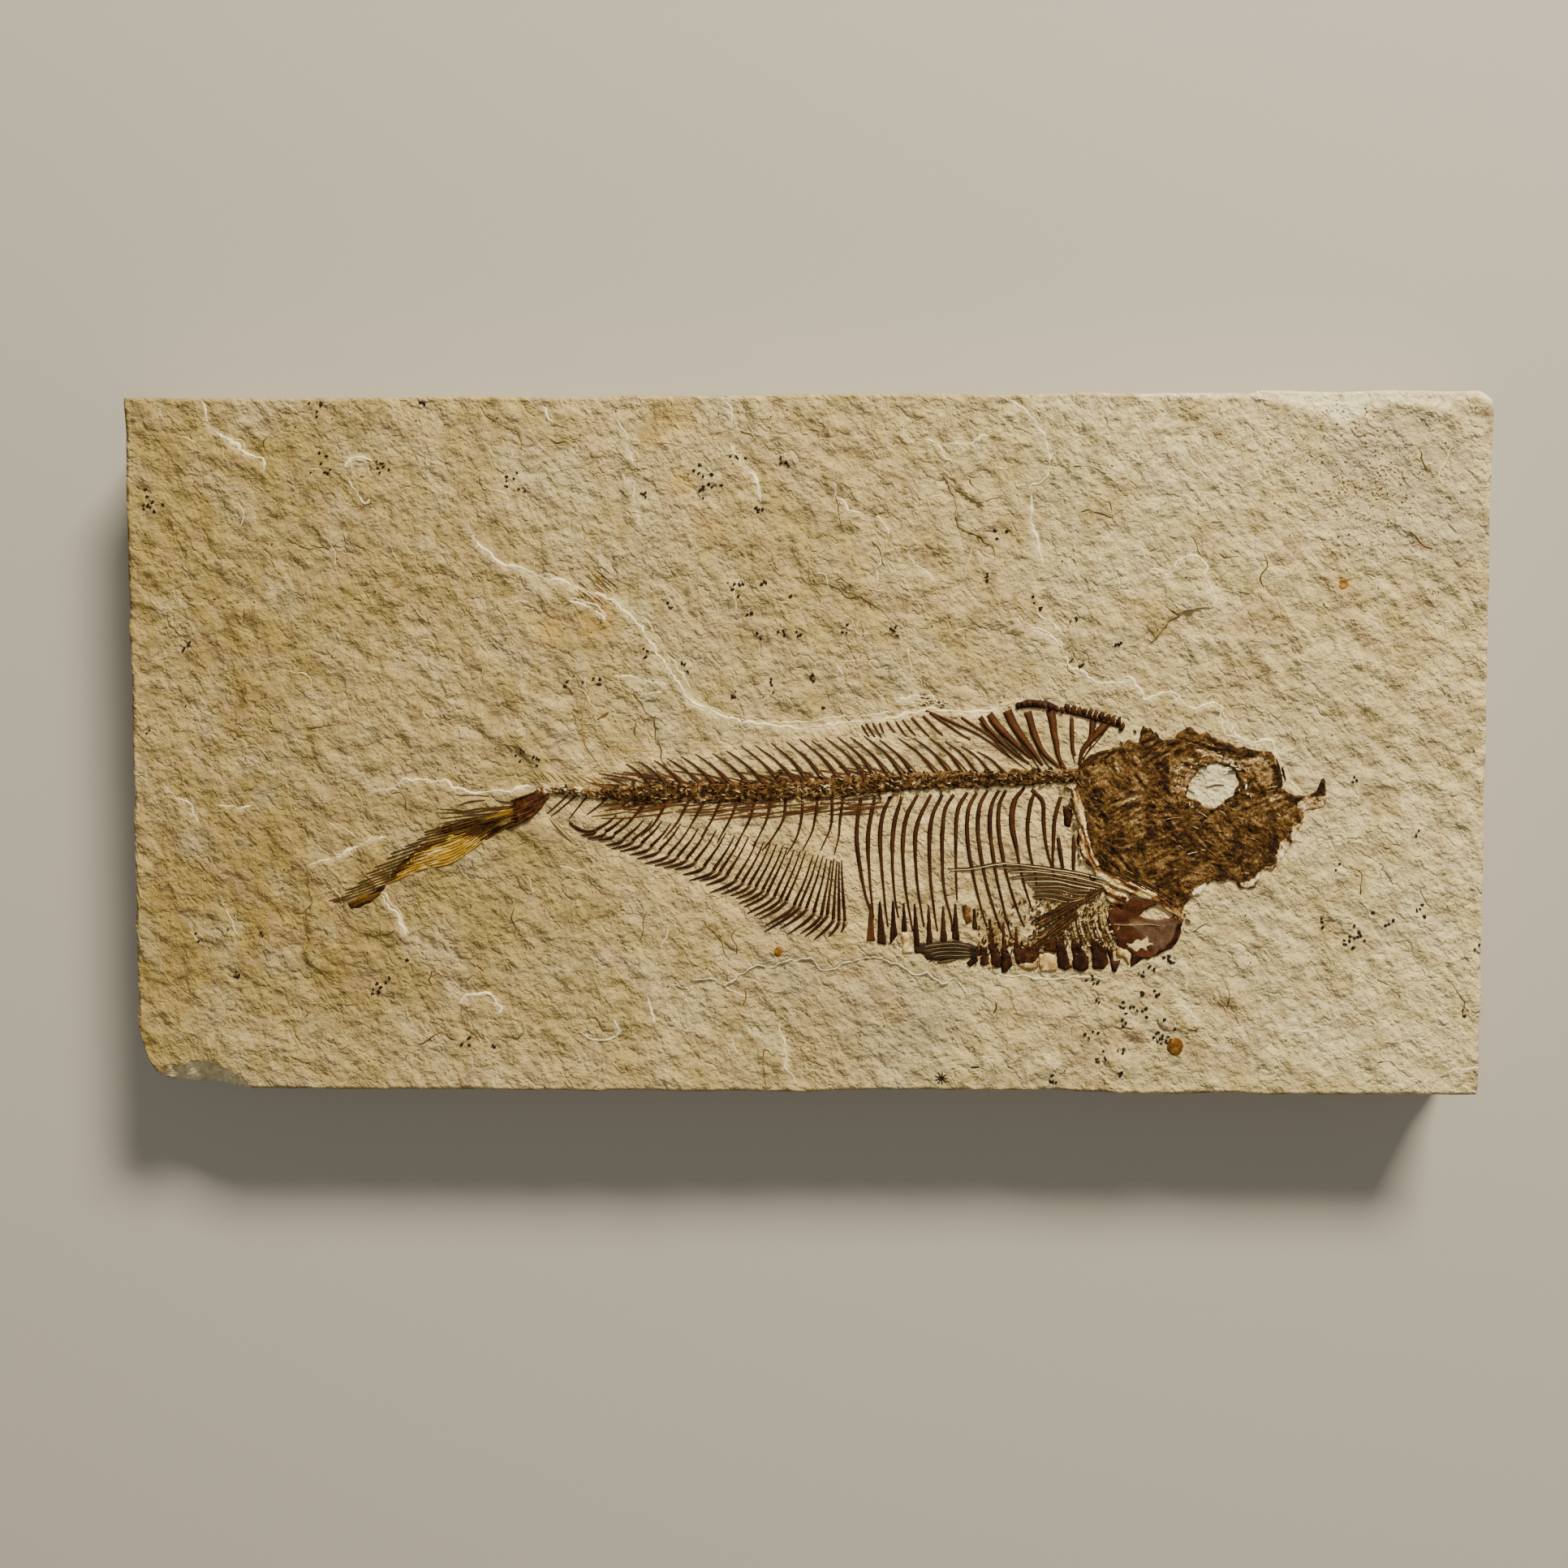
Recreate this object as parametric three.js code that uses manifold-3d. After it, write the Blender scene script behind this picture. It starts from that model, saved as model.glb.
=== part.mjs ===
// Fossil fish slab: a plate of split limestone with a whole herring-like fish on it, head to the right.
// Millimetres, +Z up. The plate lies on its flat back, fossil face up, origin under its middle.
import * as THREE from "three";
import { mergeVertices } from "three/addons/utils/BufferGeometryUtils.js";
import Module from "manifold-3d";

const wasm = await Module();
wasm.setup();

// Driving dimensions of the plate
const HALF_LENGTH = 150;
const HALF_WIDTH = 77.5;
const BED = 19; // height of the flat bedding plane that the fish lies on
const LAYER_TOPS = [5.5, 12, 24]; // the plate parts along these bedding planes at its edges
const LAYER_INSETS = [0.9, 0.45, 0]; // how far each layer stands back from the plate's outline
const CELL = 10.4; // spacing of the lumps' grid
const UNDER_FACE = BED - 6; // any height inside the plate, below all the face's relief
const ABOVE = 30; // any height clear above the plate

// Heights of the bones, which lie on the bed with only a hair between
const REST = BED + 0.002;
const RIB_HEIGHT = 0.8;
const COLUMN_HEIGHT = 1.2;
const PLATE_HEIGHT = 0.8;
const RIDGE_HEIGHT = 1.1;
const GAP = 0.3; // rock or air left between neighbouring bones

const rock = new THREE.MeshStandardMaterial({ color: 0xc2ad88, roughness: 0.9, metalness: 0 });
const darkBone = new THREE.MeshStandardMaterial({ color: 0x4a2c12, roughness: 0.6, metalness: 0 });
const brownBone = new THREE.MeshStandardMaterial({ color: 0x62431a, roughness: 0.6, metalness: 0 });
const creamBone = new THREE.MeshStandardMaterial({ color: 0xd6c08a, roughness: 0.7, metalness: 0 });
const amberBone = new THREE.MeshStandardMaterial({ color: 0x9a6c1e, roughness: 0.6, metalness: 0 });
const blackBone = new THREE.MeshStandardMaterial({ color: 0x2c241e, roughness: 0.6, metalness: 0 });

// Turning shapes into solids and back

function solidOf(geometry) {
  const plain = geometry.clone();
  plain.deleteAttribute("normal");
  plain.deleteAttribute("uv");
  const merged = mergeVertices(plain, 1e-5);
  return new wasm.Manifold(new wasm.Mesh({
    numProp: 3,
    vertProperties: new Float32Array(merged.attributes.position.array),
    triVerts: new Uint32Array(merged.index.array),
  }));
}

function geometryOf(solid) {
  const mesh = solid.getMesh();
  const geometry = new THREE.BufferGeometry();
  geometry.setAttribute("position", new THREE.BufferAttribute(mesh.vertProperties, 3));
  geometry.setIndex(new THREE.BufferAttribute(mesh.triVerts, 1));
  geometry.computeVertexNormals();
  return geometry;
}

function prism(outline, bottom, top) {
  const shape = new THREE.Shape(outline.map(([x, y]) => new THREE.Vector2(x, y)));
  const geometry = new THREE.ExtrudeGeometry(shape, { depth: top - bottom, bevelEnabled: false, steps: 1 });
  geometry.translate(0, 0, bottom);
  return solidOf(geometry);
}

// A strip is a flat bone along a line of points, tapering from one width to another.
function stripOutline(points, startWidth, endWidth) {
  const last = points.length - 1;
  const left = [];
  const right = [];
  points.forEach(([x, y], i) => {
    const [ax, ay] = points[Math.max(i - 1, 0)];
    const [bx, by] = points[Math.min(i + 1, last)];
    const length = Math.hypot(bx - ax, by - ay);
    const half = (startWidth + (endWidth - startWidth) * i / last) / 2;
    const nx = -(by - ay) / length * half;
    const ny = (bx - ax) / length * half;
    left.push([x + nx, y + ny]);
    right.unshift([x - nx, y - ny]);
  });
  return left.concat(right);
}

function strip(points, startWidth, endWidth, height = RIB_HEIGHT, bottom = REST) {
  return prism(stripOutline(points, startWidth, endWidth), bottom, bottom + height);
}

function join(solids) {
  return solids.reduce((whole, next) => whole.add(next));
}

function largestPiece(solid) {
  const pieces = solid.decompose();
  return pieces.reduce((best, next) => (next.volume() > best.volume() ? next : best));
}

// The plate's outline: sawn edges that wave a little, one bevelled corner and one broken corner

const BROKEN_CORNER = [[-126, -77.2], [-131, -76.3], [-138, -76.2], [-143, -75.5], [-145.5, -74],
  [-148, -70], [-149.3, -66], [-149.7, -60]];
const EDGE_STEP = 12;
const EDGE_WAVE = 0.45;

function wave(along, phase) {
  return EDGE_WAVE * (0.5 + 0.3 * Math.sin(along * 0.41 + phase) + 0.2 * Math.sin(along * 0.173 + 2 * phase));
}

function plateOutline(inset, phase) {
  const points = [[-149.5, 76.4]];
  for (let x = -141; x <= 92; x += EDGE_STEP) {
    points.push([x, 77.2 - wave(x, phase)]);
  }
  points.push([102, HALF_WIDTH], [124, HALF_WIDTH], [147, HALF_WIDTH], [HALF_LENGTH, 75]);
  for (let y = 64; y >= -68; y -= EDGE_STEP) {
    points.push([149.9 - wave(y, phase + 1), y]);
  }
  points.push([HALF_LENGTH, -73], [149.8, -77], [148, -HALF_WIDTH]);
  for (let x = 138; x >= -116; x -= EDGE_STEP) {
    points.push([x, -77.4 + wave(x, phase + 2)]);
  }
  points.push(...BROKEN_CORNER);
  for (let y = -50; y <= 64; y += EDGE_STEP) {
    points.push([-149.9 + wave(y, phase + 3), y]);
  }
  points.push([-HALF_LENGTH, 71]);
  return points.map(([x, y]) => [x - Math.sign(x) * inset, y - Math.sign(y) * inset]);
}

// The split face: long low ripples that run down to the right, and shallow swells

function lumps(x, y) {
  const across = 0.62 * x + 0.78 * y;
  const along = 0.78 * x - 0.62 * y;
  return 0.2 * Math.sin(across * 0.42 + 1.4 * Math.sin(along * 0.09))
    + 0.13 * Math.sin(along * 0.23 + 1.9 * Math.sin(across * 0.08))
    + 0.12 * Math.sin(x * 0.061 - y * 0.047 + 1);
}

function distanceTo(line, x, y) {
  const here = new THREE.Vector3(x, y, 0);
  const nearest = new THREE.Vector3();
  let best = Infinity;
  for (let i = 1; i < line.length; i += 1) {
    const segment = new THREE.Line3(new THREE.Vector3(...line[i - 1], 0), new THREE.Vector3(...line[i], 0));
    segment.closestPointToPoint(here, true, nearest);
    best = Math.min(best, nearest.distanceTo(here));
  }
  return best;
}

// A block with the lumpy face on top, raised or lowered by a function of the place
function reliefBlock(bottom, raise) {
  const width = 2 * HALF_LENGTH + 4;
  const depth = 2 * HALF_WIDTH + 4;
  const box = new THREE.BoxGeometry(width, depth, 1, Math.round(width / CELL), Math.round(depth / CELL), 1);
  const place = box.attributes.position;
  for (let i = 0; i < place.count; i += 1) {
    const x = place.getX(i);
    const y = place.getY(i);
    place.setZ(i, place.getZ(i) > 0 ? BED + 0.1 + lumps(x, y) + raise(x, y) : bottom);
  }
  return solidOf(box);
}

// Ledges, where a thin sheet of rock stops: each is its broken edge, then the way round beyond it.
// The face beyond is lowest at the ledge and rises again away from it.

const BACK_LEDGE = [[-74, 50], [-72, 44.5], [-67.5, 40.3], [-62, 39.2], [-56, 37], [-50.5, 35],
  [-41.5, 32], [-36, 26.5], [-31.5, 19.5], [-28, 14], [-24, 9.5], [-18, 6.5], [-10, 4.8], [-1, 3.9],
  [8, 5.2], [18, 6], [24, 10.8], [31, 9.5], [38, 7.4], [45, 9.7], [50, 12.5], [57, 20.5], [62, 15.5],
  [67, 13.8], [72.5, 14.5], [74.5, 10], [79, 11.5], [84, 10], [87, 7.7], [91, 10.2], [94, 5], [97, 1],
  [103.2, -0.5], [107, -7.5], [110, -10]];
const ARC_LEDGE = [[44, 76], [48, 73.5], [53, 67], [54, 63], [52.5, 58.2], [50, 57.5], [49.6, 51],
  [51, 45.5], [52.5, 39]];
const CORNER_LEDGE = [[-133, 76], [-131.5, 74], [-130, 70], [-126, 66.5], [-121.5, 64], [-119, 60.5]];
const CRACK_LEDGE = [[26, 60.5], [31, 58.5], [34, 53], [33.5, 50], [38, 46.5], [42, 42.5]];
const BELLY_LEDGE = [[38, -56], [36, -54.5], [31, -53], [25, -50.8], [18, -47.5], [9, -48.6], [2, -47.6],
  [-4, -48], [-12, -49.5], [-17.5, -53.5], [-24, -52], [-30, -53]];

const HOLLOWS = [
  { edge: BACK_LEDGE, depth: 0.8, fade: 34,
    beyond: [[120, -4], [122, 18], [104, 40], [60, 52], [0, 48], [-30, 66], [-66, 78]] },
  { edge: ARC_LEDGE, depth: 0.5, fade: 14, beyond: [[66, 40], [70, 60], [62, 76]] },
  { edge: CORNER_LEDGE, depth: 0.5, fade: 14, beyond: [[-104, 58], [-106, 76]] },
  { edge: CRACK_LEDGE, depth: 0.4, fade: 10, beyond: [[32, 36], [22, 44], [18, 58]] },
  { edge: BELLY_LEDGE, depth: 0.6, fade: 16, beyond: [[-34, -70], [0, -72], [44, -72]] },
];

// Flakes that stand proud of the face round them
const FLAKES = [
  { height: 0.6, outline: [[75, 39.5], [80, 37.8], [84, 41.3], [88.5, 39.5], [90.5, 32], [85, 30], [79, 26],
    [75.5, 21], [73, 30]] },
  { height: 0.4, outline: [[-111, -27], [-103, -24.5], [-93, -20], [-88, -30], [-90, -40], [-96, -43],
    [-103, -47], [-107, -51], [-112, -46], [-110, -36]] },
  { height: 0.4, outline: [[-77, -58], [-71, -55], [-67.5, -59], [-62.5, -64], [-67, -65], [-73, -66],
    [-76.5, -61]] },
  { height: 0.5, outline: [[79, -60], [82.5, -63], [87, -63.5], [88, -62], [83, -57.5]] },
  { height: 0.4, outline: [[-101, 61.5], [-97, 63.8], [-95, 58], [-96.5, 53.8], [-100, 57]] },
];

// Places where the plate's edge is chipped, each a step down to a lower layer
const EDGE_CHIPS = [
  { floor: 16.4, outline: [[-148, -79], [-146, -74.5], [-143, -72.5], [-139, -71.3], [-135, -71], [-129, -73.5],
    [-124, -79]] },
  { floor: 12, outline: [[-144, -79], [-142.5, -74.6], [-138, -73.4], [-134, -73.6], [-130, -76], [-128, -79]] },
  { floor: 18, outline: [[75, 79], [80, 76], [104, 75.4], [113, 72.5], [117, 70.5], [122, 71.5], [128, 74.5],
    [135, 74], [139, 73], [142, 75], [147, 75.5], [151, 72], [151, 79]] },
];

// The hollow that was cleared round the fish, down to the bedding plane
const FISH_BED = [[-112, -36.5], [-111, -33.5], [-104, -29.5], [-98, -25], [-92, -20], [-86, -16.2],
  [-82.5, -12.5], [-78, -10.8], [-72, -9.4], [-64, -9.2], [-60, -7.2], [-52, -7], [-46, -4], [-40, -2],
  [-30, -0.5], [-20, 0.5], [-10, 2.5], [0, 3.6], [8, 4.6], [12, 6.8], [20, 7.8], [27, 9.8], [34, 9], [38, 8],
  [42, 9], [46, 10.8], [50, 11.8], [58, 11], [66, 10.3], [71.5, 8.5], [75, 6.5], [83, 6], [87, 5.5], [95, 2.5],
  [104, 1], [107, -6], [111, -9], [113, -6], [115.8, -6], [117, -10], [116, -14.5], [112, -16], [111, -20],
  [107, -27.5], [102, -33], [92, -33], [90, -35], [86, -38], [86, -43], [84, -46], [79, -49], [72, -51.5],
  [60, -52], [44, -52], [36, -50.5], [28, -49.5], [20, -47.5], [13.5, -46], [10.5, -48], [1, -48.5],
  [-5, -47.5], [-9, -43], [-16, -37.5], [-26, -33], [-36, -29], [-46, -24.5], [-52, -21], [-54, -18.5],
  [-58, -17.5], [-66, -19.5], [-72, -23.5], [-77, -27], [-85, -28.5], [-92, -32], [-95, -35.5], [-104, -38.5]];

function layeredBlock() {
  let floor = 0;
  const layers = LAYER_TOPS.map((top, i) => {
    const layer = prism(plateOutline(LAYER_INSETS[i], i * 1.7), floor, top);
    floor = top;
    return layer;
  });
  return join(layers);
}

// What is missing beyond a ledge
function hollow({ edge, beyond, depth, fade }) {
  const floor = reliefBlock(-1, (x, y) => 0.04 - depth * (1 - distanceTo(edge, x, y) / fade));
  return prism(edge.concat(beyond), UNDER_FACE, ABOVE).subtract(floor);
}

function limestoneSlab() {
  let slab = reliefBlock(-1, () => 0);
  HOLLOWS.forEach((ledge) => {
    slab = slab.subtract(hollow(ledge));
  });
  FLAKES.forEach(({ outline, height }) => {
    const flake = reliefBlock(-1, () => height).intersect(prism(outline, UNDER_FACE, ABOVE));
    slab = slab.add(flake);
  });
  slab = slab.intersect(layeredBlock());
  EDGE_CHIPS.forEach(({ outline, floor }) => {
    slab = slab.subtract(prism(outline, floor, ABOVE));
  });
  slab = slab.add(prism(FISH_BED, UNDER_FACE, BED)).subtract(prism(FISH_BED, BED, ABOVE));
  return largestPiece(slab);
}

// The backbone: a row of vertebrae, narrow at each waist, with a spine up and down from most of them

const COLUMN = [[-57, -9.8, 0.7], [-52, -9.6, 0.9], [-48, -10.3, 0.9], [-44, -10.4, 1.3], [-40, -10.3, 1.6],
  [-35, -10.2, 1.8], [-10, -10, 2], [0, -9.5, 2], [10, -8.8, 2], [20, -7.9, 1.9], [30, -7.4, 1.9],
  [40, -7.1, 1.8], [50, -6.7, 1.7], [58, -6.5, 1.5], [60, -6.5, 1.3]];
const VERTEBRA = 3.5;
const WAIST = 0.72; // height of a vertebra's waist against its ends

function columnAt(x) {
  const i = Math.max(1, COLUMN.findIndex((point) => point[0] >= x));
  const [ax, ay, ah] = COLUMN[i - 1];
  const [bx, by, bh] = COLUMN[i];
  const t = (x - ax) / (bx - ax);
  return { y: ay + (by - ay) * t, half: ah + (bh - ah) * t };
}

// Spines above the column, each from its tip down to its foot
const UPPER_SPINES = [[-39.2, -3.8, -33], [-36.5, -3.2, -29.5], [-33, -3, -26], [-30, -2.6, -22],
  [-27, -2.1, -19], [-23.8, -1.6, -15.5], [-20, -1.4, -11.5], [-17, -0.8, -8], [-13.7, 0.2, -4.5],
  [-10.5, 0.3, -1], [-7, 0.9, 1.5], [-3.6, 1.2, 5], [-0.7, 1.8, 8.5], [2, 1.4, 11.5], [5, 2, 14.5],
  [7.6, 2.3, 16.5], [10.5, 2.2, 19.5], [13.5, 2.5, 22.5], [17, 1.8, 25], [21, 2, 30], [24.5, 2, 33],
  [28, 2, 36], [31.5, 1.2, 39], [35, 0.2, 42], [38.5, -1, 45]];

// Fin supports that stand on the tips of the spines, below where the back fin was
const FIN_SUPPORTS = [[[13.6, 5.1], [14, 1.6]], [[17, 5.3], [17.2, 1.4]], [[20.5, 5.7], [22, 1.2]],
  [[24, 6.5], [25.7, 0.8]], [[28, 7.5], [30.9, -1.3]]];

// Spines below the column, each from the column down to its tip
const LOWER_SPINES = [[[9, -10], [8, -18], [7.2, -23.6]], [[6.5, -10], [6.2, -17], [4.4, -22.6]],
  [[3.3, -10], [2.6, -17], [0.4, -22.4]], [[0, -10.5], [-0.6, -17], [-3.2, -22.6]],
  [[-3.7, -11], [-5, -17], [-7.8, -21.4]], [[-7, -11], [-8.6, -17], [-11, -20]],
  [[-10.5, -11], [-12.4, -17], [-14.2, -19.6]], [[-14.5, -11], [-18, -19]], [[-18, -11], [-22, -18.4]],
  [[-21.5, -11], [-25.6, -18]], [[-25, -11], [-29.6, -17.6]], [[-30, -11], [-33.6, -16.6]],
  [[-34, -11], [-38, -15.6]], [[-38.5, -11], [-42.5, -14.6]], [[-43.5, -11], [-48, -15]],
  [[-48, -10.5], [-52, -15]], [[-51, -10], [-55, -13.6]]];

function backbone() {
  const upper = [];
  const lower = [];
  const last = COLUMN[COLUMN.length - 1][0];
  for (let x = COLUMN[0][0]; x <= last; x += VERTEBRA / 2) {
    const atWaist = upper.length % 2 === 1;
    const { y, half } = columnAt(x);
    const reach = atWaist ? half * WAIST : half;
    upper.push([x, y + reach]);
    lower.unshift([x, y - reach]);
  }
  const column = prism(upper.concat(lower), REST, REST + COLUMN_HEIGHT);
  const spinesUp = UPPER_SPINES.map(([tipX, tipY, footX]) => {
    const foot = [footX, columnAt(footX).y + 0.6];
    return strip([[tipX, tipY], foot], 0.5, 0.9);
  });
  const supports = FIN_SUPPORTS.map((line) => strip(line, 0.5, 0.6));
  const spinesDown = LOWER_SPINES.map((line) => strip(line, 0.8, 0.45));
  return join([column, ...spinesUp, ...supports, ...spinesDown]);
}

// Ribs, from the backbone to the belly

const RIBS = [
  [[13, -11.2], [12.2, -16], [12, -20], [12.5, -25], [14, -33], [14.4, -34.2]],
  [[16, -11], [15.2, -15], [14.5, -20], [14.7, -26], [16, -34.2]],
  [[19.5, -11], [17.8, -15], [17.2, -20], [17.5, -26], [18.4, -34.2]],
  [[22, -11], [20.5, -16], [20, -20], [20, -27], [20.7, -34.2]],
  [[25.5, -10.5], [23.2, -15], [22.3, -20], [22.4, -26], [23.2, -34.2]],
  [[28.5, -10.5], [26, -15.5], [25, -20], [25.2, -27], [26, -34.2]],
  [[31, -10.5], [29, -14.5], [28.2, -19], [28.2, -25], [28.9, -34.2]],
  [[33.5, -10.5], [31.5, -14], [31, -19], [31, -25], [31.7, -34.2]],
  [[36.5, -10], [34.5, -13.5], [34, -18], [34, -25], [34.3, -34.2]],
  [[38.5, -10], [36.8, -13.5], [36.4, -18], [37, -24], [38.5, -31], [40, -37], [41, -40]],
  [[41, -9.5], [39.2, -13], [38.8, -18], [39.5, -24], [41, -31], [43.5, -39], [45, -42]],
  [[43.2, -10], [41.5, -13], [41.2, -18], [42, -24], [43.3, -31], [45.5, -39], [46.5, -42.5]],
  [[45.4, -10], [44, -13], [43.6, -18], [44.8, -25], [46.2, -31], [48, -37], [49.3, -40]],
  [[49, -9.6], [46.8, -12], [46.3, -17], [47.3, -22], [49, -30], [51, -36.5]],
  [[51.3, -9.6], [50.3, -13], [49.8, -18], [50.3, -23], [51.5, -28], [52, -31]],
  [[52.8, -10.5], [53.2, -13], [53.3, -17], [54, -22], [54.2, -24.5]],
  [[57, -11], [55.9, -16], [55.5, -21], [55.5, -26], [56.5, -30]],
  [[56.9, -19.5], [57.5, -26], [58.5, -31]],
  [[60, -20], [60, -27], [60.7, -31]],
];

// Bones in front of the back fin, broad and leaning, and the plates along the back's keel

const NAPE_BONES = [
  { line: [[39, 6.5], [44, 1], [49.6, -3.4]], width: 0.8 },
  { line: [[41, 7.2], [45, 2.5], [47.6, 0.2]], width: 1.1 },
  { line: [[45, 8], [47, 4], [50, 0], [52.6, -3.4]], width: 1.3 },
  { line: [[49.5, 7.4], [51, 3], [53, -1], [55.4, -3.6]], width: 1.2 },
  { line: [[54.6, 7.6], [55.5, 3], [56.5, -2], [57.6, -3.9]], width: 1.2 },
  { line: [[59.3, 6], [59.5, 0], [60, -2]], width: 0.8 },
  { line: [[64, 5], [63.4, 2], [62.4, 0.9]], width: 1 },
  { line: [[68, 4.4], [66, 2.6], [63.4, -0.4], [62.3, -1.5]], width: 1.1 },
];
const KEEL = [[46.6, 9.3], [50, 10], [55, 9.3], [58.2, 8.8], [62, 8], [66, 6.9], [70.4, 5.7]];
const KEEL_PLATES = 9;

function backKeel() {
  const band = strip(KEEL, 1.5, 1, RIDGE_HEIGHT);
  const plates = [];
  for (let i = 0; i < KEEL_PLATES; i += 1) {
    const x = 58.4 + i * 1.4;
    const y = 8.8 - i * 0.3;
    plates.push(strip([[x + 0.2, y + 1.1], [x - 0.2, y - 1.1]], 0.9, 0.9, RIDGE_HEIGHT));
  }
  return join([band, ...plates]);
}

// Head: one crushed plate of skull bones, open at the eye, with the heavier bones standing proud

const SKULL = [[61, -4], [64, -1.5], [68.5, 0], [72, 1.5], [74, 1], [74.8, 4.5], [77, 3], [79.5, 1.8],
  [82, 2], [83, 3.5], [85, 4.5], [89, 2.8], [95, 0], [103.2, -1], [105.3, -5.5], [105.5, -9], [110, -10.7],
  [112.5, -10], [113.5, -8], [114.5, -7], [115.2, -9], [115, -13], [110.5, -14], [110.3, -16.5],
  [108.5, -20], [106.5, -23.5], [103.5, -27], [101, -28.5], [100, -31], [96.5, -31], [94, -29.5],
  [89.5, -30.5], [87, -33], [84.5, -35], [84, -36.8], [79.5, -34.6], [74, -31.6], [67, -27.2], [63, -23.6],
  [61.5, -17], [60.3, -10], [60.8, -7]];
const EYE_SOCKET = [[86, -6], [88, -4.5], [91, -3.3], [95.5, -6], [97, -9.5], [95, -11], [91, -14.7],
  [86.5, -14], [84, -11], [84.5, -10]];
const HEAD_PLATES = [
  [[62.5, -6], [72, -2], [82, -1], [83.5, -8], [82, -14], [83, -22], [80, -31.5], [70, -27.5], [64.5, -22.5]],
  [[85, -16], [92, -16], [98, -10.5], [101.5, -7], [103, -15], [100, -26], [88, -29], [84.5, -24]],
  [[104, -11], [107.5, -13], [106.5, -20], [102.5, -26], [103, -18]],
];
const BROW = [[82.4, 2.2], [90, 0.4], [97, -1.4], [103.4, -2.2]];

// Shoulder: the long curved band behind the head, and the broad plate under it
const SHOULDER_BAND = [[59.6, -9.4], [60.6, -14], [60.8, -18], [61.8, -22], [63.4, -25], [67, -28.4],
  [71, -31], [76, -33], [79, -35], [82, -37], [84.5, -38.6]];
const BAND_WIDTH = 1.2;
const SHOULDER_PLATE = [[69, -39], [72, -35], [74, -33.2], [78, -34.3], [82, -37.5], [84, -38.8], [84, -41],
  [82.5, -44], [80, -45.5], [77.6, -46.8], [74, -45], [70, -44], [69, -41]];
const PLATE_WINDOW = [[74.5, -38.2], [76, -36.8], [79, -36.9], [81, -38], [79, -39.2], [76, -39.2]];

function bandClearance() {
  return strip(SHOULDER_BAND, BAND_WIDTH + 2 * GAP, BAND_WIDTH + 2 * GAP, ABOVE - BED);
}

function skull() {
  const base = prism(SKULL, REST, REST + PLATE_HEIGHT);
  const eye = prism(EYE_SOCKET, BED, ABOVE);
  const plates = HEAD_PLATES.map((outline) => prism(outline, REST, REST + RIDGE_HEIGHT));
  const brow = strip(BROW, 2, 1.2, RIDGE_HEIGHT + 0.2);
  return largestPiece(join([base, ...plates, brow]).subtract(eye).subtract(bandClearance()));
}

function shoulderPlate() {
  const plate = prism(SHOULDER_PLATE, REST, REST + PLATE_HEIGHT).subtract(prism(PLATE_WINDOW, BED, ABOVE));
  const ridge = strip([[69.8, -40.6], [76, -40.4], [82.6, -40.8]], 0.8, 0.8, RIDGE_HEIGHT);
  return largestPiece(plate.add(ridge).subtract(bandClearance()));
}

// Belly: keeled plates along the lower edge, the slim ones with an arm up between the ribs

const BELLY_PLATES = [
  stripOutline([[15, -34.8], [15, -42.7]], 1, 1.2),
  stripOutline([[17.4, -34.8], [17.6, -44]], 0.9, 2),
  stripOutline([[20.5, -34.8], [20.9, -42], [20.3, -44.3]], 1, 1.1),
  [[22.4, -34.8], [23.4, -34.8], [23.6, -41], [24, -41.3], [24, -45.6], [22, -45.6], [21.9, -41.3]],
  stripOutline([[25.6, -34.8], [25.8, -43.4]], 0.9, 1.2),
  stripOutline([[28.4, -34.8], [28.5, -43.2]], 0.8, 1.1),
  stripOutline([[31.5, -34.8], [31.5, -42.9]], 0.8, 1.1),
  stripOutline([[34.3, -34.8], [34, -42.6]], 0.8, 1.2),
  [[37, -47.6], [38.4, -46.5], [39.9, -47.5], [38, -48.6], [36.6, -48.8]],
  [[41, -45.5], [43.3, -45.5], [43.6, -48.8], [42, -49]],
  [[44.2, -45.5], [46.5, -45.5], [46.6, -48], [45.5, -50.3], [44.1, -50.3]],
  [[47.1, -44.2], [52, -44.5], [55.6, -46], [55.9, -49.2], [51, -49.4], [47.2, -48.5]],
  [[56.3, -42.9], [58, -43.5], [58.8, -48], [59.5, -49.5], [57, -49.7], [56.4, -46]],
  [[60.2, -43.5], [61.5, -43.5], [63.2, -47.5], [62.8, -49.5], [60.5, -49.9], [60.1, -46]],
  [[64.1, -42.5], [66, -44], [67, -47], [67.9, -48], [66, -49.5], [64, -49.5], [63.9, -46]],
  [[68.7, -46.2], [70.5, -47.5], [69.6, -50], [69, -50.2], [68.7, -48]],
  [[72.6, -45.8], [75.2, -48.2], [72.7, -49.5]],
];

// Fins: a thin web with raised rays

const FIN_BOTTOM = REST + RIB_HEIGHT; // the breast fin lies over the ribs
const BREAST_FIN_TOP = [[35, -25.1], [45, -25.3], [52, -26], [60, -27.2], [66.8, -30.6]];
const BREAST_FIN_LOW = [[66.8, -32.4], [60, -31.4], [52, -29.6], [45, -27.6], [35, -25.9]];
const BREAST_FIN_LOBE = [[51, -41], [60, -36], [66.4, -31.6]];
const LOBE_WIDTH = 2.8;

function between(upper, lower, t) {
  return upper.map(([x, y], i) => [x + (lower[i][0] - x) * t, y + (lower[i][1] - y) * t]);
}

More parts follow.
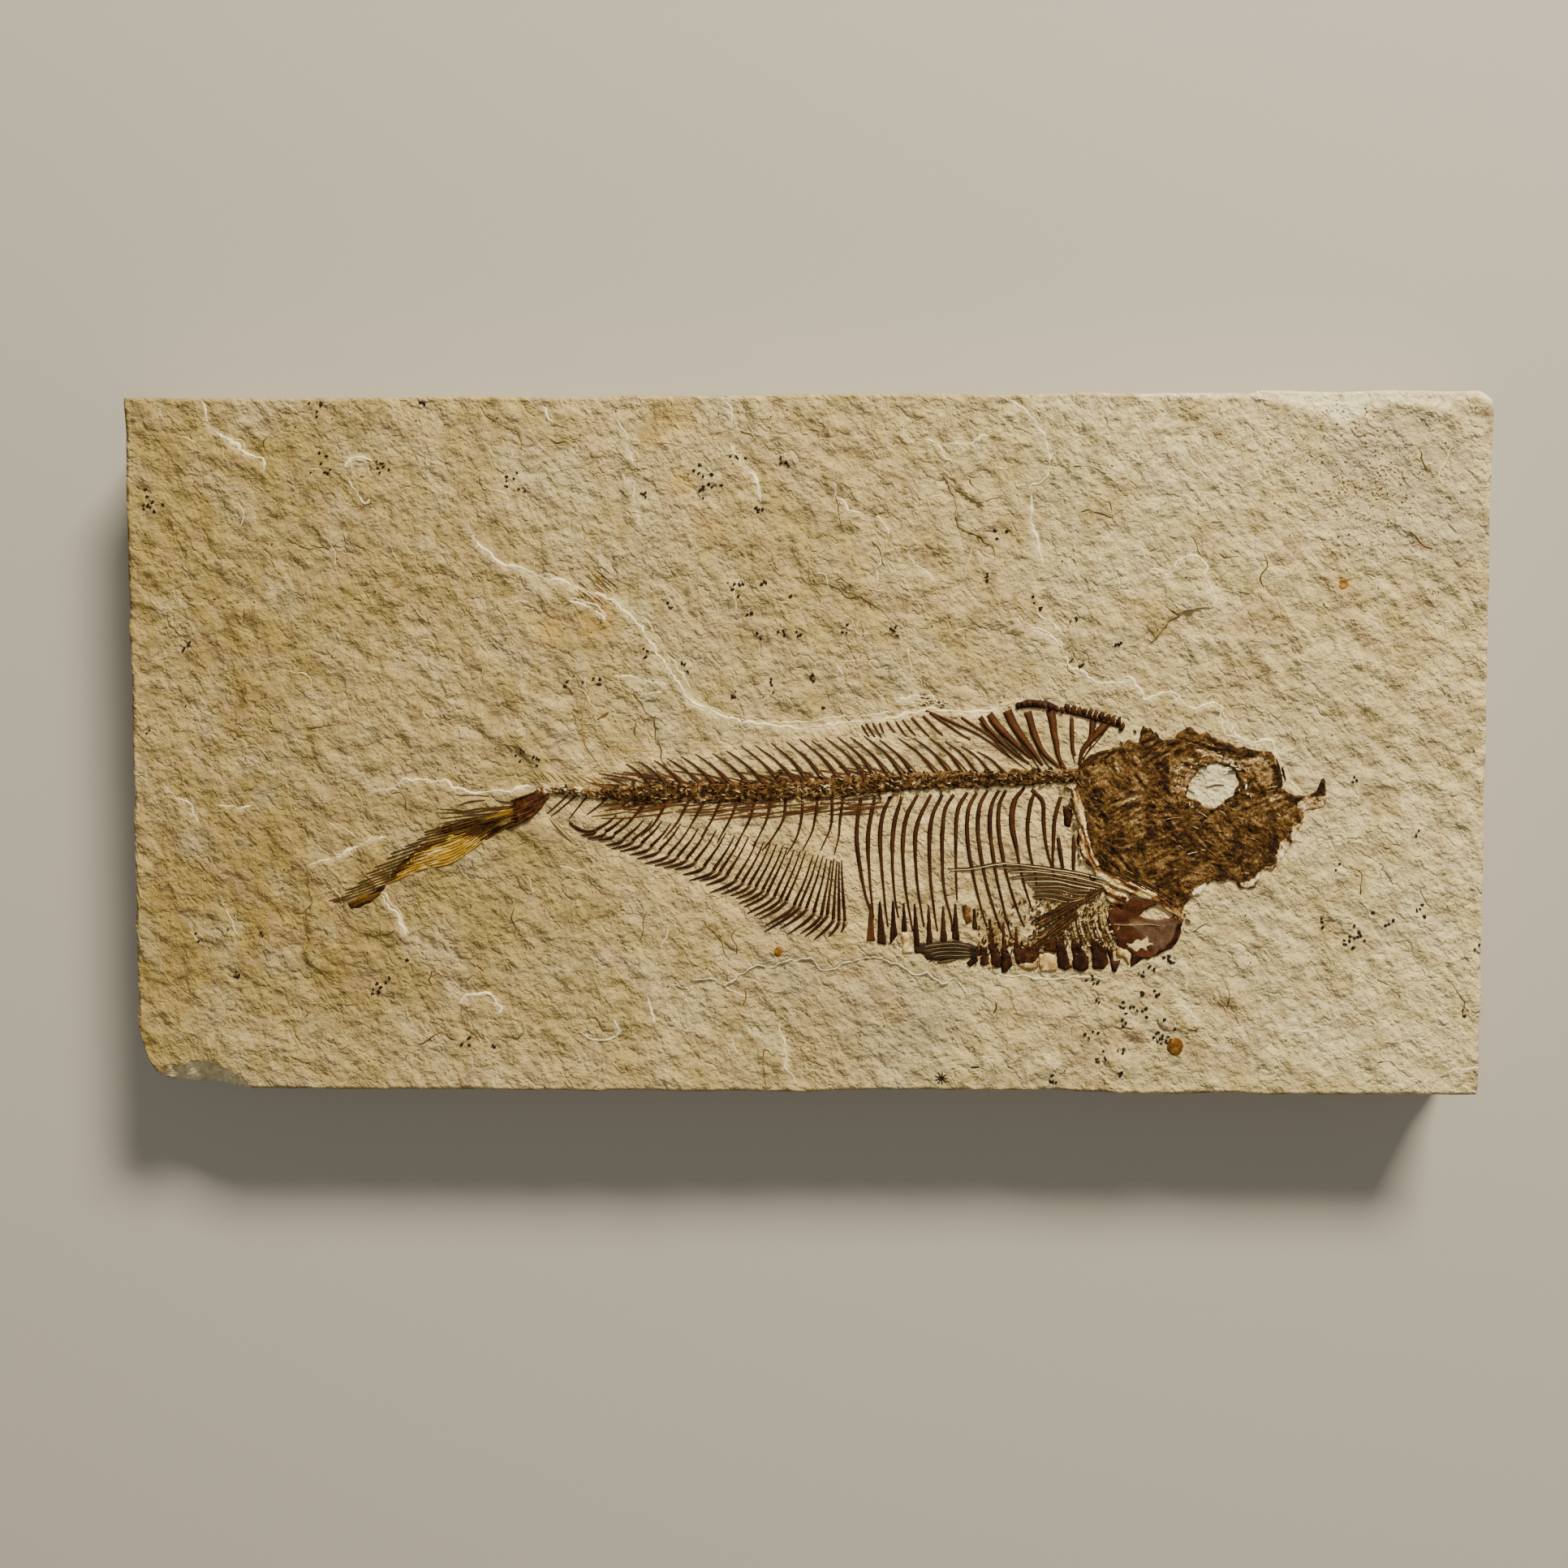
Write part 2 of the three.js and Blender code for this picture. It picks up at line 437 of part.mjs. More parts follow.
function breastFin() {
  const web = prism(BREAST_FIN_TOP.concat(BREAST_FIN_LOW), FIN_BOTTOM, FIN_BOTTOM + 0.4);
  const lobe = strip(BREAST_FIN_LOBE, 1.6, LOBE_WIDTH, 0.4, FIN_BOTTOM);
  const lowSide = BREAST_FIN_LOW.slice().reverse();
  const rays = [0.15, 0.5, 0.85].map((t) => (
    strip(between(BREAST_FIN_TOP, lowSide, t).slice(1), 0.4, 0.5, 0.7, FIN_BOTTOM)));
  const lobeRays = [-0.7, 0.7].map((side) => (
    strip(BREAST_FIN_LOBE.map(([x, y]) => [x + side * 0.5, y - side * 0.5]), 0.4, 0.6, 0.7, FIN_BOTTOM)));
  return join([web, lobe, ...rays, ...lobeRays]);
}

const HIP_FIN = [[24.8, -44.6], [31, -43.9], [35, -43.5], [38, -44.1], [39.5, -45], [38, -45.7], [35, -47],
  [32, -46.8], [27, -47.5], [27, -46.5], [24.8, -46.2]];

function hipFin() {
  const web = prism(HIP_FIN, REST, REST + PLATE_HEIGHT);
  const rays = [-44.7, -45.5, -46.3].map((y) => strip([[27, y - 0.6], [33, y], [36.5, y]], 0.35, 0.45, RIDGE_HEIGHT));
  return join([web, ...rays]);
}

// Anal fin: a long row of supports above a joint line, and a ray below each
const FIN_JOINTS = [[-46, -18.5], [-40, -20.4], [-34, -22.3], [-28, -24.5], [-22, -26.6], [-16, -29.2],
  [-10, -31.4], [-4, -34.2], [2.3, -37], [9.6, -38.8]];
const FIN_RAYS = 24;

function alongLine(line, t) {
  const place = t * (line.length - 1);
  const i = Math.min(Math.floor(place), line.length - 2);
  const [ax, ay] = line[i];
  const [bx, by] = line[i + 1];
  const f = place - i;
  return [ax + (bx - ax) * f, ay + (by - ay) * f];
}

function analFin() {
  const solids = [strip(FIN_JOINTS, 0.9, 1)];
  for (let i = 0; i < FIN_RAYS; i += 1) {
    const t = (i + 0.53) / FIN_RAYS;
    const [x, y] = alongLine(FIN_JOINTS, t);
    const lean = 4.2 * Math.sqrt(1 - t);
    const support = 1.6 + 11.4 * t ** 1.25;
    const rayLength = 3.6 + 5 * Math.sin(Math.PI * t ** 1.6);
    const rayAngle = THREE.MathUtils.degToRad(203 + 60 * t ** 3);
    const top = [x + lean * t ** 0.4, y + support];
    const tip = [x + rayLength * Math.cos(rayAngle), y + rayLength * Math.sin(rayAngle)];
    solids.push(strip([top, [x, y], tip], 0.6, 0.5));
  }
  return join(solids);
}

// Tail: the fused end of the backbone, the closed lower lobe with its rays, and loose rays above it

const TAIL_ROOT = [[-57.6, -10], [-60, -9.8], [-62.5, -10.7], [-64.2, -12], [-64.6, -16.4], [-60, -15.6],
  [-57.5, -14.8], [-56.6, -12.6]];
const TAIL_UPPER = [[-63, -13.5], [-70, -14], [-80, -17], [-90, -21], [-96, -25], [-103, -31], [-109.5, -34.5]];
const TAIL_LOWER = [[-62, -16.3], [-70, -20], [-78, -25.6], [-86, -27.5], [-93, -31], [-96, -34.2], [-110, -36.5]];
const TAIL_RAYS = 5;
const LOOSE_RAYS = [
  [[-62.5, -12], [-68.7, -11.6], [-72, -10.8], [-77.5, -12.4]],
  [[-63, -13.2], [-70, -12.7], [-76, -13.1], [-80, -13.8]],
  [[-63, -14], [-72, -14.3], [-80, -15.4]],
];

function tailFin() {
  const root = prism(TAIL_ROOT, REST, REST + RIDGE_HEIGHT);
  const web = prism(TAIL_UPPER.concat(TAIL_LOWER.slice().reverse()), REST, REST + PLATE_HEIGHT);
  const rays = [];
  for (let i = 0; i < TAIL_RAYS; i += 1) {
    const t = (i + 0.5) / TAIL_RAYS;
    rays.push(strip(between(TAIL_UPPER, TAIL_LOWER, t).slice(0, -1), 0.5, 0.6, RIDGE_HEIGHT));
  }
  const loose = LOOSE_RAYS.map((line) => strip(line, 0.9, 0.5));
  return join([root, web, ...rays, ...loose]);
}

// The whole object

const fossil = new THREE.Group();

function place(name, solid, material) {
  const mesh = new THREE.Mesh(geometryOf(solid), material);
  mesh.name = name;
  fossil.add(mesh);
}

function numbered(name, index) {
  return `${name}_${String(index + 1).padStart(2, "0")}`;
}

place("limestone_slab", limestoneSlab(), rock);
place("backbone", backbone(), brownBone);
place("skull", skull(), brownBone);
place("shoulder_band", strip(SHOULDER_BAND, BAND_WIDTH, BAND_WIDTH), creamBone);
place("shoulder_plate", shoulderPlate(), brownBone);
place("back_keel", backKeel(), darkBone);
place("breast_fin", breastFin(), amberBone);
place("hip_fin", hipFin(), blackBone);
place("anal_fin", analFin(), darkBone);
place("tail_fin", tailFin(), amberBone);
RIBS.forEach((line, i) => place(numbered("rib", i), strip(line, 0.8, 0.5), darkBone));
NAPE_BONES.forEach(({ line, width }, i) => (
  place(numbered("nape_bone", i), strip(line, width, width * 0.7), darkBone)));
BELLY_PLATES.forEach((outline, i) => (
  place(numbered("belly_plate", i), prism(outline, REST, REST + PLATE_HEIGHT), darkBone)));

export default fossil;
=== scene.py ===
"""Looks of the fossil fish slab: the split rock face, the bones on it, and their finishes.

Places on the face are in millimetres from the plate's middle, X to the snout and Y to the upper edge.
"""
import math

import bpy
import numpy as np
from mathutils import Matrix, Vector
from mathutils.bvhtree import BVHTree


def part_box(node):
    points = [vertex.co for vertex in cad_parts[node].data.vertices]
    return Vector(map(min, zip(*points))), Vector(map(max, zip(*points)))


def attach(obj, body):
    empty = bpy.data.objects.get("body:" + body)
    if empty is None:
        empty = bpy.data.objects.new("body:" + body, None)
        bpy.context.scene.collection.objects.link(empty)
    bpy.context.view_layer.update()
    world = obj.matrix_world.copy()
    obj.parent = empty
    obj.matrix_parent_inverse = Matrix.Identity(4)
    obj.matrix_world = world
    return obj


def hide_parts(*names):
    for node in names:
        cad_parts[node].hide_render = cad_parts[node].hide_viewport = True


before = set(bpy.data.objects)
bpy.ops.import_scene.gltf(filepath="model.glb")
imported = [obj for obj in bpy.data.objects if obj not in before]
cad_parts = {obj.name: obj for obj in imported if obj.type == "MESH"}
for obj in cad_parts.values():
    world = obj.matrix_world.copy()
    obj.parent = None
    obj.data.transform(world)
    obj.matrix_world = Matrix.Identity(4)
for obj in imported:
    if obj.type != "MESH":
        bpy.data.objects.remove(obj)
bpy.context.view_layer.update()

MM = 0.001
HALF_LENGTH = 150.0
HALF_WIDTH = 77.5
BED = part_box("backbone")[0].z / MM  # height of the bedding plane under the fish
SUNK = 0.5  # how deep the underside of a bone lies in the rock
RNG = np.random.default_rng(41)
FACE_TREE = []  # the built face, which bones and crumbs are laid on


# Small noise toolkit, the same on every run

def lattice(ix, iy, seed):
    """A repeatable value from -1 to 1 for each whole-number place."""
    h = (ix.astype(np.int64) * 374761393 + iy.astype(np.int64) * 668265263 + seed * 974634777) & 0xFFFFFFFF
    h = ((h ^ (h >> 13)) * 1274126177) & 0xFFFFFFFF
    h = h ^ (h >> 16)
    return h / 2147483648.0 - 1.0


def noise(x, y, seed):
    """Smooth noise with features about one unit apart."""
    x, y = np.asarray(x, float), np.asarray(y, float)
    ix, iy = np.floor(x), np.floor(y)
    fx, fy = x - ix, y - iy
    fx = fx * fx * fx * (fx * (fx * 6 - 15) + 10)
    fy = fy * fy * fy * (fy * (fy * 6 - 15) + 10)
    a, b = lattice(ix, iy, seed), lattice(ix + 1, iy, seed)
    c, d = lattice(ix, iy + 1, seed), lattice(ix + 1, iy + 1, seed)
    return (a + (b - a) * fx) * (1 - fy) + (c + (d - c) * fx) * fy


def noise_along(s, row, seed):
    """Smooth noise along a line. Lines with different rows differ."""
    return noise(s, np.full(np.shape(s), row + 0.5), seed)


def fbm(x, y, seed, octaves):
    """Noise with finer noise on top, each time half as strong."""
    total, size, scale = 0.0, 1.0, 1.0
    for octave in range(octaves):
        total = total + size * noise(x * scale + 17.3 * octave, y * scale - 9.1 * octave, seed + octave)
        size *= 0.5
        scale *= 2.03
    return total


def smooth(low, high, value):
    """Goes gently from 0 at low to 1 at high."""
    t = np.clip((np.asarray(value, float) - low) / (high - low), 0, 1)
    return t * t * (3 - 2 * t)


# Lines and outlines

def resample(points, step, jitter=0.0, seed=0):
    """The line again with evenly spaced points, which wander sideways by up to jitter."""
    p = np.array(points, float)
    leg = np.hypot(*np.diff(p, axis=0).T)
    along = np.concatenate([[0], np.cumsum(leg)])
    count = max(2, int(math.ceil(along[-1] / step)) + 1)
    s = np.linspace(0, along[-1], count)
    q = np.stack([np.interp(s, along, p[:, 0]), np.interp(s, along, p[:, 1])], axis=1)
    if jitter:
        t = np.gradient(q, axis=0)
        t /= np.hypot(*t.T)[:, None] + 1e-9
        shift = jitter * fbm(s / 1.7, np.full(count, 0.5 + seed), 300 + seed, 2)
        q = q + np.stack([-t[:, 1], t[:, 0]], axis=1) * shift[:, None]
    return q


def curve_through(points, step):
    """A smooth line through a few points."""
    p = np.array(points, float)
    if len(p) < 3:
        return resample(p, step)
    ends = np.vstack([2 * p[0] - p[1], p, 2 * p[-1] - p[-2]])
    out = []
    for i in range(1, len(ends) - 2):
        a, b, c, d = ends[i - 1], ends[i], ends[i + 1], ends[i + 2]
        n = max(2, int(math.hypot(*(c - b)) / step) + 1)
        t = np.linspace(0, 1, n, endpoint=False)[:, None]
        out.append(0.5 * (2 * b + (c - a) * t + (2 * a - 5 * b + 4 * c - d) * t ** 2
                          + (3 * b - a - 3 * c + d) * t ** 3))
    return resample(np.vstack(out + [p[-1:]]), step)


def line_distance(line, x, y, reach):
    """For places within reach of a line: which they are, their distance, side (left is +), how far along
    the line they are and the nearest point's place. Last comes the line's length."""
    p = np.array(line, float)
    lo, hi = p.min(0) - reach, p.max(0) + reach
    near = np.flatnonzero((x > lo[0]) & (x < hi[0]) & (y > lo[1]) & (y < hi[1]))
    px, py = x[near], y[near]
    best = np.full(near.size, np.inf)
    side = np.ones(near.size)
    along = np.zeros(near.size)
    foot = np.zeros((near.size, 2))
    start = 0.0
    for a, b in zip(p[:-1], p[1:]):
        d = b - a
        length = math.hypot(*d)
        if length < 1e-9:
            continue
        t = np.clip(((px - a[0]) * d[0] + (py - a[1]) * d[1]) / length ** 2, 0, 1)
        fx, fy = a[0] + d[0] * t, a[1] + d[1] * t
        dist = np.hypot(px - fx, py - fy)
        closer = dist < best - 1e-9
        best = np.where(closer, dist, best)
        side = np.where(closer, np.sign(d[0] * (py - a[1]) - d[1] * (px - a[0]) + 1e-12), side)
        along = np.where(closer, start + t * length, along)
        foot = np.where(closer[:, None], np.stack([fx, fy], axis=1), foot)
        start += length
    keep = best < reach
    return near[keep], best[keep], side[keep], along[keep], foot[keep], start


def inside(outline, x, y):
    """Which places lie inside a closed outline."""
    p = np.array(outline, float)
    q = np.roll(p, -1, axis=0)
    result = np.zeros(np.shape(x), bool)
    for (ax, ay), (bx, by) in zip(p, q):
        if ay == by:
            continue
        crosses = (ay > y) != (by > y)
        result ^= crosses & (x < (bx - ax) * (y - ay) / (by - ay) + ax)
    return result


def edge_distance(outline, x, y):
    """Distance to a closed outline, in and out alike."""
    p = np.array(list(outline) + [outline[0]], float)
    best = np.full(np.shape(x), np.inf)
    for a, b in zip(p[:-1], p[1:]):
        d = b - a
        t = np.clip(((x - a[0]) * d[0] + (y - a[1]) * d[1]) / max(d @ d, 1e-12), 0, 1)
        best = np.minimum(best, np.hypot(x - a[0] - d[0] * t, y - a[1] - d[1] * t))
    return best


def depth_in(outline, x, y):
    """How deep each place lies inside a closed outline, below 0 outside it."""
    return np.where(inside(outline, x, y), 1, -1) * edge_distance(outline, x, y)


def at(measure, x, y):
    """What a function of places gives at one place."""
    return float(measure(np.array([x]), np.array([y]))[0])


def holds(outline, x, y):
    """Whether one place lies inside a closed outline."""
    return bool(inside(outline, np.array([x]), np.array([y]))[0])


def level(value):
    """The same value at every place."""
    return lambda x, y: np.full(x.shape, value)


def noisy(middle, amount, size_x, size_y, seed):
    """A value that wanders from place to place round its middle."""
    return lambda x, y: middle + amount * noise(x / size_x, y / size_y, seed)


# Ledges of the face. Each has its line, the side that lies lower (left or right of its direction), the drop,
# how far it takes to rise again, and how strongly its edge shows: above 0 a pale edge of fresh broken rock
# with painted light, where its wall faces the light; below 0 a dark painted shadow, where its wall faces
# away.

LEFT, RIGHT = 1, -1
BACK_LEDGE = [(-74, 50), (-73, 47), (-72, 44.5), (-69, 42.5), (-67.5, 40.3), (-65, 39.8), (-62, 39.2),
              (-59, 38), (-56, 37), (-53, 36.5), (-50.5, 35), (-45, 33.5), (-41.5, 32), (-39, 29.5),
              (-36, 26.5), (-34, 23.5), (-31.5, 19.5), (-29, 16), (-28, 14), (-26, 11.5), (-24, 9.5),
              (-20, 7.5), (-18, 6.5), (-14, 5.5), (-10, 4.8), (-5, 4.2), (-1, 3.9), (3, 4.5), (8, 5.2),
              (13, 5.4), (18, 6), (23, 7), (28, 8), (34, 7.8), (38, 7), (42, 8), (45, 9.7), (50, 10.8)]
HEAD_LEDGE = [(69, 16.5), (72.5, 14.5), (73.7, 12.5), (74.8, 10.1), (79, 12.1), (81.6, 11.7), (83.7, 9.5),
              (86.3, 7.7), (88.1, 9), (90.3, 9.9), (92, 9), (92.9, 6.4), (94.6, 3.8), (95.5, 1.7),
              (99, 0.8), (103.3, 1.2), (103.6, -1), (105, -5.5), (107, -7.5), (109, -9.5), (111, -11)]
LEDGES = [
    (BACK_LEDGE, LEFT, 0.6, 30, 0.75),
    (HEAD_LEDGE, LEFT, 0.5, 18, 0.55),
    ([(56.5, 20), (59, 17.5), (62, 15.5), (65, 14), (67, 13.8), (72, 14.4)], LEFT, 0.3, 9, 0.55),
    ([(92, 9), (91.6, 5.6), (92.9, 3), (95.5, 1.7)], LEFT, 0.15, 3, 0.3),
    ([(20, 9.5), (24, 11), (28, 10.8), (31, 9.5), (34, 9)], LEFT, 0.25, 7, 0.7),
    ([(-42, 15.5), (-37, 15.5), (-33, 14), (-29, 13.8)], LEFT, 0.2, 5, 0.6),
    ([(-52, 32.5), (-50, 31.6), (-47, 30.5), (-43.5, 28)], LEFT, 0.25, 6, 1.1),
    ([(-40, 14.5), (-37, 12.5), (-34, 11.5), (-31, 12)], LEFT, 0.15, 4, 0.6),
    ([(46.5, 28.5), (49, 26), (52, 25), (55, 23.5), (57.5, 21.5)], LEFT, 0.3, 7, 0.9),
    ([(51, 29.5), (54, 27.5), (57, 24)], LEFT, 0.2, 5, 0.5),
    ([(44, 76.5), (48, 73.5), (51, 70.5), (53, 67), (54, 63), (53.5, 60), (52.5, 58.2), (50, 57.5),
      (49.5, 54), (49.8, 49), (51, 45.5), (52, 42), (52.5, 39)], LEFT, 0.35, 12, 0.6),
    ([(75, 39.5), (78, 38.3), (80, 37.8), (82, 39.8), (84, 41.3), (86.5, 41.8), (88.5, 39.5), (88, 37.5),
      (89.5, 35), (90.5, 32), (89, 30.2)], LEFT, 0.5, 12, 0.5),
    ([(90, 30.5), (85, 30), (82, 29), (79, 26), (76, 22.5), (75, 21)], LEFT, 0.45, 9, -0.5),
    ([(75.5, 27), (77.5, 24)], RIGHT, 0.2, 3, -0.4),
    ([(73, 44), (76, 41)], LEFT, 0.2, 4, 0.5),
    ([(26, 60.5), (29, 58.5), (31, 58.5), (33, 55), (34, 53), (33.5, 50), (35, 48), (38, 46.5), (41, 44.5),
      (42, 42.5), (42, 40.5)], RIGHT, 0.35, 8, -0.5),
    ([(30, 60), (33, 57), (36, 54.5), (38, 53.3), (40.5, 54), (44, 55)], RIGHT, 0.2, 5, -0.35),
    ([(26.5, 67.2), (29, 66.3), (33, 66), (37, 66.2), (39, 67.5), (41, 67.7)], LEFT, 0.25, 5, 0.7),
    ([(29, 66), (31, 63.5), (34, 61)], LEFT, 0.2, 4, 0.5),
    ([(1, 40), (2, 36.5), (5, 36), (8, 34.5), (10, 33), (13, 33.2), (15, 31.5), (17, 30.5), (19, 28.5),
      (20, 27)],
     RIGHT, 0.25, 7, -0.4),
    ([(7, 58), (7, 55), (9, 53), (9.5, 51.5), (13, 51.5)], LEFT, 0.2, 5, 0.5),
    ([(16, 50.5), (17.5, 48.5), (19, 46.5)], LEFT, 0.2, 4, 0.5),
    ([(17, 42), (16.5, 39), (16, 36.5)], LEFT, 0.2, 4, 0.4),
    ([(23, 43), (25, 40), (27, 38.5), (29, 36)], LEFT, 0.2, 5, 0.4),
    ([(22, 70.5), (22.5, 68), (24, 66)], LEFT, 0.2, 4, 0.5),
    ([(-57.5, 75.5), (-56, 73), (-55, 70.5)], LEFT, 0.25, 5, 0.7),
    ([(-17, 76), (-15.5, 73), (-15.5, 70)], LEFT, 0.25, 5, 0.5),
    ([(-16, 66.5), (-15, 64), (-13.5, 61.5), (-11, 59.5), (-10, 57), (-9.5, 53.5)], LEFT, 0.4, 8, 0.9),
    ([(-41, 71.5), (-39, 68.5), (-38.5, 65), (-37.5, 62)], LEFT, 0.3, 6, 0.6),
    ([(-40, 60), (-37.5, 58), (-37, 55), (-36.5, 51), (-36, 48.5)], LEFT, 0.3, 7, 0.7),
    ([(-71, 75), (-69.5, 72.5), (-67, 71), (-64, 70), (-62, 68.5), (-62, 65)], RIGHT, 0.3, 6, -0.4),
    ([(-133, 76.5), (-131.5, 74), (-132, 72), (-130, 70), (-128, 68.5), (-126, 66.5), (-124, 65),
      (-121.5, 64), (-119.5, 63.5), (-119, 60.5)], LEFT, 0.35, 9, 0.7),
    ([(-101, 61.5), (-100, 63), (-97, 63.8), (-95, 63)], LEFT, 0.25, 4, 0.7),
    ([(-100, 59), (-98.5, 56), (-96.5, 53.8), (-95.5, 54.5)], RIGHT, 0.25, 4, 0.5),
    ([(-97, -10), (-93, -10), (-90.5, -9), (-89, -7.5), (-85, -7.8), (-80, -8.2), (-77, -9.7), (-73, -10.5),
      (-70, -10.2), (-65, -10.2), (-62, -9.2), (-59, -8.5)], LEFT, 0.3, 9, 0.7),
    ([(-111, -27), (-107, -25.5), (-103, -24.5), (-100, -22.5), (-96, -20.5),
      (-93, -20)], LEFT, 0.35, 9, 0.6),
    ([(-111, -27), (-110.8, -31), (-110, -34.5), (-111.5, -38), (-111.5, -42), (-111, -44), (-112, -46),
      (-110.5, -49), (-107, -51), (-104.5, -53.5)], RIGHT, 0.4, 8, -0.5),
    ([(-102.5, -51), (-103, -47), (-105, -45)], LEFT, 0.15, 4, -0.3),
    ([(-94.5, -33), (-92.5, -36), (-91, -37), (-90, -40), (-89, -42.5)], LEFT, 0.3, 5, 0.9),
    ([(-104.5, -37.5), (-100, -41), (-96, -42.5), (-91, -41)], RIGHT, 0.2, 5, -0.4),
    ([(-30, -53), (-25, -54), (-24, -52), (-20.5, -51.3), (-17.5, -53.5), (-15, -51.5), (-12, -49.5),
      (-10, -48.7), (-7, -49.2), (-4, -48), (0, -47), (2, -47.5), (4, -49.8), (7, -49.5), (9, -48.5),
      (12, -47.5), (14, -46.5), (18, -47.5), (22, -49), (25, -50.5), (28, -50.5), (31, -53), (34, -51.5),
      (36, -54.5), (38, -56)],
     RIGHT, 0.45, 14, 0.35),
    ([(-22, -38.5), (-20, -41), (-18, -43.5), (-17.5, -46), (-16, -48)], RIGHT, 0.3, 6, -0.4),
    ([(43, -50.8), (48, -50.9), (55, -51.4), (62, -51), (68, -51.6)], RIGHT, 0.25, 6, 0.4),
    ([(-8.5, -67), (-9, -70), (-8.3, -73), (-8, -76)], RIGHT, 0.3, 5, -0.4),
    ([(-6, -62), (-4.5, -64), (-4, -67), (-3.5, -70), (-4, -72), (-2.5, -74),
      (-1, -75.5)], LEFT, 0.3, 6, 0.5),
    ([(-35, -55), (-34.5, -58), (-34, -60), (-32.5, -61.5)], LEFT, 0.2, 5, 0.4),
    ([(-50, -64), (-48, -65.3), (-44.5, -66), (-42, -65), (-41, -63.5), (-42.5, -61)], RIGHT, 0.35, 5, 0.4),
    ([(-77, -58), (-75.5, -56.5), (-73, -55.5), (-71, -55), (-69, -57), (-67.5, -59), (-68.5, -60.5)],
     LEFT, 0.35, 6, 0.6),
    ([(-66, -61), (-63.5, -61.5), (-62.5, -64), (-64, -65.5), (-67, -64.5)], LEFT, 0.25, 5, -0.4),
    ([(-76.5, -58), (-76.5, -61), (-75, -63.5), (-73, -66)], RIGHT, 0.25, 5, -0.35),
    ([(-143, -8), (-141, -11), (-137, -13), (-135, -18)], LEFT, 0.15, 6, 0.3),
    ([(-131, -13), (-126, -14), (-123, -13)], LEFT, 0.15, 5, 0.4),
    ([(-130, 5), (-126, 3), (-122, 2)], RIGHT, 0.15, 5, -0.3),
    ([(79, -60), (80, -62.5), (82.5, -63), (84.5, -62), (87, -63.5), (88, -62)], RIGHT, 0.3, 5, -0.4),
    ([(82, -57.5), (84, -57.8), (86, -59), (88, -62)], LEFT, 0.25, 5, 0.5),
    ([(107, -63), (112.5, -63), (114, -65), (116, -67)], LEFT, 0.2, 5, 0.6),
    ([(143, -72.5), (146, -71.5), (150, -71)], LEFT, 0.25, 5, 0.6),
]
LINE_STEP = 0.8
MAIN_LEDGES = 2  # the first ones in the list, whose lines waver less
LEDGE_LINES = [resample(line, LINE_STEP, jitter=0.16 if i < MAIN_LEDGES else 0.3, seed=i)
               for i, (line, *_) in enumerate(LEDGES)]
END_TAPER = 4.0  # a ledge dies away over this length at its ends

# Chips at the plate's edge: rim line, lower side, height of each small step, width of each step, deepest
CHIPS = [
    ([(-148, -79), (-146, -74.5), (-143, -72.5), (-139, -71.3), (-135, -71), (-132, -72), (-129, -73.5),
      (-126, -75.5), (-123, -78.5)], RIGHT, 0.55, 0.9, 3.6),
    ([(72, 78), (75, 76.2), (90, 76), (104, 75.8), (108, 74), (113, 72.5), (117, 70.5), (119, 71),
      (122, 71.5), (124, 73.5), (128, 74.5), (135, 74), (139, 73), (142, 75), (147, 76), (149, 74.5),
      (151, 70)],
     LEFT, 0.3, 1.1, 1.5),
]
CHIP_LINES = [resample(line, LINE_STEP, jitter=0.3, seed=90 + i) for i, (line, *_) in enumerate(CHIPS)]
CHIP_REACH = 12

# The stretch of rock that the fish lies on, which is calmer and warmer than the rest
FISH_BODY = [(-60, -8), (-45, -3), (-20, 1), (0, 4), (20, 7), (45, 9), (60, 8.5), (72, 4), (86, 4),
             (103, -2), (110, -12), (104, -26), (88, -34), (82, -46), (64, -50), (40, -50), (12, -45),
             (-4, -44), (-20, -35), (-45, -24), (-58, -17)]


def ripples(x, y):
    """The face's own bumps: lumps 3 to 4 mm across that run down to the right, with finer ones on top."""
    across = 0.72 * x + 0.69 * y
    along = 0.69 * x - 0.72 * y
    bend = 0.9 * noise(x / 21, y / 21, 5)
    coarse = noise(across / 2.7 + bend, along / 3.9, 11)
    medium = noise(across / 1.6, along / 2.1 + bend, 12)
    broad = fbm(x / 13, y / 13, 13, 2)
    strength = 0.85 + 0.4 * noise(x / 34, y / 30, 14)
    return (0.34 * coarse + 0.2 * medium) * strength + 0.16 * broad


def face_height(x, y):
    """Height of the split face above the bedding plane, in millimetres."""
    h = 0.08 + ripples(x, y) + 0.12 * np.sin(x * 0.061 - y * 0.047 + 1)
    calm = smooth(-6, 2, depth_in(FISH_BODY, x, y))
    h = h * (1 - 0.6 * calm)
    for line, (_, low, drop, fade, _) in zip(LEDGE_LINES, LEDGES):
        who, dist, side, along, _, total = line_distance(line, x, y, fade)
        taper = min(END_TAPER, total / 3)
        ends = smooth(0, taper, along) * smooth(0, taper, total - along)
        h[who] -= np.where(side == low, drop * ends * (1 - dist / fade) ** 1.5, 0)
    for line, (_, low, step, width, deepest) in zip(CHIP_LINES, CHIPS):
        who, dist, side, along, *_ = line_distance(line, x, y, CHIP_REACH)
        wobble = dist + 0.35 * noise(along / 2.3, dist, 77)
        fall = np.minimum(deepest, step * np.ceil(wobble / width))
        h[who] -= np.where(side == low, fall, 0)
    rough = smooth(16, 4, np.hypot((x - 131) * 0.72, y - 58))
    h += rough * 0.13 * fbm(x / 1.7, y / 1.7, 44, 2)
    return h


ABOVE_ALL = 60  # mm, where the rays that look for the face start


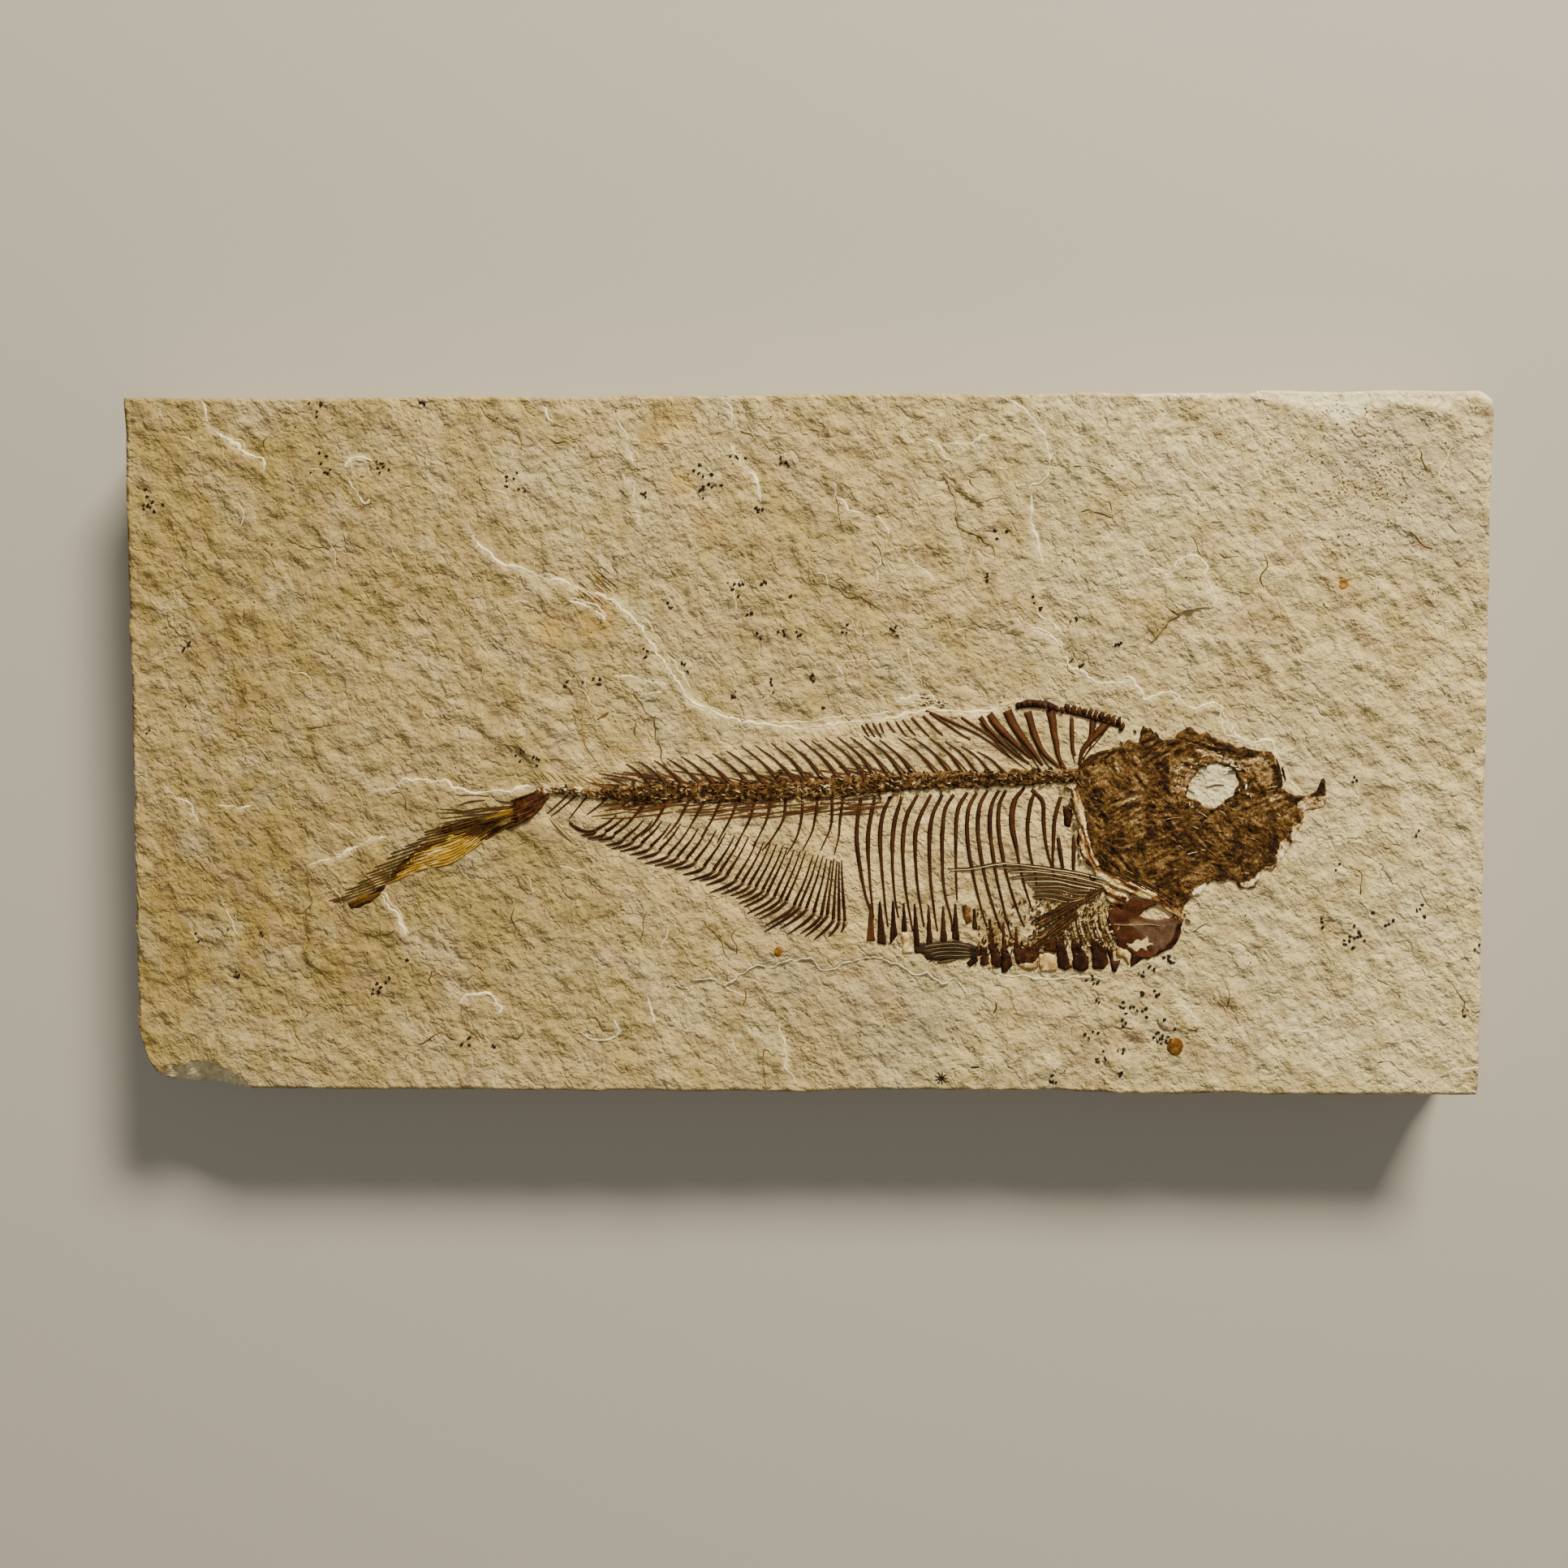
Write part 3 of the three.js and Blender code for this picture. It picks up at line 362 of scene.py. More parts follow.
def surface(x, y):
    """Height of the built face at any place, in millimetres above the plate's underside."""
    x, y = np.broadcast_arrays(np.asarray(x, float), np.asarray(y, float))
    found = np.empty(x.size)
    down = Vector((0, 0, -1))
    for i, (px, py) in enumerate(zip(x.ravel().tolist(), y.ravel().tolist())):
        hit = FACE_TREE[0].ray_cast(Vector((px, py, ABOVE_ALL)), down)[0]
        found[i] = hit.z if hit else BED
    return found.reshape(x.shape)


# Mesh building

def make_object(name, verts_mm, faces, attributes, material):
    """A smooth mesh object from vertices in millimetres, with one number per vertex for each attribute."""
    mesh = bpy.data.meshes.new(name)
    mesh.from_pydata((np.asarray(verts_mm, float) * MM).tolist(), [], faces)
    mesh.validate()
    for key, values in attributes.items():
        layer = mesh.attributes.new(key, "FLOAT", "POINT")
        layer.data.foreach_set("value", np.asarray(values, np.float32))
    mesh.polygons.foreach_set("use_smooth", np.ones(len(mesh.polygons), bool))
    mesh.update()
    piece = bpy.data.objects.new(name, mesh)
    bpy.context.scene.collection.objects.link(piece)
    mesh.materials.append(material)
    return piece


class Gathered:
    """Vertices, faces and tones of many small closed solids that become one mesh."""

    def __init__(self):
        self.verts, self.faces, self.tones, self.count = [], [], [], 0

    def add(self, verts, faces, tones):
        self.verts.append(np.asarray(verts, float))
        self.faces.extend([tuple(int(i) + self.count for i in face) for face in faces])
        self.tones.append(np.broadcast_to(np.asarray(tones, float), (len(verts),)).copy())
        self.count += len(verts)

    def build(self, name, material):
        tones = {"tone": np.concatenate(self.tones)}
        return make_object(name, np.vstack(self.verts), self.faces, tones, material)


# The section of a strand, as shares of its width and height. Its middle is paler than its edges by edge_tone.
SECTION_ACROSS = np.array([-0.5, -0.34, 0.0, 0.34, 0.5, 0.28, -0.28])
SECTION_UP = np.array([-0.12, 0.8, 1.0, 0.8, -0.12, 0.0, 0.0])
SECTION_TONE = np.array([0.0, 0.5, 1.0, 0.5, 0.0, 0.0, 0.0])
SECTION_TOP = 5  # the points from this one on are the underside


def add_strand(mesh, points, widths, height, tone, step, sway=0.05, seed=0, smooth_line=True, lift=0.0,
               edge_tone=0.08):
    """A bone like a half-round rod along a line of points. widths are spread evenly along it."""
    q = curve_through(points, step) if smooth_line else resample(points, step)
    n = len(q)
    t = np.gradient(q, axis=0)
    t /= np.hypot(*t.T)[:, None] + 1e-9
    normal = np.stack([-t[:, 1], t[:, 0]], axis=1)
    s = np.linspace(0, 1, n)
    w = np.interp(s, np.linspace(0, 1, len(widths)), widths)
    run = np.arange(n) * step
    w = w * (1 + 0.13 * noise_along(run / 2.9, seed, 501))
    q = q + normal * (sway * noise_along(run / 2.6, seed, 502))[:, None]
    h = height * (1 + 0.22 * noise_along(run / 2.8, seed, 503))
    h = h * (0.25 + 0.75 * np.minimum(1, 4 * np.minimum(s, 1 - s) + 0.1))
    base = surface(q[:, 0], q[:, 1]) + lift
    ring = len(SECTION_ACROSS)
    verts = np.empty((n, ring, 3))
    verts[:, :, 0] = q[:, :1] + normal[:, :1] * (w[:, None] * SECTION_ACROSS)
    verts[:, :, 1] = q[:, 1:] + normal[:, 1:] * (w[:, None] * SECTION_ACROSS)
    verts[:, :, 2] = base[:, None] + h[:, None] * SECTION_UP
    verts[:, SECTION_TOP:, 2] = base[:, None] - SUNK
    faces = []
    for i in range(n - 1):
        for k in range(ring):
            k2 = (k + 1) % ring
            faces.append((i * ring + k, i * ring + k2, (i + 1) * ring + k2, (i + 1) * ring + k))
    faces.append(tuple(range(ring - 1, -1, -1)))
    faces.append(tuple((n - 1) * ring + k for k in range(ring)))
    patchy = tone + 0.09 * noise_along(run / 3.2, seed, 504)
    tones = patchy[:, None] + SECTION_TONE * edge_tone
    mesh.add(verts.reshape(-1, 3), faces, tones.ravel())


def add_flake(mesh, x, y, length, width, angle, height, tone, seed, sides, lift=0.0):
    """A small flat chip of irregular outline that lies on the face."""
    local = np.random.default_rng(seed)
    turn = np.linspace(0, 2 * math.pi, sides, endpoint=False) + local.uniform(-0.25, 0.25, sides)
    reach = local.uniform(0.62, 1.1, sides)
    px, py = np.cos(turn) * reach * length / 2, np.sin(turn) * reach * width / 2
    c, s = math.cos(angle), math.sin(angle)
    ox, oy = x + px * c - py * s, y + px * s + py * c
    base = surface(ox, oy) + lift
    middle = float(surface(x, y)) + lift
    rim = np.stack([ox, oy, base - 0.03], axis=1)
    crest = base + height * local.uniform(0.6, 1.1, sides)
    shoulder = np.stack([x + (ox - x) * 0.8, y + (oy - y) * 0.8, crest], axis=1)
    under = np.stack([ox, oy, base - 0.3], axis=1)
    top = np.array([[x, y, middle + height]])
    low = np.array([[x, y, middle - 0.3]])
    verts = np.vstack([rim, shoulder, under, top, low])
    faces = []
    for k in range(sides):
        k2 = (k + 1) % sides
        faces.append((k, k2, sides + k2, sides + k))
        faces.append((sides + k, sides + k2, 3 * sides))
        faces.append((k2, k, 2 * sides + k, 2 * sides + k2))
        faces.append((2 * sides + k2, 2 * sides + k, 3 * sides + 1))
    mesh.add(verts, faces, tone)


def ragged(outline, size, seed, step=0.6):
    """An outline with a broken, uneven edge."""
    p = np.array(list(outline) + [outline[0]], float)
    q = resample(p, step)[:-1]
    t = np.roll(q, -1, axis=0) - np.roll(q, 1, axis=0)
    t /= np.hypot(*t.T)[:, None] + 1e-9
    run = np.arange(len(q)) * step
    shift = size * fbm(run / 1.5, np.full(len(q), seed + 0.5), 610, 2)
    return q + np.stack([t[:, 1], -t[:, 0]], axis=1) * shift[:, None]


RIM_HEIGHT = 0.04
RIM_SLOPE = 0.25  # how far in from its edge a plate of bone has its full height


def add_patch(mesh, outline, height_of, tone_of, cell=0.35, holes=()):
    """A plate of bone with the given outline. height_of and tone_of give its top and its colour at places."""
    p = np.array(outline, float)
    lo, hi = p.min(0) - cell, p.max(0) + cell
    nx, ny = int((hi[0] - lo[0]) / cell) + 1, int((hi[1] - lo[1]) / cell) + 1
    ci, cj = np.meshgrid(np.arange(nx), np.arange(ny), indexing="ij")
    cx, cy = lo[0] + (ci + 0.5) * cell, lo[1] + (cj + 0.5) * cell
    chosen = inside(p, cx, cy)
    for hole in holes:
        chosen &= ~inside(hole, cx, cy)
    chosen[[0, -1], :] = False
    chosen[:, [0, -1]] = False
    for _ in range(6):  # cells that would touch at one corner only are joined
        a, b, c, d = chosen[:-1, :-1], chosen[1:, :-1], chosen[:-1, 1:], chosen[1:, 1:]
        first, second = a & d & ~b & ~c, b & c & ~a & ~d
        if not (first.any() or second.any()):
            break
        b |= first
        a |= second
    if not chosen.any():
        return
    used = np.zeros((nx + 1, ny + 1), bool)
    for di in (0, 1):
        for dj in (0, 1):
            used[di:nx + di, dj:ny + dj] |= chosen
    whole = np.ones((nx + 1, ny + 1), bool)
    padded = np.zeros((nx + 2, ny + 2), bool)
    padded[1:-1, 1:-1] = chosen
    for di in (0, 1):
        for dj in (0, 1):
            whole &= padded[di:nx + 1 + di, dj:ny + 1 + dj]
    number = -np.ones((nx + 1, ny + 1), int)
    number[used] = np.arange(used.sum())
    vi, vj = np.nonzero(used)
    x, y = lo[0] + vi * cell, lo[1] + vj * cell
    rim = ~whole[vi, vj]
    border = [np.vstack([p, p[:1]])] + [np.vstack([h, h[:1]]) for h in (np.array(q, float) for q in holes)]
    rx, ry = x[rim], y[rim]
    best = np.full(rx.size, np.inf)
    sx, sy = rx.copy(), ry.copy()
    for line in border:
        who, dist, _, _, foot, _ = line_distance(line, rx, ry, 4 * cell)
        better = dist < best[who]
        best[who[better]] = dist[better]
        sx[who[better]], sy[who[better]] = foot[better, 0], foot[better, 1]
    x[rim], y[rim] = sx, sy
    depth = np.full(x.size, 9.0)
    for line in border:
        depth = np.minimum(depth, edge_distance(line[:-1], x, y))
    base = surface(x, y)
    up = np.where(rim, RIM_HEIGHT, height_of(x, y) * smooth(-0.1, RIM_SLOPE, depth))
    n = x.size
    verts = np.vstack([np.stack([x, y, base + up], axis=1), np.stack([x, y, base - SUNK], axis=1)])
    gi, gj = np.nonzero(chosen)
    a, b = number[gi, gj], number[gi + 1, gj]
    c, d = number[gi + 1, gj + 1], number[gi, gj + 1]
    faces = np.stack([a, b, c, d], axis=1).tolist()
    faces += (np.stack([d, c, b, a], axis=1) + n).tolist()
    sides = [((0, -1), a, b), ((1, 0), b, c), ((0, 1), c, d), ((-1, 0), d, a)]
    for (di, dj), start, end in sides:
        open_side = ~chosen[gi + di, gj + dj]
        s, e = start[open_side], end[open_side]
        faces += np.stack([e, s, s + n, e + n], axis=1).tolist()
    tone = tone_of(x, y)
    mesh.add(verts, faces, np.concatenate([tone, tone]))


# Materials

GRAIN_SLANT = 47  # degrees that the rock's grain falls towards the right


class Look:
    """A material that is being made, with its nodes."""

    def __init__(self, name):
        self.material = bpy.data.materials.new(name)
        self.material.use_nodes = True
        self.nodes = self.material.node_tree.nodes
        self.join = self.material.node_tree.links.new
        self.shader = self.nodes["Principled BSDF"]
        self.coords = self.node("ShaderNodeTexCoord").outputs["Object"]

    def node(self, kind, **values):
        made = self.nodes.new(kind)
        for key, value in values.items():
            if key in made.inputs:
                made.inputs[key].default_value = value
            else:
                setattr(made, key, value)
        return made

    def noise(self, size_mm, detail, rough=0.55, stretch=None):
        """Noise with features about size_mm across. stretch scales it along and across the slanting grain."""
        made = self.node("ShaderNodeTexNoise", Scale=1 / (size_mm * MM), Detail=detail, Roughness=rough)
        source = self.coords
        if stretch:
            turn = self.node("ShaderNodeMapping", Rotation=(0, 0, math.radians(GRAIN_SLANT)))
            self.join(self.coords, turn.inputs["Vector"])
            squeeze = self.node("ShaderNodeMapping", Scale=(*stretch, 1))
            self.join(turn.outputs["Vector"], squeeze.inputs["Vector"])
            source = squeeze.outputs["Vector"]
        self.join(source, made.inputs["Vector"])
        return made.outputs["Fac"]

    def ramp(self, value, stops):
        """Colours along a value, as (place, (r, g, b)) stops."""
        made = self.nodes.new("ShaderNodeValToRGB")
        band = made.color_ramp
        while len(band.elements) < len(stops):
            band.elements.new(0.5)
        for element, (place, colour) in zip(band.elements, stops):
            element.position = place
            element.color = (*colour, 1)
        self.join(value, made.inputs["Fac"])
        return made.outputs["Color"]

    def mix(self, factor, a, b, kind="MIX"):
        """Mixes two colours by a factor, which is a socket or a number."""
        made = self.node("ShaderNodeMix", data_type="RGBA", blend_type=kind, clamp_factor=True)
        if isinstance(factor, (int, float)):
            made.inputs["Factor"].default_value = factor
        else:
            self.join(factor, made.inputs["Factor"])
        for socket, value in (("A", a), ("B", b)):
            target = [s for s in made.inputs if s.name == socket and s.type == "RGBA"][0]
            if isinstance(value, tuple):
                target.default_value = (*value, 1)
            else:
                self.join(value, target)
        return [s for s in made.outputs if s.type == "RGBA"][0]

    def maths(self, kind, a, b=0.0, clamp=False):
        made = self.node("ShaderNodeMath", operation=kind, use_clamp=clamp)
        for i, value in enumerate((a, b)):
            if isinstance(value, (int, float)):
                made.inputs[i].default_value = value
            else:
                self.join(value, made.inputs[i])
        return made.outputs[0]

    def add_scaled(self, base, value, amount):
        """base with amount times value on top."""
        return self.maths("ADD", base, self.maths("MULTIPLY", value, amount))

    def attribute(self, name):
        return self.node("ShaderNodeAttribute", attribute_name=name).outputs["Fac"]

    def set_roughness(self, size_mm, smoothest, roughest):
        """A roughness that changes from place to place."""
        rough = self.node("ShaderNodeMapRange")
        for key, value in (("From Min", 0.3), ("From Max", 0.7), ("To Min", smoothest), ("To Max", roughest)):
            rough.inputs[key].default_value = value
        self.join(self.noise(size_mm, 3), rough.inputs["Value"])
        self.join(rough.outputs["Result"], self.shader.inputs["Roughness"])

    def set_bump(self, height, strength, distance_mm):
        bump = self.node("ShaderNodeBump", Strength=strength, Distance=distance_mm * MM)
        self.join(height, bump.inputs["Height"])
        self.join(bump.outputs["Normal"], self.shader.inputs["Normal"])


def rgb(hex_colour):
    """A hex colour as the linear colour that a shader takes."""
    parts = [int(hex_colour[i:i + 2], 16) / 255 for i in (0, 2, 4)]
    return tuple(p / 12.92 if p <= 0.04045 else ((p + 0.055) / 1.055) ** 2.4 for p in parts)


# The rock's broad patches of colour: size in mm, noise where they start and are full, strength, colour
ROCK_PATCHES = [(34, 0.42, 0.6, 0.5, "b9a26e"), (9, 0.5, 0.62, 0.4, "97813f"),
                (6.5, 0.5, 0.62, 0.36, "a98c68"), (11, 0.52, 0.64, 0.22, "cfc29c")]
# What the plate's marks are coloured: mark, colour. The pale mark is fresh broken rock, with painted light
# along ledge walls that face the light; the dark mark is painted shade in the ripples' hollows and painted
# shadow along ledges that face away from it.
ROCK_MARKS = [("ochre", "a9802f"), ("body", "dcc184"), ("grey", "a3967a"), ("fresh_and_lit", "eadfb6"),
              ("dark", "6b5530"), ("brown", "6b4a18")]
# The rock's bumps: size and height in mm, stretch along the grain, detail
ROCK_RELIEF = [(4.2, 1.7, (0.94, 1.03), 2), (1.6, 0.62, None, 3), (0.5, 0.22, None, 3)]
ROCK_FOLDS = [(9, 1.5), (4.5, 0.8)]  # size and depth in mm


def limestone_material():
    """Golden cream rock with fine slanting grain, broken up by olive, pinkish and grey patches."""
    look = Look("limestone")
    # Darker and yellower towards the left of the plate.
    colour = look.mix(look.attribute("darker_left"), rgb("d2c08e"), rgb("937d45"))
    for size_mm, low, high, amount, tint in ROCK_PATCHES:
        cover = look.ramp(look.noise(size_mm, 4, 0.6, (0.75, 1.0)), [(low, (0, 0, 0)), (high, (1, 1, 1))])
        colour = look.mix(look.maths("MULTIPLY", cover, amount), colour, rgb(tint))
    streaks = look.ramp(look.noise(2.9, 6, 0.66, (0.92, 1.05)),
                        [(0.34, (0.66, 0.61, 0.5)), (0.5, (1, 1, 1)), (0.66, (1.26, 1.25, 1.14))])
    colour = look.mix(0.72, colour, streaks, "MULTIPLY")
    grain = look.ramp(look.noise(0.45, 4, 0.7, (0.85, 1.1)),
                      [(0.36, (0.82, 0.8, 0.76)), (0.5, (1, 1, 1)), (0.64, (1.16, 1.16, 1.15))])
    colour = look.mix(0.6, colour, grain, "MULTIPLY")
    for mark, tint in ROCK_MARKS:
        colour = look.mix(look.attribute(mark), colour, rgb(tint))
    look.join(colour, look.shader.inputs["Base Color"])
    look.set_roughness(2.2, 0.82, 0.98)
    look.shader.inputs["Specular IOR Level"].default_value = 0.2
    relief = 0.0
    for size_mm, height_mm, stretch, detail in ROCK_RELIEF:
        relief = look.add_scaled(relief, look.noise(size_mm, detail, 0.5, stretch), height_mm)
    for size_mm, depth_mm in ROCK_FOLDS:  # thin wrinkles where the noise crosses its middle
        crossing = look.maths("SUBTRACT", look.noise(size_mm, 4, 0.6, (0.8, 1.1)), 0.5)
        fold = look.maths("MINIMUM", look.maths("ABSOLUTE", crossing), 0.045)
        relief = look.add_scaled(relief, fold, depth_mm * 2.2)
    look.set_bump(relief, 1.0, 1.0)
    return look.material


# Colours of bone from the darkest tone to the palest
OLIVE_STOPS = [(0.0, "0e0400"), (0.18, "2a1500"), (0.34, "452a08"), (0.5, "63451a"), (0.64, "84663a"),
               (0.78, "ac9060"), (0.9, "dac48e"), (1.0, "f4e8c4")]
RUSSET_STOPS = [(0.0, "100300"), (0.18, "2b1200"), (0.34, "482608"), (0.5, "643c14"), (0.64, "856034"),
                (0.78, "b4904e"), (0.9, "dcc482"), (1.0, "f2e4be")]
AMBER_STOPS = [(0.0, "100400"), (0.2, "2e1600"), (0.36, "4c3008"), (0.5, "6c4e14"), (0.62, "8c681a"),
               (0.74, "a88020"), (0.86, "c6a44c"), (1.0, "ecdfba")]
HEAD_STOPS = [(0.0, "100500"), (0.16, "2c1600"), (0.3, "462c08"), (0.44, "604318"), (0.58, "7c5e32"),
              (0.72, "a48658"), (0.86, "d6c08e"), (1.0, "f4e8c8")]
PLATE_STOPS = [(0.0, "120400"), (0.2, "301200"), (0.36, "4e280a"), (0.46, "503620"), (0.58, "644c36"),
               (0.72, "947850"), (0.86, "d4c082"), (1.0, "f2e4b8")]


BLACK_STOPS = [(0.0, "0e0500"), (0.3, "342511"), (0.5, "5f4a2c"), (0.7, "8c7850"), (1.0, "cbbb96")]
SPECK_STOPS = [(0.0, "17130e"), (0.3, "3a2710"), (0.5, "7a5014"), (0.7, "b08638"), (0.85, "d8c489"),
               (1.0, "e9dcb4")]
# Colours of the ledge rims and rock crumbs: the pale end is fresh broken rock with painted light, the dark
# end painted shadow.
EDGE_STOPS = [(0.0, "3a280f"), (0.25, "6f5628"), (0.5, "ab9056"), (0.75, "d6be84"), (1.0, "f4e2b0")]

CREASES = [(1.5, 1.0), (0.9, 0.8), (1.1, -0.7)]  # size in mm, and how light or dark they are


def bone_material(name, stops, mottle, grain_mm=0.7, roughness=0.58, bump_mm=0.2, shards=0.0, crackle=0.0):
    """Mineralised bone: the tone attribute goes from near black to cream, with fine mottling, crushed shards
    and thin light and dark creases."""
    look = Look(name)
    fine = look.noise(grain_mm, 5, 0.7)
    spread = look.maths("MULTIPLY", look.maths("SUBTRACT", fine, 0.5), mottle * 4)
    broad = look.maths("SUBTRACT", look.noise(4.5, 3), 0.5)
    tone = look.maths("ADD", look.attribute("tone"), spread)
    tone = look.add_scaled(tone, broad, mottle * 1.6)
    height = look.noise(0.6, 5, 0.7)
    if shards:
        bend = look.node("ShaderNodeTexNoise", Scale=1 / (1.3 * MM), Detail=2.0)
        look.join(look.coords, bend.inputs["Vector"])
        offset = look.node("ShaderNodeVectorMath", operation="MULTIPLY_ADD")
        look.join(bend.outputs["Color"], offset.inputs[0])
        offset.inputs[1].default_value = (1.1 * MM, 1.1 * MM, 0)
        look.join(look.coords, offset.inputs[2])
        squeeze = look.node("ShaderNodeMapping", Rotation=(0, 0, math.radians(35)), Scale=(1.7, 0.75, 1))
        look.join(offset.outputs["Vector"], squeeze.inputs["Vector"])
        cells = look.node("ShaderNodeTexVoronoi", voronoi_dimensions="2D", Scale=1 / (0.8 * MM))
        look.join(squeeze.outputs["Vector"], cells.inputs["Vector"])
        split = look.node("ShaderNodeSeparateColor")
        look.join(cells.outputs["Color"], split.inputs["Color"])
        lean = look.maths("SUBTRACT", look.maths("POWER", split.outputs[0], 2.2), 0.3)
        tone = look.add_scaled(tone, lean, shards)
        height = look.add_scaled(height, split.outputs[1], 0.8)
    if crackle:
        for size_mm, share in CREASES:
            crossing = look.maths("SUBTRACT", look.noise(size_mm, 3, 0.6), 0.5)
            away = look.maths("MULTIPLY", look.maths("ABSOLUTE", crossing), 26)
            crease = look.maths("SUBTRACT", 1.0, away, clamp=True)
            tone = look.add_scaled(tone, crease, crackle * share)
    tone = look.maths("ADD", tone, clamp=True)
    colour = look.ramp(tone, [(place, rgb(colour)) for place, colour in stops])
    look.join(colour, look.shader.inputs["Base Color"])
    look.set_roughness(1.6, roughness - 0.1, roughness + 0.14)
    look.shader.inputs["Specular IOR Level"].default_value = 0.14
    look.set_bump(height, 0.9, bump_mm)
    return look.material


# The plate

ROWS = 199
COLUMNS = 386
SIDE_ROWS = 11
CORNER_DROP = [(-150.0, -62.0), (-149.3, -66.0), (-148.0, -70.0), (-145.5, -74.0), (-143.0, -75.5),
               (-138.0, -76.2), (-131.0, -76.3), (-128.0, -77.3)]


def plate_edges(x, y):
    """The plate's four edges: left and right at each y, lower and upper at each x."""
    left = -149.75 + 0.25 * noise_along(y / 7, 0, 61)
    right = 149.7 - 0.25 * noise_along(y / 9, 0, 62) - 0.35 * smooth(-30, 20, y) * smooth(75, 60, y)
    upper = np.where(x > 98, 77.4, 76.9) + 0.25 * noise_along(x / 9, 0, 63)
    lower = -77.2 + 0.25 * noise_along(x / 8, 0, 64) + 0.6 * smooth(0, 22, x) * smooth(80, 46, x)
    corner = np.interp(x, [p[0] for p in CORNER_DROP], [p[1] for p in CORNER_DROP])
    lower = np.where(x < -128, corner, lower)
    bevel = np.interp(x, [147, 150], [77.5, 75])
    upper = np.minimum(upper, bevel)
    return left, right, np.clip(lower, -HALF_WIDTH, None), np.clip(upper, None, HALF_WIDTH)


def paint_spots(x, y, spots, soft=0.5):
    """How much of each place the round spots (x, y, radius) cover."""
    cover = np.zeros(x.size)
    for sx, sy, radius in spots:
        near = np.hypot(x - sx, y - sy) + radius * 0.35 * noise(x / radius, y / radius, 71)
        cover = np.maximum(cover, smooth(radius * (1 + soft), radius * (1 - soft), near))
    return cover


OCHRE_SPOTS = [(-29, 71, 4.5), (-33, 68, 2.5), (-27, 58, 3), (118, 35.5, 1.3), (99, 24.5, 1), (-55, 26, 3),
               (20, -58, 4), (-46, 28, 5), (-20, 48, 4), (82.5, -66.5, 1.6), (-12.5, -46.6, 1.4),
               (-5.5, -45.8, 1.3)]
GREY_SPOTS = [(-136, -22, 3.4), (-120, -11, 2.6), (131, 58, 15), (140, 50, 10), (120, 62, 8), (-6, -40, 4),
              (20, -62, 12), (-2, -52, 7), (80, -64, 2)]

# Where the rock between the bones is stained brown: outline, how strongly, size of the mottling
BROWN_AREAS = [
    ([(44, -33), (70, -30), (72, -44), (66, -49), (46, -49), (40, -44)], 0.8, 1.4),
    ([(-80, -17), (-93, -22.4), (-101, -28.6), (-108, -34.4), (-102, -36), (-93, -31),
      (-84, -26)], 0.14, 1.6),
    ([(24, -18), (58, -20), (56, -34), (36, -46), (20, -44)], 0.42, 2.2),
    ([(-45, -12.6), (10, -11.6), (10, -16), (-45, -16.5)], 0.4, 1.8),
    ([(-44, -8.4), (12, -6.6), (12, -3.6), (-44, -4.6)], 0.4, 1.8),
    ([(20, -5), (50, -5), (58, 6), (40, 6), (24, 5)], 0.45, 1.6),
    ([(-14, -32), (9, -40), (4, -47), (-10, -42)], 0.3, 1.6),
    ([(56, -6), (62, -6), (62, -22), (56, -22)], 0.5, 1.5),
]


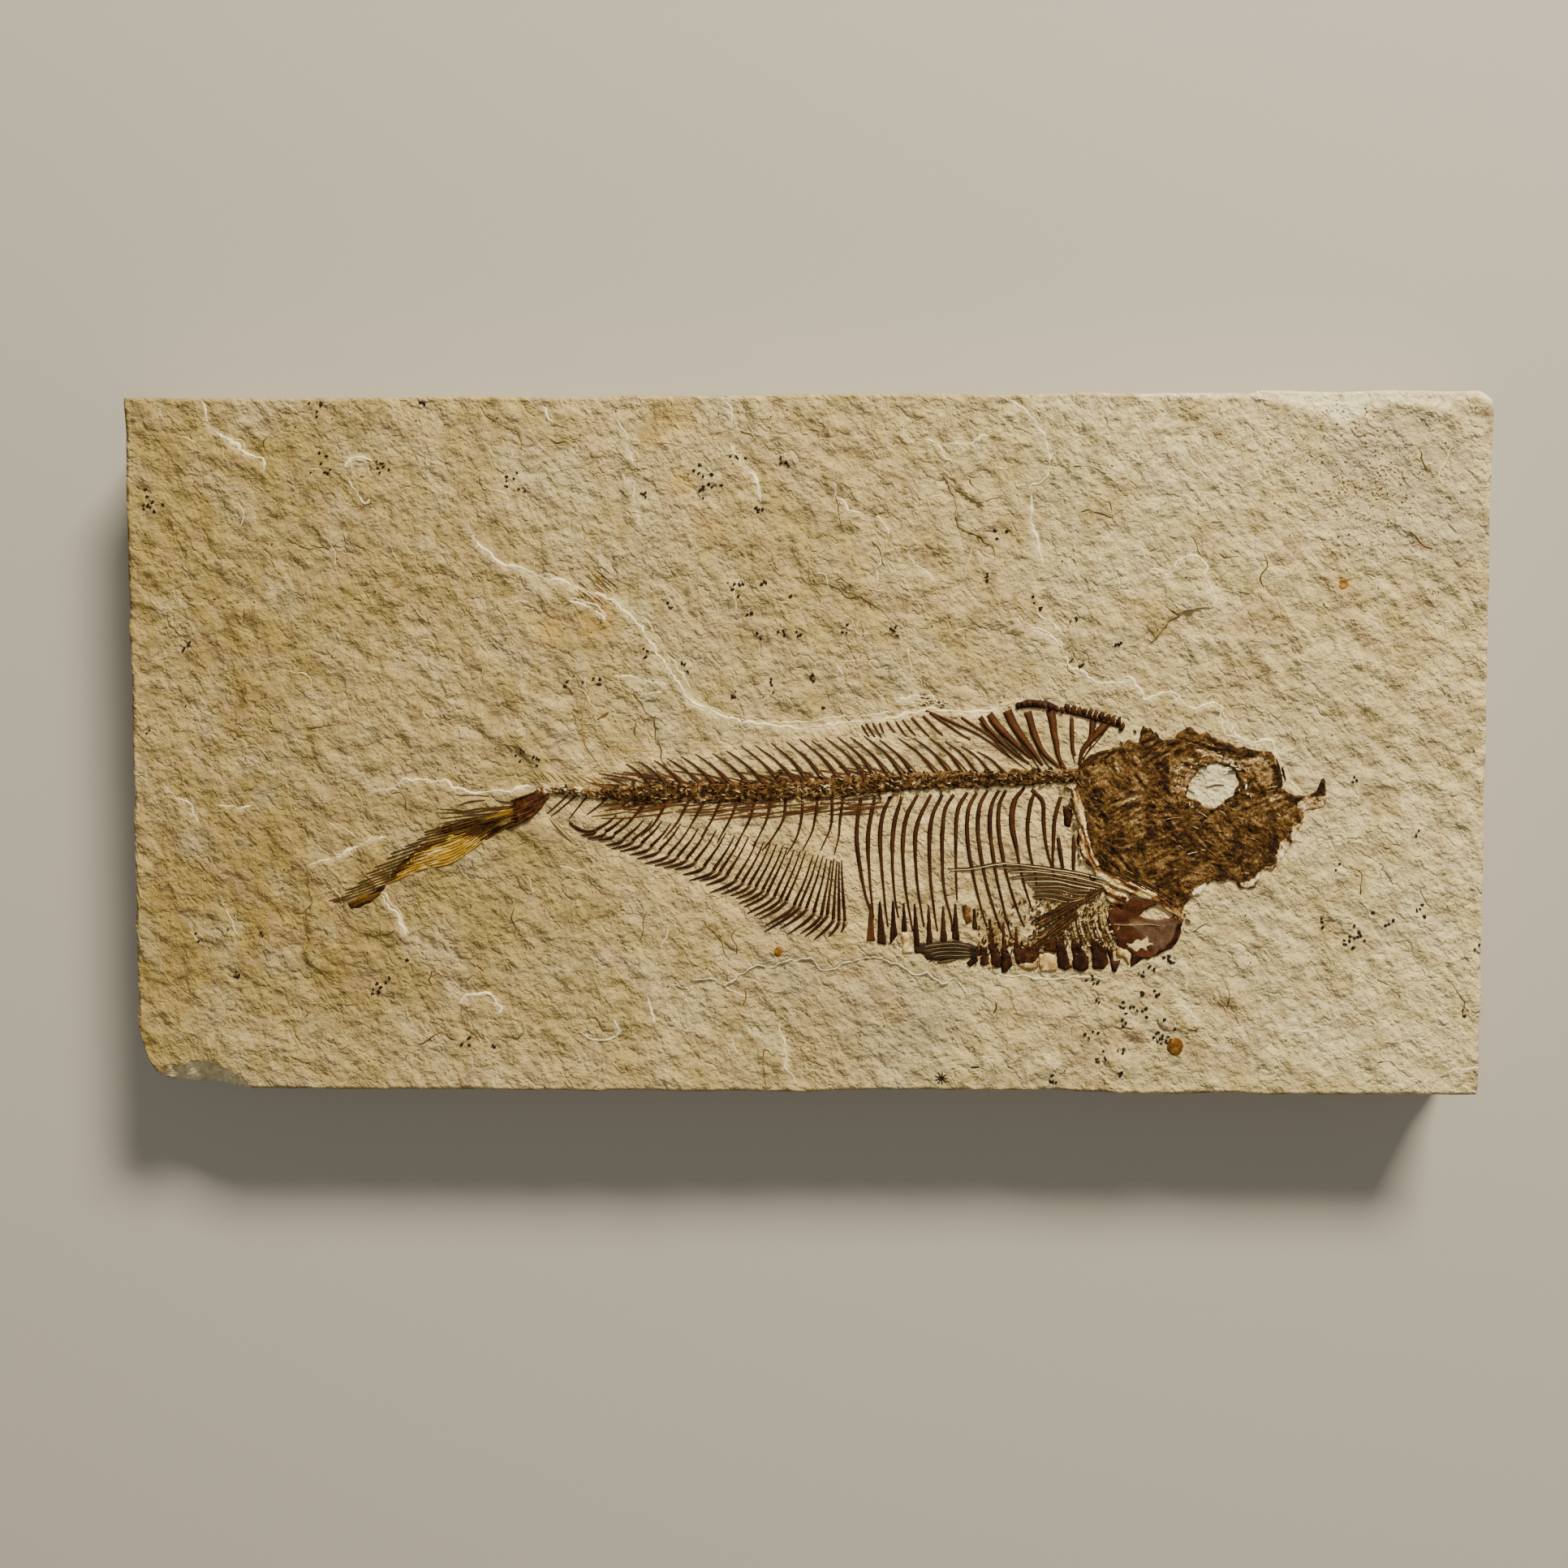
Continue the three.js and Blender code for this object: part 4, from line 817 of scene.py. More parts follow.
def plate_marks(x, y):
    """What is only colour on the plate: darker and yellower towards the left, fresh broken rock, stains,
    painted shade in the hollows, and along the ledges painted light on walls that face the light and painted
    shadow on walls that face away.
    """
    marks = {}
    # Darker and yellower towards the left.
    marks["darker_left"] = np.clip(0.5 - x / 270 + 0.2 * fbm(x / 40, y / 40, 81, 2), 0, 1)
    fresh_and_lit = np.zeros(x.size)
    dark = np.zeros(x.size)
    for line, (*_, edge_light) in zip(LEDGE_LINES, LEDGES):
        reach = 0.45 + abs(edge_light) * 0.65
        who, dist, _, along, _, total = line_distance(line, x, y, reach)
        ends = smooth(0, 1.5, along) * smooth(0, 1.5, total - along)
        uneven = 0.35 + 0.6 * noise_along(along / 2.2, 0, 82)
        band = smooth(reach, 0.1, dist) * ends * np.clip(uneven, 0, 1)
        # Ledges whose wall faces the light get a pale band, fresh broken rock with painted light; the others
        # get a dark band of painted shadow.
        if edge_light > 0:
            fresh_and_lit[who] = np.maximum(fresh_and_lit[who], band * 0.62)
        else:
            dark[who] = np.maximum(dark[who], band * 0.25)
    # Chipped edges of the plate and the eye socket are paler fresh rock only.
    for line, (_, low, *_) in zip(CHIP_LINES, CHIPS):
        who, _, side, *_ = line_distance(line, x, y, CHIP_REACH)
        fresh_and_lit[who] = np.maximum(fresh_and_lit[who], np.where(side == low, 0.5 + 0.3 * noise(x[who], y[who], 83), 0))
    socket = depth_in(EYE_SOCKET, x, y)
    fresh_and_lit = np.maximum(fresh_and_lit, 0.5 * smooth(-0.6, 0.8, socket))
    marks["fresh_and_lit"] = np.clip(fresh_and_lit, 0, 0.95)
    # The dark mark also paints shade into the hollows of the ripples.
    marks["dark"] = np.clip(dark + 0.2 * smooth(0.3, 1.1, -ripples(x, y) / 0.3), 0, 0.8)
    marks["ochre"] = 0.4 * paint_spots(x, y, OCHRE_SPOTS, 0.7)
    marks["grey"] = 0.42 * paint_spots(x, y, GREY_SPOTS, 0.8)
    body = smooth(-2.5, 1.5, depth_in(FISH_BODY, x, y))
    marks["body"] = np.clip(body * (0.4 + 0.3 * fbm(x / 4, y / 4, 85, 2)), 0, 0.7)
    brown = np.zeros(x.size)
    for outline, amount, size in BROWN_AREAS:
        depth = depth_in(outline, x, y)
        mottling = smooth(-0.35, 0.5, fbm(x / size, y / size, 86, 3))
        brown = np.maximum(brown, amount * smooth(-1.6, 1.6, depth) * mottling)
    marks["brown"] = np.clip(brown, 0, 0.85)
    return marks


SNAP_REACH = 0.34
SNAP_GAP = 0.07


def snap_to_ledges(x, y):
    """Moves the places that lie close to a ledge up to it, so that its drop is steep and follows its line."""
    x, y = x.copy(), y.copy()
    for line in LEDGE_LINES + CHIP_LINES:
        who, dist, _, along, foot, total = line_distance(line, x, y, SNAP_REACH)
        inner = (along > 0.5) & (along < total - 0.5) & (dist > 1e-6)
        who, dist, foot = who[inner], dist[inner], foot[inner]
        away = np.stack([x[who], y[who]], axis=1) - foot
        away = away / dist[:, None] * SNAP_GAP
        x[who], y[who] = foot[:, 0] + away[:, 0], foot[:, 1] + away[:, 1]
    return x, y


def limestone_plate(material):
    """The slab: a grid over the face, then rings of split stone down its sides, and the flat back."""
    u, v = np.meshgrid(np.linspace(-1, 1, COLUMNS), np.linspace(-1, 1, ROWS), indexing="ij")
    x, y = HALF_LENGTH * u, HALF_WIDTH * v
    left, right, lower, upper = plate_edges(x, y)
    y = lower + (v + 1) / 2 * (upper - lower)
    x = left + (u + 1) / 2 * (right - left)
    shape = x.shape
    rim = np.zeros(shape, bool)
    rim[[0, -1], :] = True
    rim[:, [0, -1]] = True
    flat = ~rim.ravel()
    x, y = x.ravel(), y.ravel()
    x[flat], y[flat] = snap_to_ledges(x[flat], y[flat])
    z = BED + face_height(x, y)
    marks = plate_marks(x, y)
    index = np.arange(x.size).reshape(shape)
    a, b, c, d = (part.ravel() for part in (index[:-1, :-1], index[1:, :-1], index[1:, 1:], index[:-1, 1:]))
    faces = np.vstack([np.stack([a, b, c], axis=1), np.stack([a, c, d], axis=1)]).tolist()
    top_faces = len(faces)
    ring = np.concatenate([index[:-1, 0], index[-1, :-1], index[:0:-1, -1], index[0, :0:-1]])
    rx, ry, rz = x[ring], y[ring], z[ring]
    run = np.concatenate([[0], np.cumsum(np.hypot(np.diff(rx), np.diff(ry)))])
    outward = np.stack([np.roll(ry, -1) - np.roll(ry, 1), np.roll(rx, 1) - np.roll(rx, -1)], axis=1)
    outward /= np.hypot(*outward.T)[:, None] + 1e-9
    verts = [np.stack([x, y, z], axis=1)]
    side_marks = {key: [values] for key, values in marks.items()}
    count = x.size
    previous = ring
    for row in range(1, SIDE_ROWS + 1):
        t = row / SIDE_ROWS
        up = rz * (1 - t)
        bedding = fbm(up / 1.9, np.full(up.shape, 0.5), 91, 3)
        broken = fbm(run / 5, up / 3.2, 92, 3)
        chip = smooth(0.35, 0.8, fbm(run / 11, up / 5, 93, 2))
        inset = 0.45 + 0.42 * bedding + 0.5 * broken + 1.1 * chip
        inset = np.clip(inset, 0.03, 2.4) * smooth(0, 0.12, t)
        if row == SIDE_ROWS:
            up = up * 0
            inset = inset + 0.25
        verts.append(np.stack([rx - outward[:, 0] * inset, ry - outward[:, 1] * inset, up], axis=1))
        # On the sides the pale mark is only fresh chipped rock and the dark mark only darker bedding layers.
        shown = {"darker_left": marks["darker_left"][ring], "body": 0.0, "ochre": 0.0, "brown": 0.0,
                 "dark": 0.25 * smooth(0.2, 0.8, -bedding),
                 "fresh_and_lit": np.clip(0.25 + 0.3 * bedding + 0.4 * chip, 0, 0.8),
                 "grey": np.clip(0.3 + 0.5 * noise_along(up / 1.3, 0, 94), 0, 0.7)}
        for key, values in side_marks.items():
            values.append(np.broadcast_to(shown[key], rx.shape))
        current = count + np.arange(ring.size)
        nxt = np.roll(current, -1)
        faces += np.stack([previous, current, nxt, np.roll(previous, -1)], axis=1).tolist()
        previous = current
        count += ring.size
    faces.append(previous.tolist()[::-1])
    values = {key: np.concatenate(parts) for key, parts in side_marks.items()}
    plate = make_object("limestone_plate", np.vstack(verts), faces, values, material)
    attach(plate, "root")
    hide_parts("limestone_slab")
    FACE_TREE.append(BVHTree.FromPolygons(np.vstack(verts).tolist(), faces[:top_faces]))


WRINKLE_RNG = np.random.default_rng(7)
WRINKLES = 170  # faint short ones all over the face
# More strands of the ledge over the back, where it is broken into several thin sheets. They are pale fresh
# broken rock with painted light.
MAIN_STRANDS = [
    ([(-36, 29.5), (-33.5, 26), (-31, 22), (-28.5, 18.5), (-26.5, 15.5), (-24.5, 12.5)], LEFT, 0.45, 0.86),
    ([(-33.5, 24), (-31, 20.8), (-29, 17.5), (-27.5, 15)], LEFT, 0.5, 0.6),
    ([(-24, 11), (-20.5, 8.6), (-17, 7.2), (-12, 6.2), (-8, 5.6)], LEFT, 0.3, 0.8),
    ([(-8, 5.6), (-2, 5.2), (3, 5.6), (7, 6.4), (12, 6.8), (16, 6.9), (20, 7.6)], LEFT, 0.4, 0.86),
    ([(22, 9.2), (26, 10.2), (29, 10), (32, 8.9)], RIGHT, 0.3, 0.84),
    ([(47, 31.5), (49.5, 28.5), (53, 26.8), (56.5, 25.5), (58, 22.5)], LEFT, 0.3, 0.84),
    ([(59, 20), (61.5, 17.4), (64, 16), (67, 15.4)], LEFT, 0.3, 0.8),
    ([(84, 13), (88, 11), (91, 11.6), (94, 8.5), (96, 4)], LEFT, 0.25, 0.8),
]
RIM_STEP = 0.35
RIM_POINTS = 5  # around the section of a sliver


def add_rim(rims, line, low, width, tone, seed, inset=0.0):
    """One sliver along a ledge, from its upper edge down to its foot. A pale tone makes it fresh broken rock
    with painted light, a dark tone a painted shadow.
    """
    q = resample(line, RIM_STEP, jitter=0.2, seed=seed)
    n = len(q)
    t = np.gradient(q, axis=0)
    t /= np.hypot(*t.T)[:, None] + 1e-9
    to_low = np.stack([-t[:, 1], t[:, 0]], axis=1) * low
    q = q + to_low * inset
    run, s, row = np.arange(n) * RIM_STEP, np.linspace(0, 1, n), np.full(n, seed + 0.5)
    uneven = 0.72 + 0.95 * noise(run / 3.3, row, 701) + 0.5 * noise(run / 0.8, row, 702)
    wide = width * np.clip(uneven, 0.0, 1.9) * smooth(0, 0.08, s) * smooth(1, 0.92, s) + 0.02
    foot = q + to_low * wide[:, None]
    top = surface(*(q - to_low * 0.12).T) + 0.03
    bottom = surface(*(foot + to_low * 0.12).T)
    verts = np.empty((n, RIM_POINTS, 3))
    section = [(q - to_low * 0.1, top - 0.06), (q, top),
               (q + to_low * (wide * 0.5)[:, None], np.maximum(top, bottom) + 0.03),
               (foot, bottom + 0.01), (q, np.minimum(top, bottom) - 0.5)]
    for k, (place, height) in enumerate(section):
        verts[:, k, :2] = place
        verts[:, k, 2] = height
    faces = []
    for a in range(n - 1):
        for k in range(RIM_POINTS):
            k2 = (k + 1) % RIM_POINTS
            here, ahead = a * RIM_POINTS, (a + 1) * RIM_POINTS
            faces.append((here + k, ahead + k, ahead + k2, here + k2))
    faces.append(tuple(range(RIM_POINTS)))
    faces.append(tuple((n - 1) * RIM_POINTS + k for k in reversed(range(RIM_POINTS))))
    if low == RIGHT:
        faces = [face[::-1] for face in faces]
    shade = tone + 0.14 * noise(run / 1.4, row, 703)
    rims.add(verts.reshape(-1, 3), faces, np.repeat(np.clip(shade, 0, 1), RIM_POINTS))


def ledge_rims_lit_and_shaded(material):
    """The rims of the ledges as thin slivers along them: pale ones of fresh broken rock with painted light
    where the wall faces the light, dark ones of painted shadow where it faces away.
    """
    rims = Gathered()
    for i, (line, (_, low, _, _, edge_light)) in enumerate(zip(LEDGE_LINES, LEDGES)):
        # A ledge whose wall faces away from the light gets a dark sliver: painted shadow.
        if edge_light < 0:
            add_rim(rims, line, low, -edge_light * 0.5, 0.26, i)
            continue
        # The others get a pale sliver: fresh broken rock with painted light.
        add_rim(rims, line, low, 0.16 + edge_light * 0.62, 0.95, i)
        if edge_light > 0.8:
            add_rim(rims, line, low, edge_light * 0.3, 0.9, 100 + i, edge_light * 0.75)
    for i, (line, low, width, tone) in enumerate(MAIN_STRANDS):
        add_rim(rims, resample(line, 0.6, 0.16, 300 + i), low, width, tone, 300 + i)
    for i in range(WRINKLES):
        x, y = WRINKLE_RNG.uniform(-146, 146), WRINKLE_RNG.uniform(-74, 74)
        if holds(FISH_BODY, x, y):
            continue
        angle, length = WRINKLE_RNG.normal(-0.8, 0.6), WRINKLE_RNG.uniform(3, 9)
        ahead = np.array([math.cos(angle), math.sin(angle)])
        aside = np.array([-ahead[1], ahead[0]])
        bends = WRINKLE_RNG.normal(0, 0.1, 4) * length
        line = [np.array([x, y]) + ahead * length * k / 3 + aside * bends[k] for k in range(4)]
        lit = WRINKLE_RNG.random() < 0.55
        far_x, far_y = np.abs(line).max(axis=0)
        if far_x > HALF_LENGTH - 2 or far_y > HALF_WIDTH - 3:
            continue
        # Pale slivers on wrinkles whose wall faces the light are fresh rock with painted light; dark ones on
        # the others are painted shadow.
        low, width, tone = (LEFT, 0.26, 0.78) if lit else (RIGHT, 0.24, 0.16)
        add_rim(rims, curve_through(line, 0.8), low, width, tone, 500 + i)
    piece = rims.build("limestone_ledge_rims_lit_and_shaded", material)
    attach(piece, "root")


# Bones along the back

COLUMN = [(-58, -9.9, 0.55), (-57, -9.8, 0.7), (-52, -9.6, 0.9), (-48, -10.3, 0.9), (-44, -10.4, 1.3),
          (-40, -10.3, 1.6), (-35, -10.2, 1.8), (-10, -10, 2), (0, -9.5, 2), (10, -8.8, 2), (20, -7.9, 1.9),
          (30, -7.4, 1.9), (40, -7.1, 1.8), (50, -6.7, 1.7), (58, -6.5, 1.5), (62, -6.5, 1.2)]
VERTEBRA = 3.4


def column_at(x):
    px, py, half = zip(*COLUMN)
    return np.interp(x, px, py), np.interp(x, px, half)


UPPER_SPINES = [(-39.2, -3.8, -33), (-36.5, -3.2, -29.5), (-33, -3, -26), (-30, -2.6, -22),
                (-27, -2.1, -19), (-23.8, -1.6, -15.5), (-20, -1.4, -11.5), (-17, -0.8, -8),
                (-13.7, 0.2, -4.5), (-10.5, 0.3, -1), (-7, 0.9, 1.5), (-3.6, 1.2, 5), (-0.7, 1.8, 8.5),
                (2, 1.4, 11.5), (5, 2, 14.5), (7.6, 2.3, 16.5), (10.5, 2.2, 19.5), (13.5, 2.5, 22.5),
                (17, 1.5, 25), (21, 2, 30), (24.5, 2, 33), (28, 2, 36), (31.5, 1.2, 39), (35, 0.2, 42),
                (38.5, -1, 45)]
FIN_SUPPORTS = [[(13, 4.8), (14.7, 2.2)], [(14, 5.2), (16, 2.2)], [(15.5, 5.3), (17.5, 2)],
                [(17, 5.3), (18, 3)], [(18.5, 5.6), (20.5, 3.2)], [(20.5, 5.7), (23, 2.3)],
                [(22, 6), (25, 2.5)], [(24, 6.5), (28, 2.3)], [(26.5, 6.8), (31, 2.5)],
                [(28, 7.5), (37, 1.5)], [(27, 8), (33, 5.5), (40, 2), (46, -2.5)],
                [(35, 6.5), (42, 2), (50, -3.5)]]
LOWER_SPINES = [[(9, -11), (8.3, -16), (8, -20), (7, -24)],
                [(6.5, -11), (6.5, -15.5), (5.8, -19), (4, -23)],
                [(3.3, -11.5), (2.8, -15.5), (2, -19), (0, -23)],
                [(0, -12), (-0.3, -16), (-1.3, -20), (-3.5, -24)],
                [(-3.7, -11.5), (-4.3, -16), (-6.5, -20), (-9, -23)],
                [(-7, -11.5), (-7.8, -15.5), (-9.5, -19.5), (-11, -22)],
                [(-10.5, -11.5), (-11.5, -15.5), (-13.5, -19.5), (-15, -22)],
                [(-14.3, -11.5), (-15.8, -15.5), (-18, -19.5), (-19, -21.5)],
                [(-18, -11.5), (-20, -16), (-22.5, -20)], [(-21.5, -11.5), (-24, -16), (-26, -19.5)],
                [(-25, -11.5), (-28, -17), (-31, -20.5)], [(-30, -12), (-33, -17), (-36, -20)],
                [(-34, -11.5), (-38, -16), (-41, -19)], [(-37.5, -11), (-41, -14)],
                [(-43.5, -11.5), (-48, -15.2)], [(-48, -11), (-52, -16)], [(-50, -10.5), (-56, -15.5)],
                [(-52, -10.5), (-57, -15)]]

# Fine bones between the spines, leaning ones above the column and nearly level ones below it: how many, which
# side of the column, furthest right, then the ranges of distance, length and slope, bow, palest tone and seed
HAIRS = [(70, 1, 14, (1.8, 5.0), (5, 10), (-0.42, -0.12), 0.2, 0.45, 300),
         (75, -1, 10, (2.0, 6.0), (6, 11), (0.02, 0.2), -0.15, 0.5, 400)]


def column_tone(x, y):
    """Crumbled vertebrae: dark joints, ochre and cream drums, paler towards the tail."""
    middle, half = column_at(x)
    beat = np.cos((x - COLUMN[0][0]) / VERTEBRA * 2 * math.pi + 0.6 * noise(x / 3, y / 2, 1301))
    tone = 0.5 + 0.16 * fbm(x / 1.6, y / 1.1, 1302, 3) - 0.18 * smooth(0.4, 1, beat)
    tone = tone + 0.12 * smooth(0.35, 0.05, np.abs(y - middle) / half) * smooth(0.2, -0.8, beat)
    return np.clip(tone + 0.3 * smooth(-43, -48, x), 0.05, 0.95)


def column_height(x, y):
    middle, half = column_at(x)
    beat = np.cos((x - COLUMN[0][0]) / VERTEBRA * 2 * math.pi)
    joints = beat * smooth(1.1, 0.6, np.abs(y - middle) / half)
    return 0.42 + 0.16 * joints + 0.16 * fbm(x / 0.9, y / 0.8, 1303, 2)


COLUMN_CRUMBS = 620


def backbone(material, spine_material):
    bones = Gathered()
    px, py, half = (np.array(part) for part in zip(*COLUMN))
    outline = list(zip(px, py + half)) + list(zip(px[::-1], (py - half)[::-1]))
    add_patch(bones, ragged(outline, 0.45, 60, 0.5), column_height, column_tone, 0.3)
    x, i = COLUMN[0][0], 0
    while x < COLUMN[-1][0]:
        y, half = column_at(x + VERTEBRA / 2)
        pale = 0.3 if x < -45 else 0.0
        for side in (1, -1):  # the thick rims that meet at each joint, and the pinched sides between them
            lean = float(noise(x, side + 0.5, 1304)) * 0.4
            add_strand(bones, [(x + lean, y + side * half * 1.15), (x + 0.1, y + side * half * 0.5), (x, y)],
                       [0.45, 0.6, 0.4], 0.6, 0.2 + pale, 0.4, 0.2, 30 + i)
            add_strand(bones, [(x + 0.3, y + side * half * 0.95), (x + VERTEBRA / 2, y + side * half * 0.4),
                               (x + VERTEBRA - 0.3, y + side * half * 0.95)], [0.5, 0.3, 0.5], 0.55,
                       0.36 + pale, 0.4, 0.15, 50 + i)
        x += VERTEBRA
        i += 1
    for i in range(COLUMN_CRUMBS):  # crumbs of bone along the column
        x = RNG.uniform(-56, 61)
        y, half = column_at(x)
        y = y + RNG.normal(0, half * 0.62)
        tone = RNG.choice([0.14, 0.24, 0.38, 0.54, 0.68, 0.84], p=[0.16, 0.2, 0.22, 0.2, 0.15, 0.07])
        add_flake(bones, x, y, RNG.uniform(0.7, 2.2), RNG.uniform(0.25, 0.55), RNG.normal(-0.15, 0.6),
                  0.3 * smooth(half * 1.5, 0, abs(float(y - column_at(x)[0]))) + 0.25, float(tone),
                  2000 + i, 6, 0.25)
    piece = bones.build("backbone_drums", material)
    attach(piece, "root")
    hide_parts("backbone")
    bones = Gathered()
    for i, (tx, ty, fx) in enumerate(UPPER_SPINES):
        fy = column_at(fx)[0] + 0.8
        bend = (fx + (tx - fx) * 0.4, fy + (ty - fy) * 0.52)
        add_strand(bones, [(tx, ty), ((tx + bend[0]) / 2, (ty + bend[1]) / 2 + 0.25), bend, (fx, fy)],
                   [0.22, 0.4, 0.55, 0.7], 0.3, 0.14, 0.6, seed=100 + i, edge_tone=0.16)
        if i < 22:  # a thinner one beside most of them
            add_strand(bones, [(tx + 3.2, ty - 2.2), ((tx + fx) / 2 + 1.7, (ty + fy) / 2 - 0.2),
                               (fx + 1.2, fy)],
                       [0.15, 0.3, 0.4], 0.16, 0.4, 0.7, seed=140 + i)
    for i, line in enumerate(FIN_SUPPORTS):
        add_strand(bones, line, [0.75, 0.6, 0.35] if i > 6 else [0.55, 0.3], 0.28, 0.26, 0.6, seed=170 + i)
    for i, line in enumerate(LOWER_SPINES):
        widths = [0.85, 0.7, 0.5, 0.3] if i < 13 else [0.5, 0.42, 0.34, 0.25]
        add_strand(bones, line, widths, 0.3, 0.2, 0.6, seed=200 + i)
    for count, side, right, aways, lengths, slopes, bow, palest, seed in HAIRS:
        for i in range(count):
            x = RNG.uniform(-48, right)
            y = column_at(x)[0] + side * RNG.uniform(*aways)
            length, slope = RNG.uniform(*lengths), RNG.uniform(*slopes)
            middle = (x + length / 2, y + slope * length / 2 + bow)
            add_strand(bones, [(x, y), middle, (x + length, y + slope * length)], [0.15, 0.28, 0.15], 0.16,
                       RNG.uniform(0.2, palest), 0.8, seed=seed + i, lift=0.04)
    piece = bones.build("backbone_spines", spine_material)
    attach(piece, "root")


RIBS = [
    [(13, -11), (12.2, -16), (12, -20), (12.5, -25), (14, -33), (15.5, -37.5), (15.2, -42.5)],
    [(16, -11), (15.2, -15), (14.5, -20), (14.7, -26), (15.3, -33), (15.8, -38)],
    [(19.5, -11), (17.8, -15), (17.2, -20), (17.5, -26), (18, -31), (18.5, -36), (19, -40)],
    [(22, -11), (20.5, -16), (20, -20), (20, -27), (20.5, -33), (21.3, -38)],
    [(25.5, -10.5), (23.2, -15), (22.3, -20), (22.4, -26), (23, -32), (24, -38), (24.5, -41)],
    [(28.5, -10.5), (26, -15.5), (25, -20), (25.2, -27), (26, -34), (27, -40)],
    [(31, -10.5), (29, -14.5), (28.2, -19), (28.2, -25), (28.7, -32), (29.5, -38), (30, -41)],
    [(33.5, -10.5), (31.5, -14), (31, -19), (31, -25), (31.5, -32), (33, -38), (33.2, -41)],
    [(36.5, -10), (34.5, -13.5), (34, -18), (34, -25), (34.3, -34)],
    [(38.5, -10), (36.8, -13.5), (36.4, -18), (37, -24), (38.5, -31), (40, -37), (41, -40)],
    [(41, -9.5), (39.2, -13), (38.8, -18), (39.5, -24), (41, -31), (43.5, -39), (45, -42)],
    [(43.5, -9.5), (41.8, -13), (41.5, -18), (42.2, -24), (43.5, -31), (45.5, -39), (46.5, -42.5)],
    [(45, -9.5), (43.5, -13), (43.4, -18), (44.5, -25), (46, -31), (48, -37), (49.3, -40)],
    [(49, -9), (46.8, -12), (46.3, -17), (47.3, -22), (49, -30), (51, -36.5)],
    [(51.5, -9.5), (50.3, -13), (49.8, -18), (50.3, -23), (51.5, -28), (52, -31)],
    [(50.5, -9.5), (53, -12), (53.3, -17), (54, -22), (55.3, -27), (56, -30)],
    [(57, -11), (55.7, -16), (55.5, -21), (55.5, -26), (56.5, -30)],
    [(56.5, -20), (57.5, -26), (58.5, -31)],
    [(60, -20), (60, -27), (60.7, -31)],
]


def ribs(material):
    bones = Gathered()
    for i, line in enumerate(RIBS):
        top = 1.5 if i == 13 else 1.05
        add_strand(bones, line, [0.8, top, top, 0.85, 0.62, 0.52, 0.42], 0.32, 0.1, 0.6, 0.04, 600 + i,
                   edge_tone=0.2)
    add_patch(bones, ragged([(57.5, -13), (59.5, -13.2), (59.3, -18), (57.8, -17.6)], 0.15, 5),
              level(0.35), noisy(0.2, 0.1, 1, 1, 5))
    piece = bones.build("rib_bones", material)
    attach(piece, "root")
    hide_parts(*[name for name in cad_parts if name.startswith("rib_")])


NAPE_BONES = [
    ([(39, 6.5), (44, 1), (50, -3.8)], [1.3, 0.8, 0.5]),
    ([(41, 7.2), (45, 2.5), (50.5, -2.5)], [2.0, 1.4, 0.7]),
    ([(45, 8), (47, 4), (50, 0), (53, -4)], [2.5, 1.9, 1.4, 0.7]),
    ([(49.5, 7.8), (51, 3), (53, -1), (57, -5)], [2.1, 1.6, 1.2, 0.8]),
    ([(54.5, 8.3), (55.5, 3), (56.5, -2), (58, -5)], [2.3, 1.7, 1.2, 0.8]),
    ([(59.3, 6.5), (59.5, 0), (60, -2)], [1.0, 1.1, 0.8]),
    ([(64, 5.8), (63.5, 2), (61.5, -1)], [1.8, 1.2, 0.9]),
    ([(68, 6.5), (65, 3), (62, -0.5), (61, -4)], [2.2, 1.8, 1.3, 0.8]),
]


def nape(material):
    bones = Gathered()
    for i, (line, widths) in enumerate(NAPE_BONES):
        add_strand(bones, line, widths, 0.42, 0.12, 0.45, 0.12, 700 + i, edge_tone=0.28)
        offset = [(x + 0.1 * k, y - 1.2 - 0.3 * k) for k, (x, y) in enumerate(line)]
        add_strand(bones, offset, [0.35, 0.3, 0.2], 0.24, 0.16, 0.5, seed=720 + i)
    piece = bones.build("nape_bones", material)
    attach(piece, "root")
    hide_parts(*[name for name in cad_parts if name.startswith("nape_bone_")])


KEEL_PLATES = [(47.4, 9.6), (48.6, 9.9), (49.8, 10.1), (51, 10.05), (52.2, 9.85), (53.4, 9.6), (54.6, 9.35),
               (56, 8.8), (57.2, 8.6), (58.2, 8.9), (59.5, 8.6), (60.8, 8.3), (62, 8.05), (63.2, 7.75),
               (64.4, 7.45), (65.7, 7.1), (67, 6.75), (68.3, 6.35), (69.5, 5.95), (70.3, 4.9)]


def keel(material):
    plates = Gathered()
    for i, (x, y) in enumerate(KEEL_PLATES):
        tall = 2.0 if i < 9 else 2.7
        add_flake(plates, x, y - 0.5, tall, 1.5, math.radians(100 - 2 * i), 0.5, 0.14 + 0.1 * (i % 3),
                  900 + i, 9, 0.08)
    add_strand(plates, [(47, 8.9), (50, 9.5), (53.5, 9.3),
                        (56, 8.5)], [1.2, 1.9, 1.8, 1.2], 0.5, 0.12, 0.5, 0.15, 930)
    add_strand(plates, [(58, 7.7), (62, 6.9), (66, 5.8), (70, 4.5)], [0.9, 1.1, 0.8], 0.4, 0.2, 0.5, seed=931)
    piece = plates.build("back_keel_plates", material)
    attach(piece, "root")
    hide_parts("back_keel")


# Belly

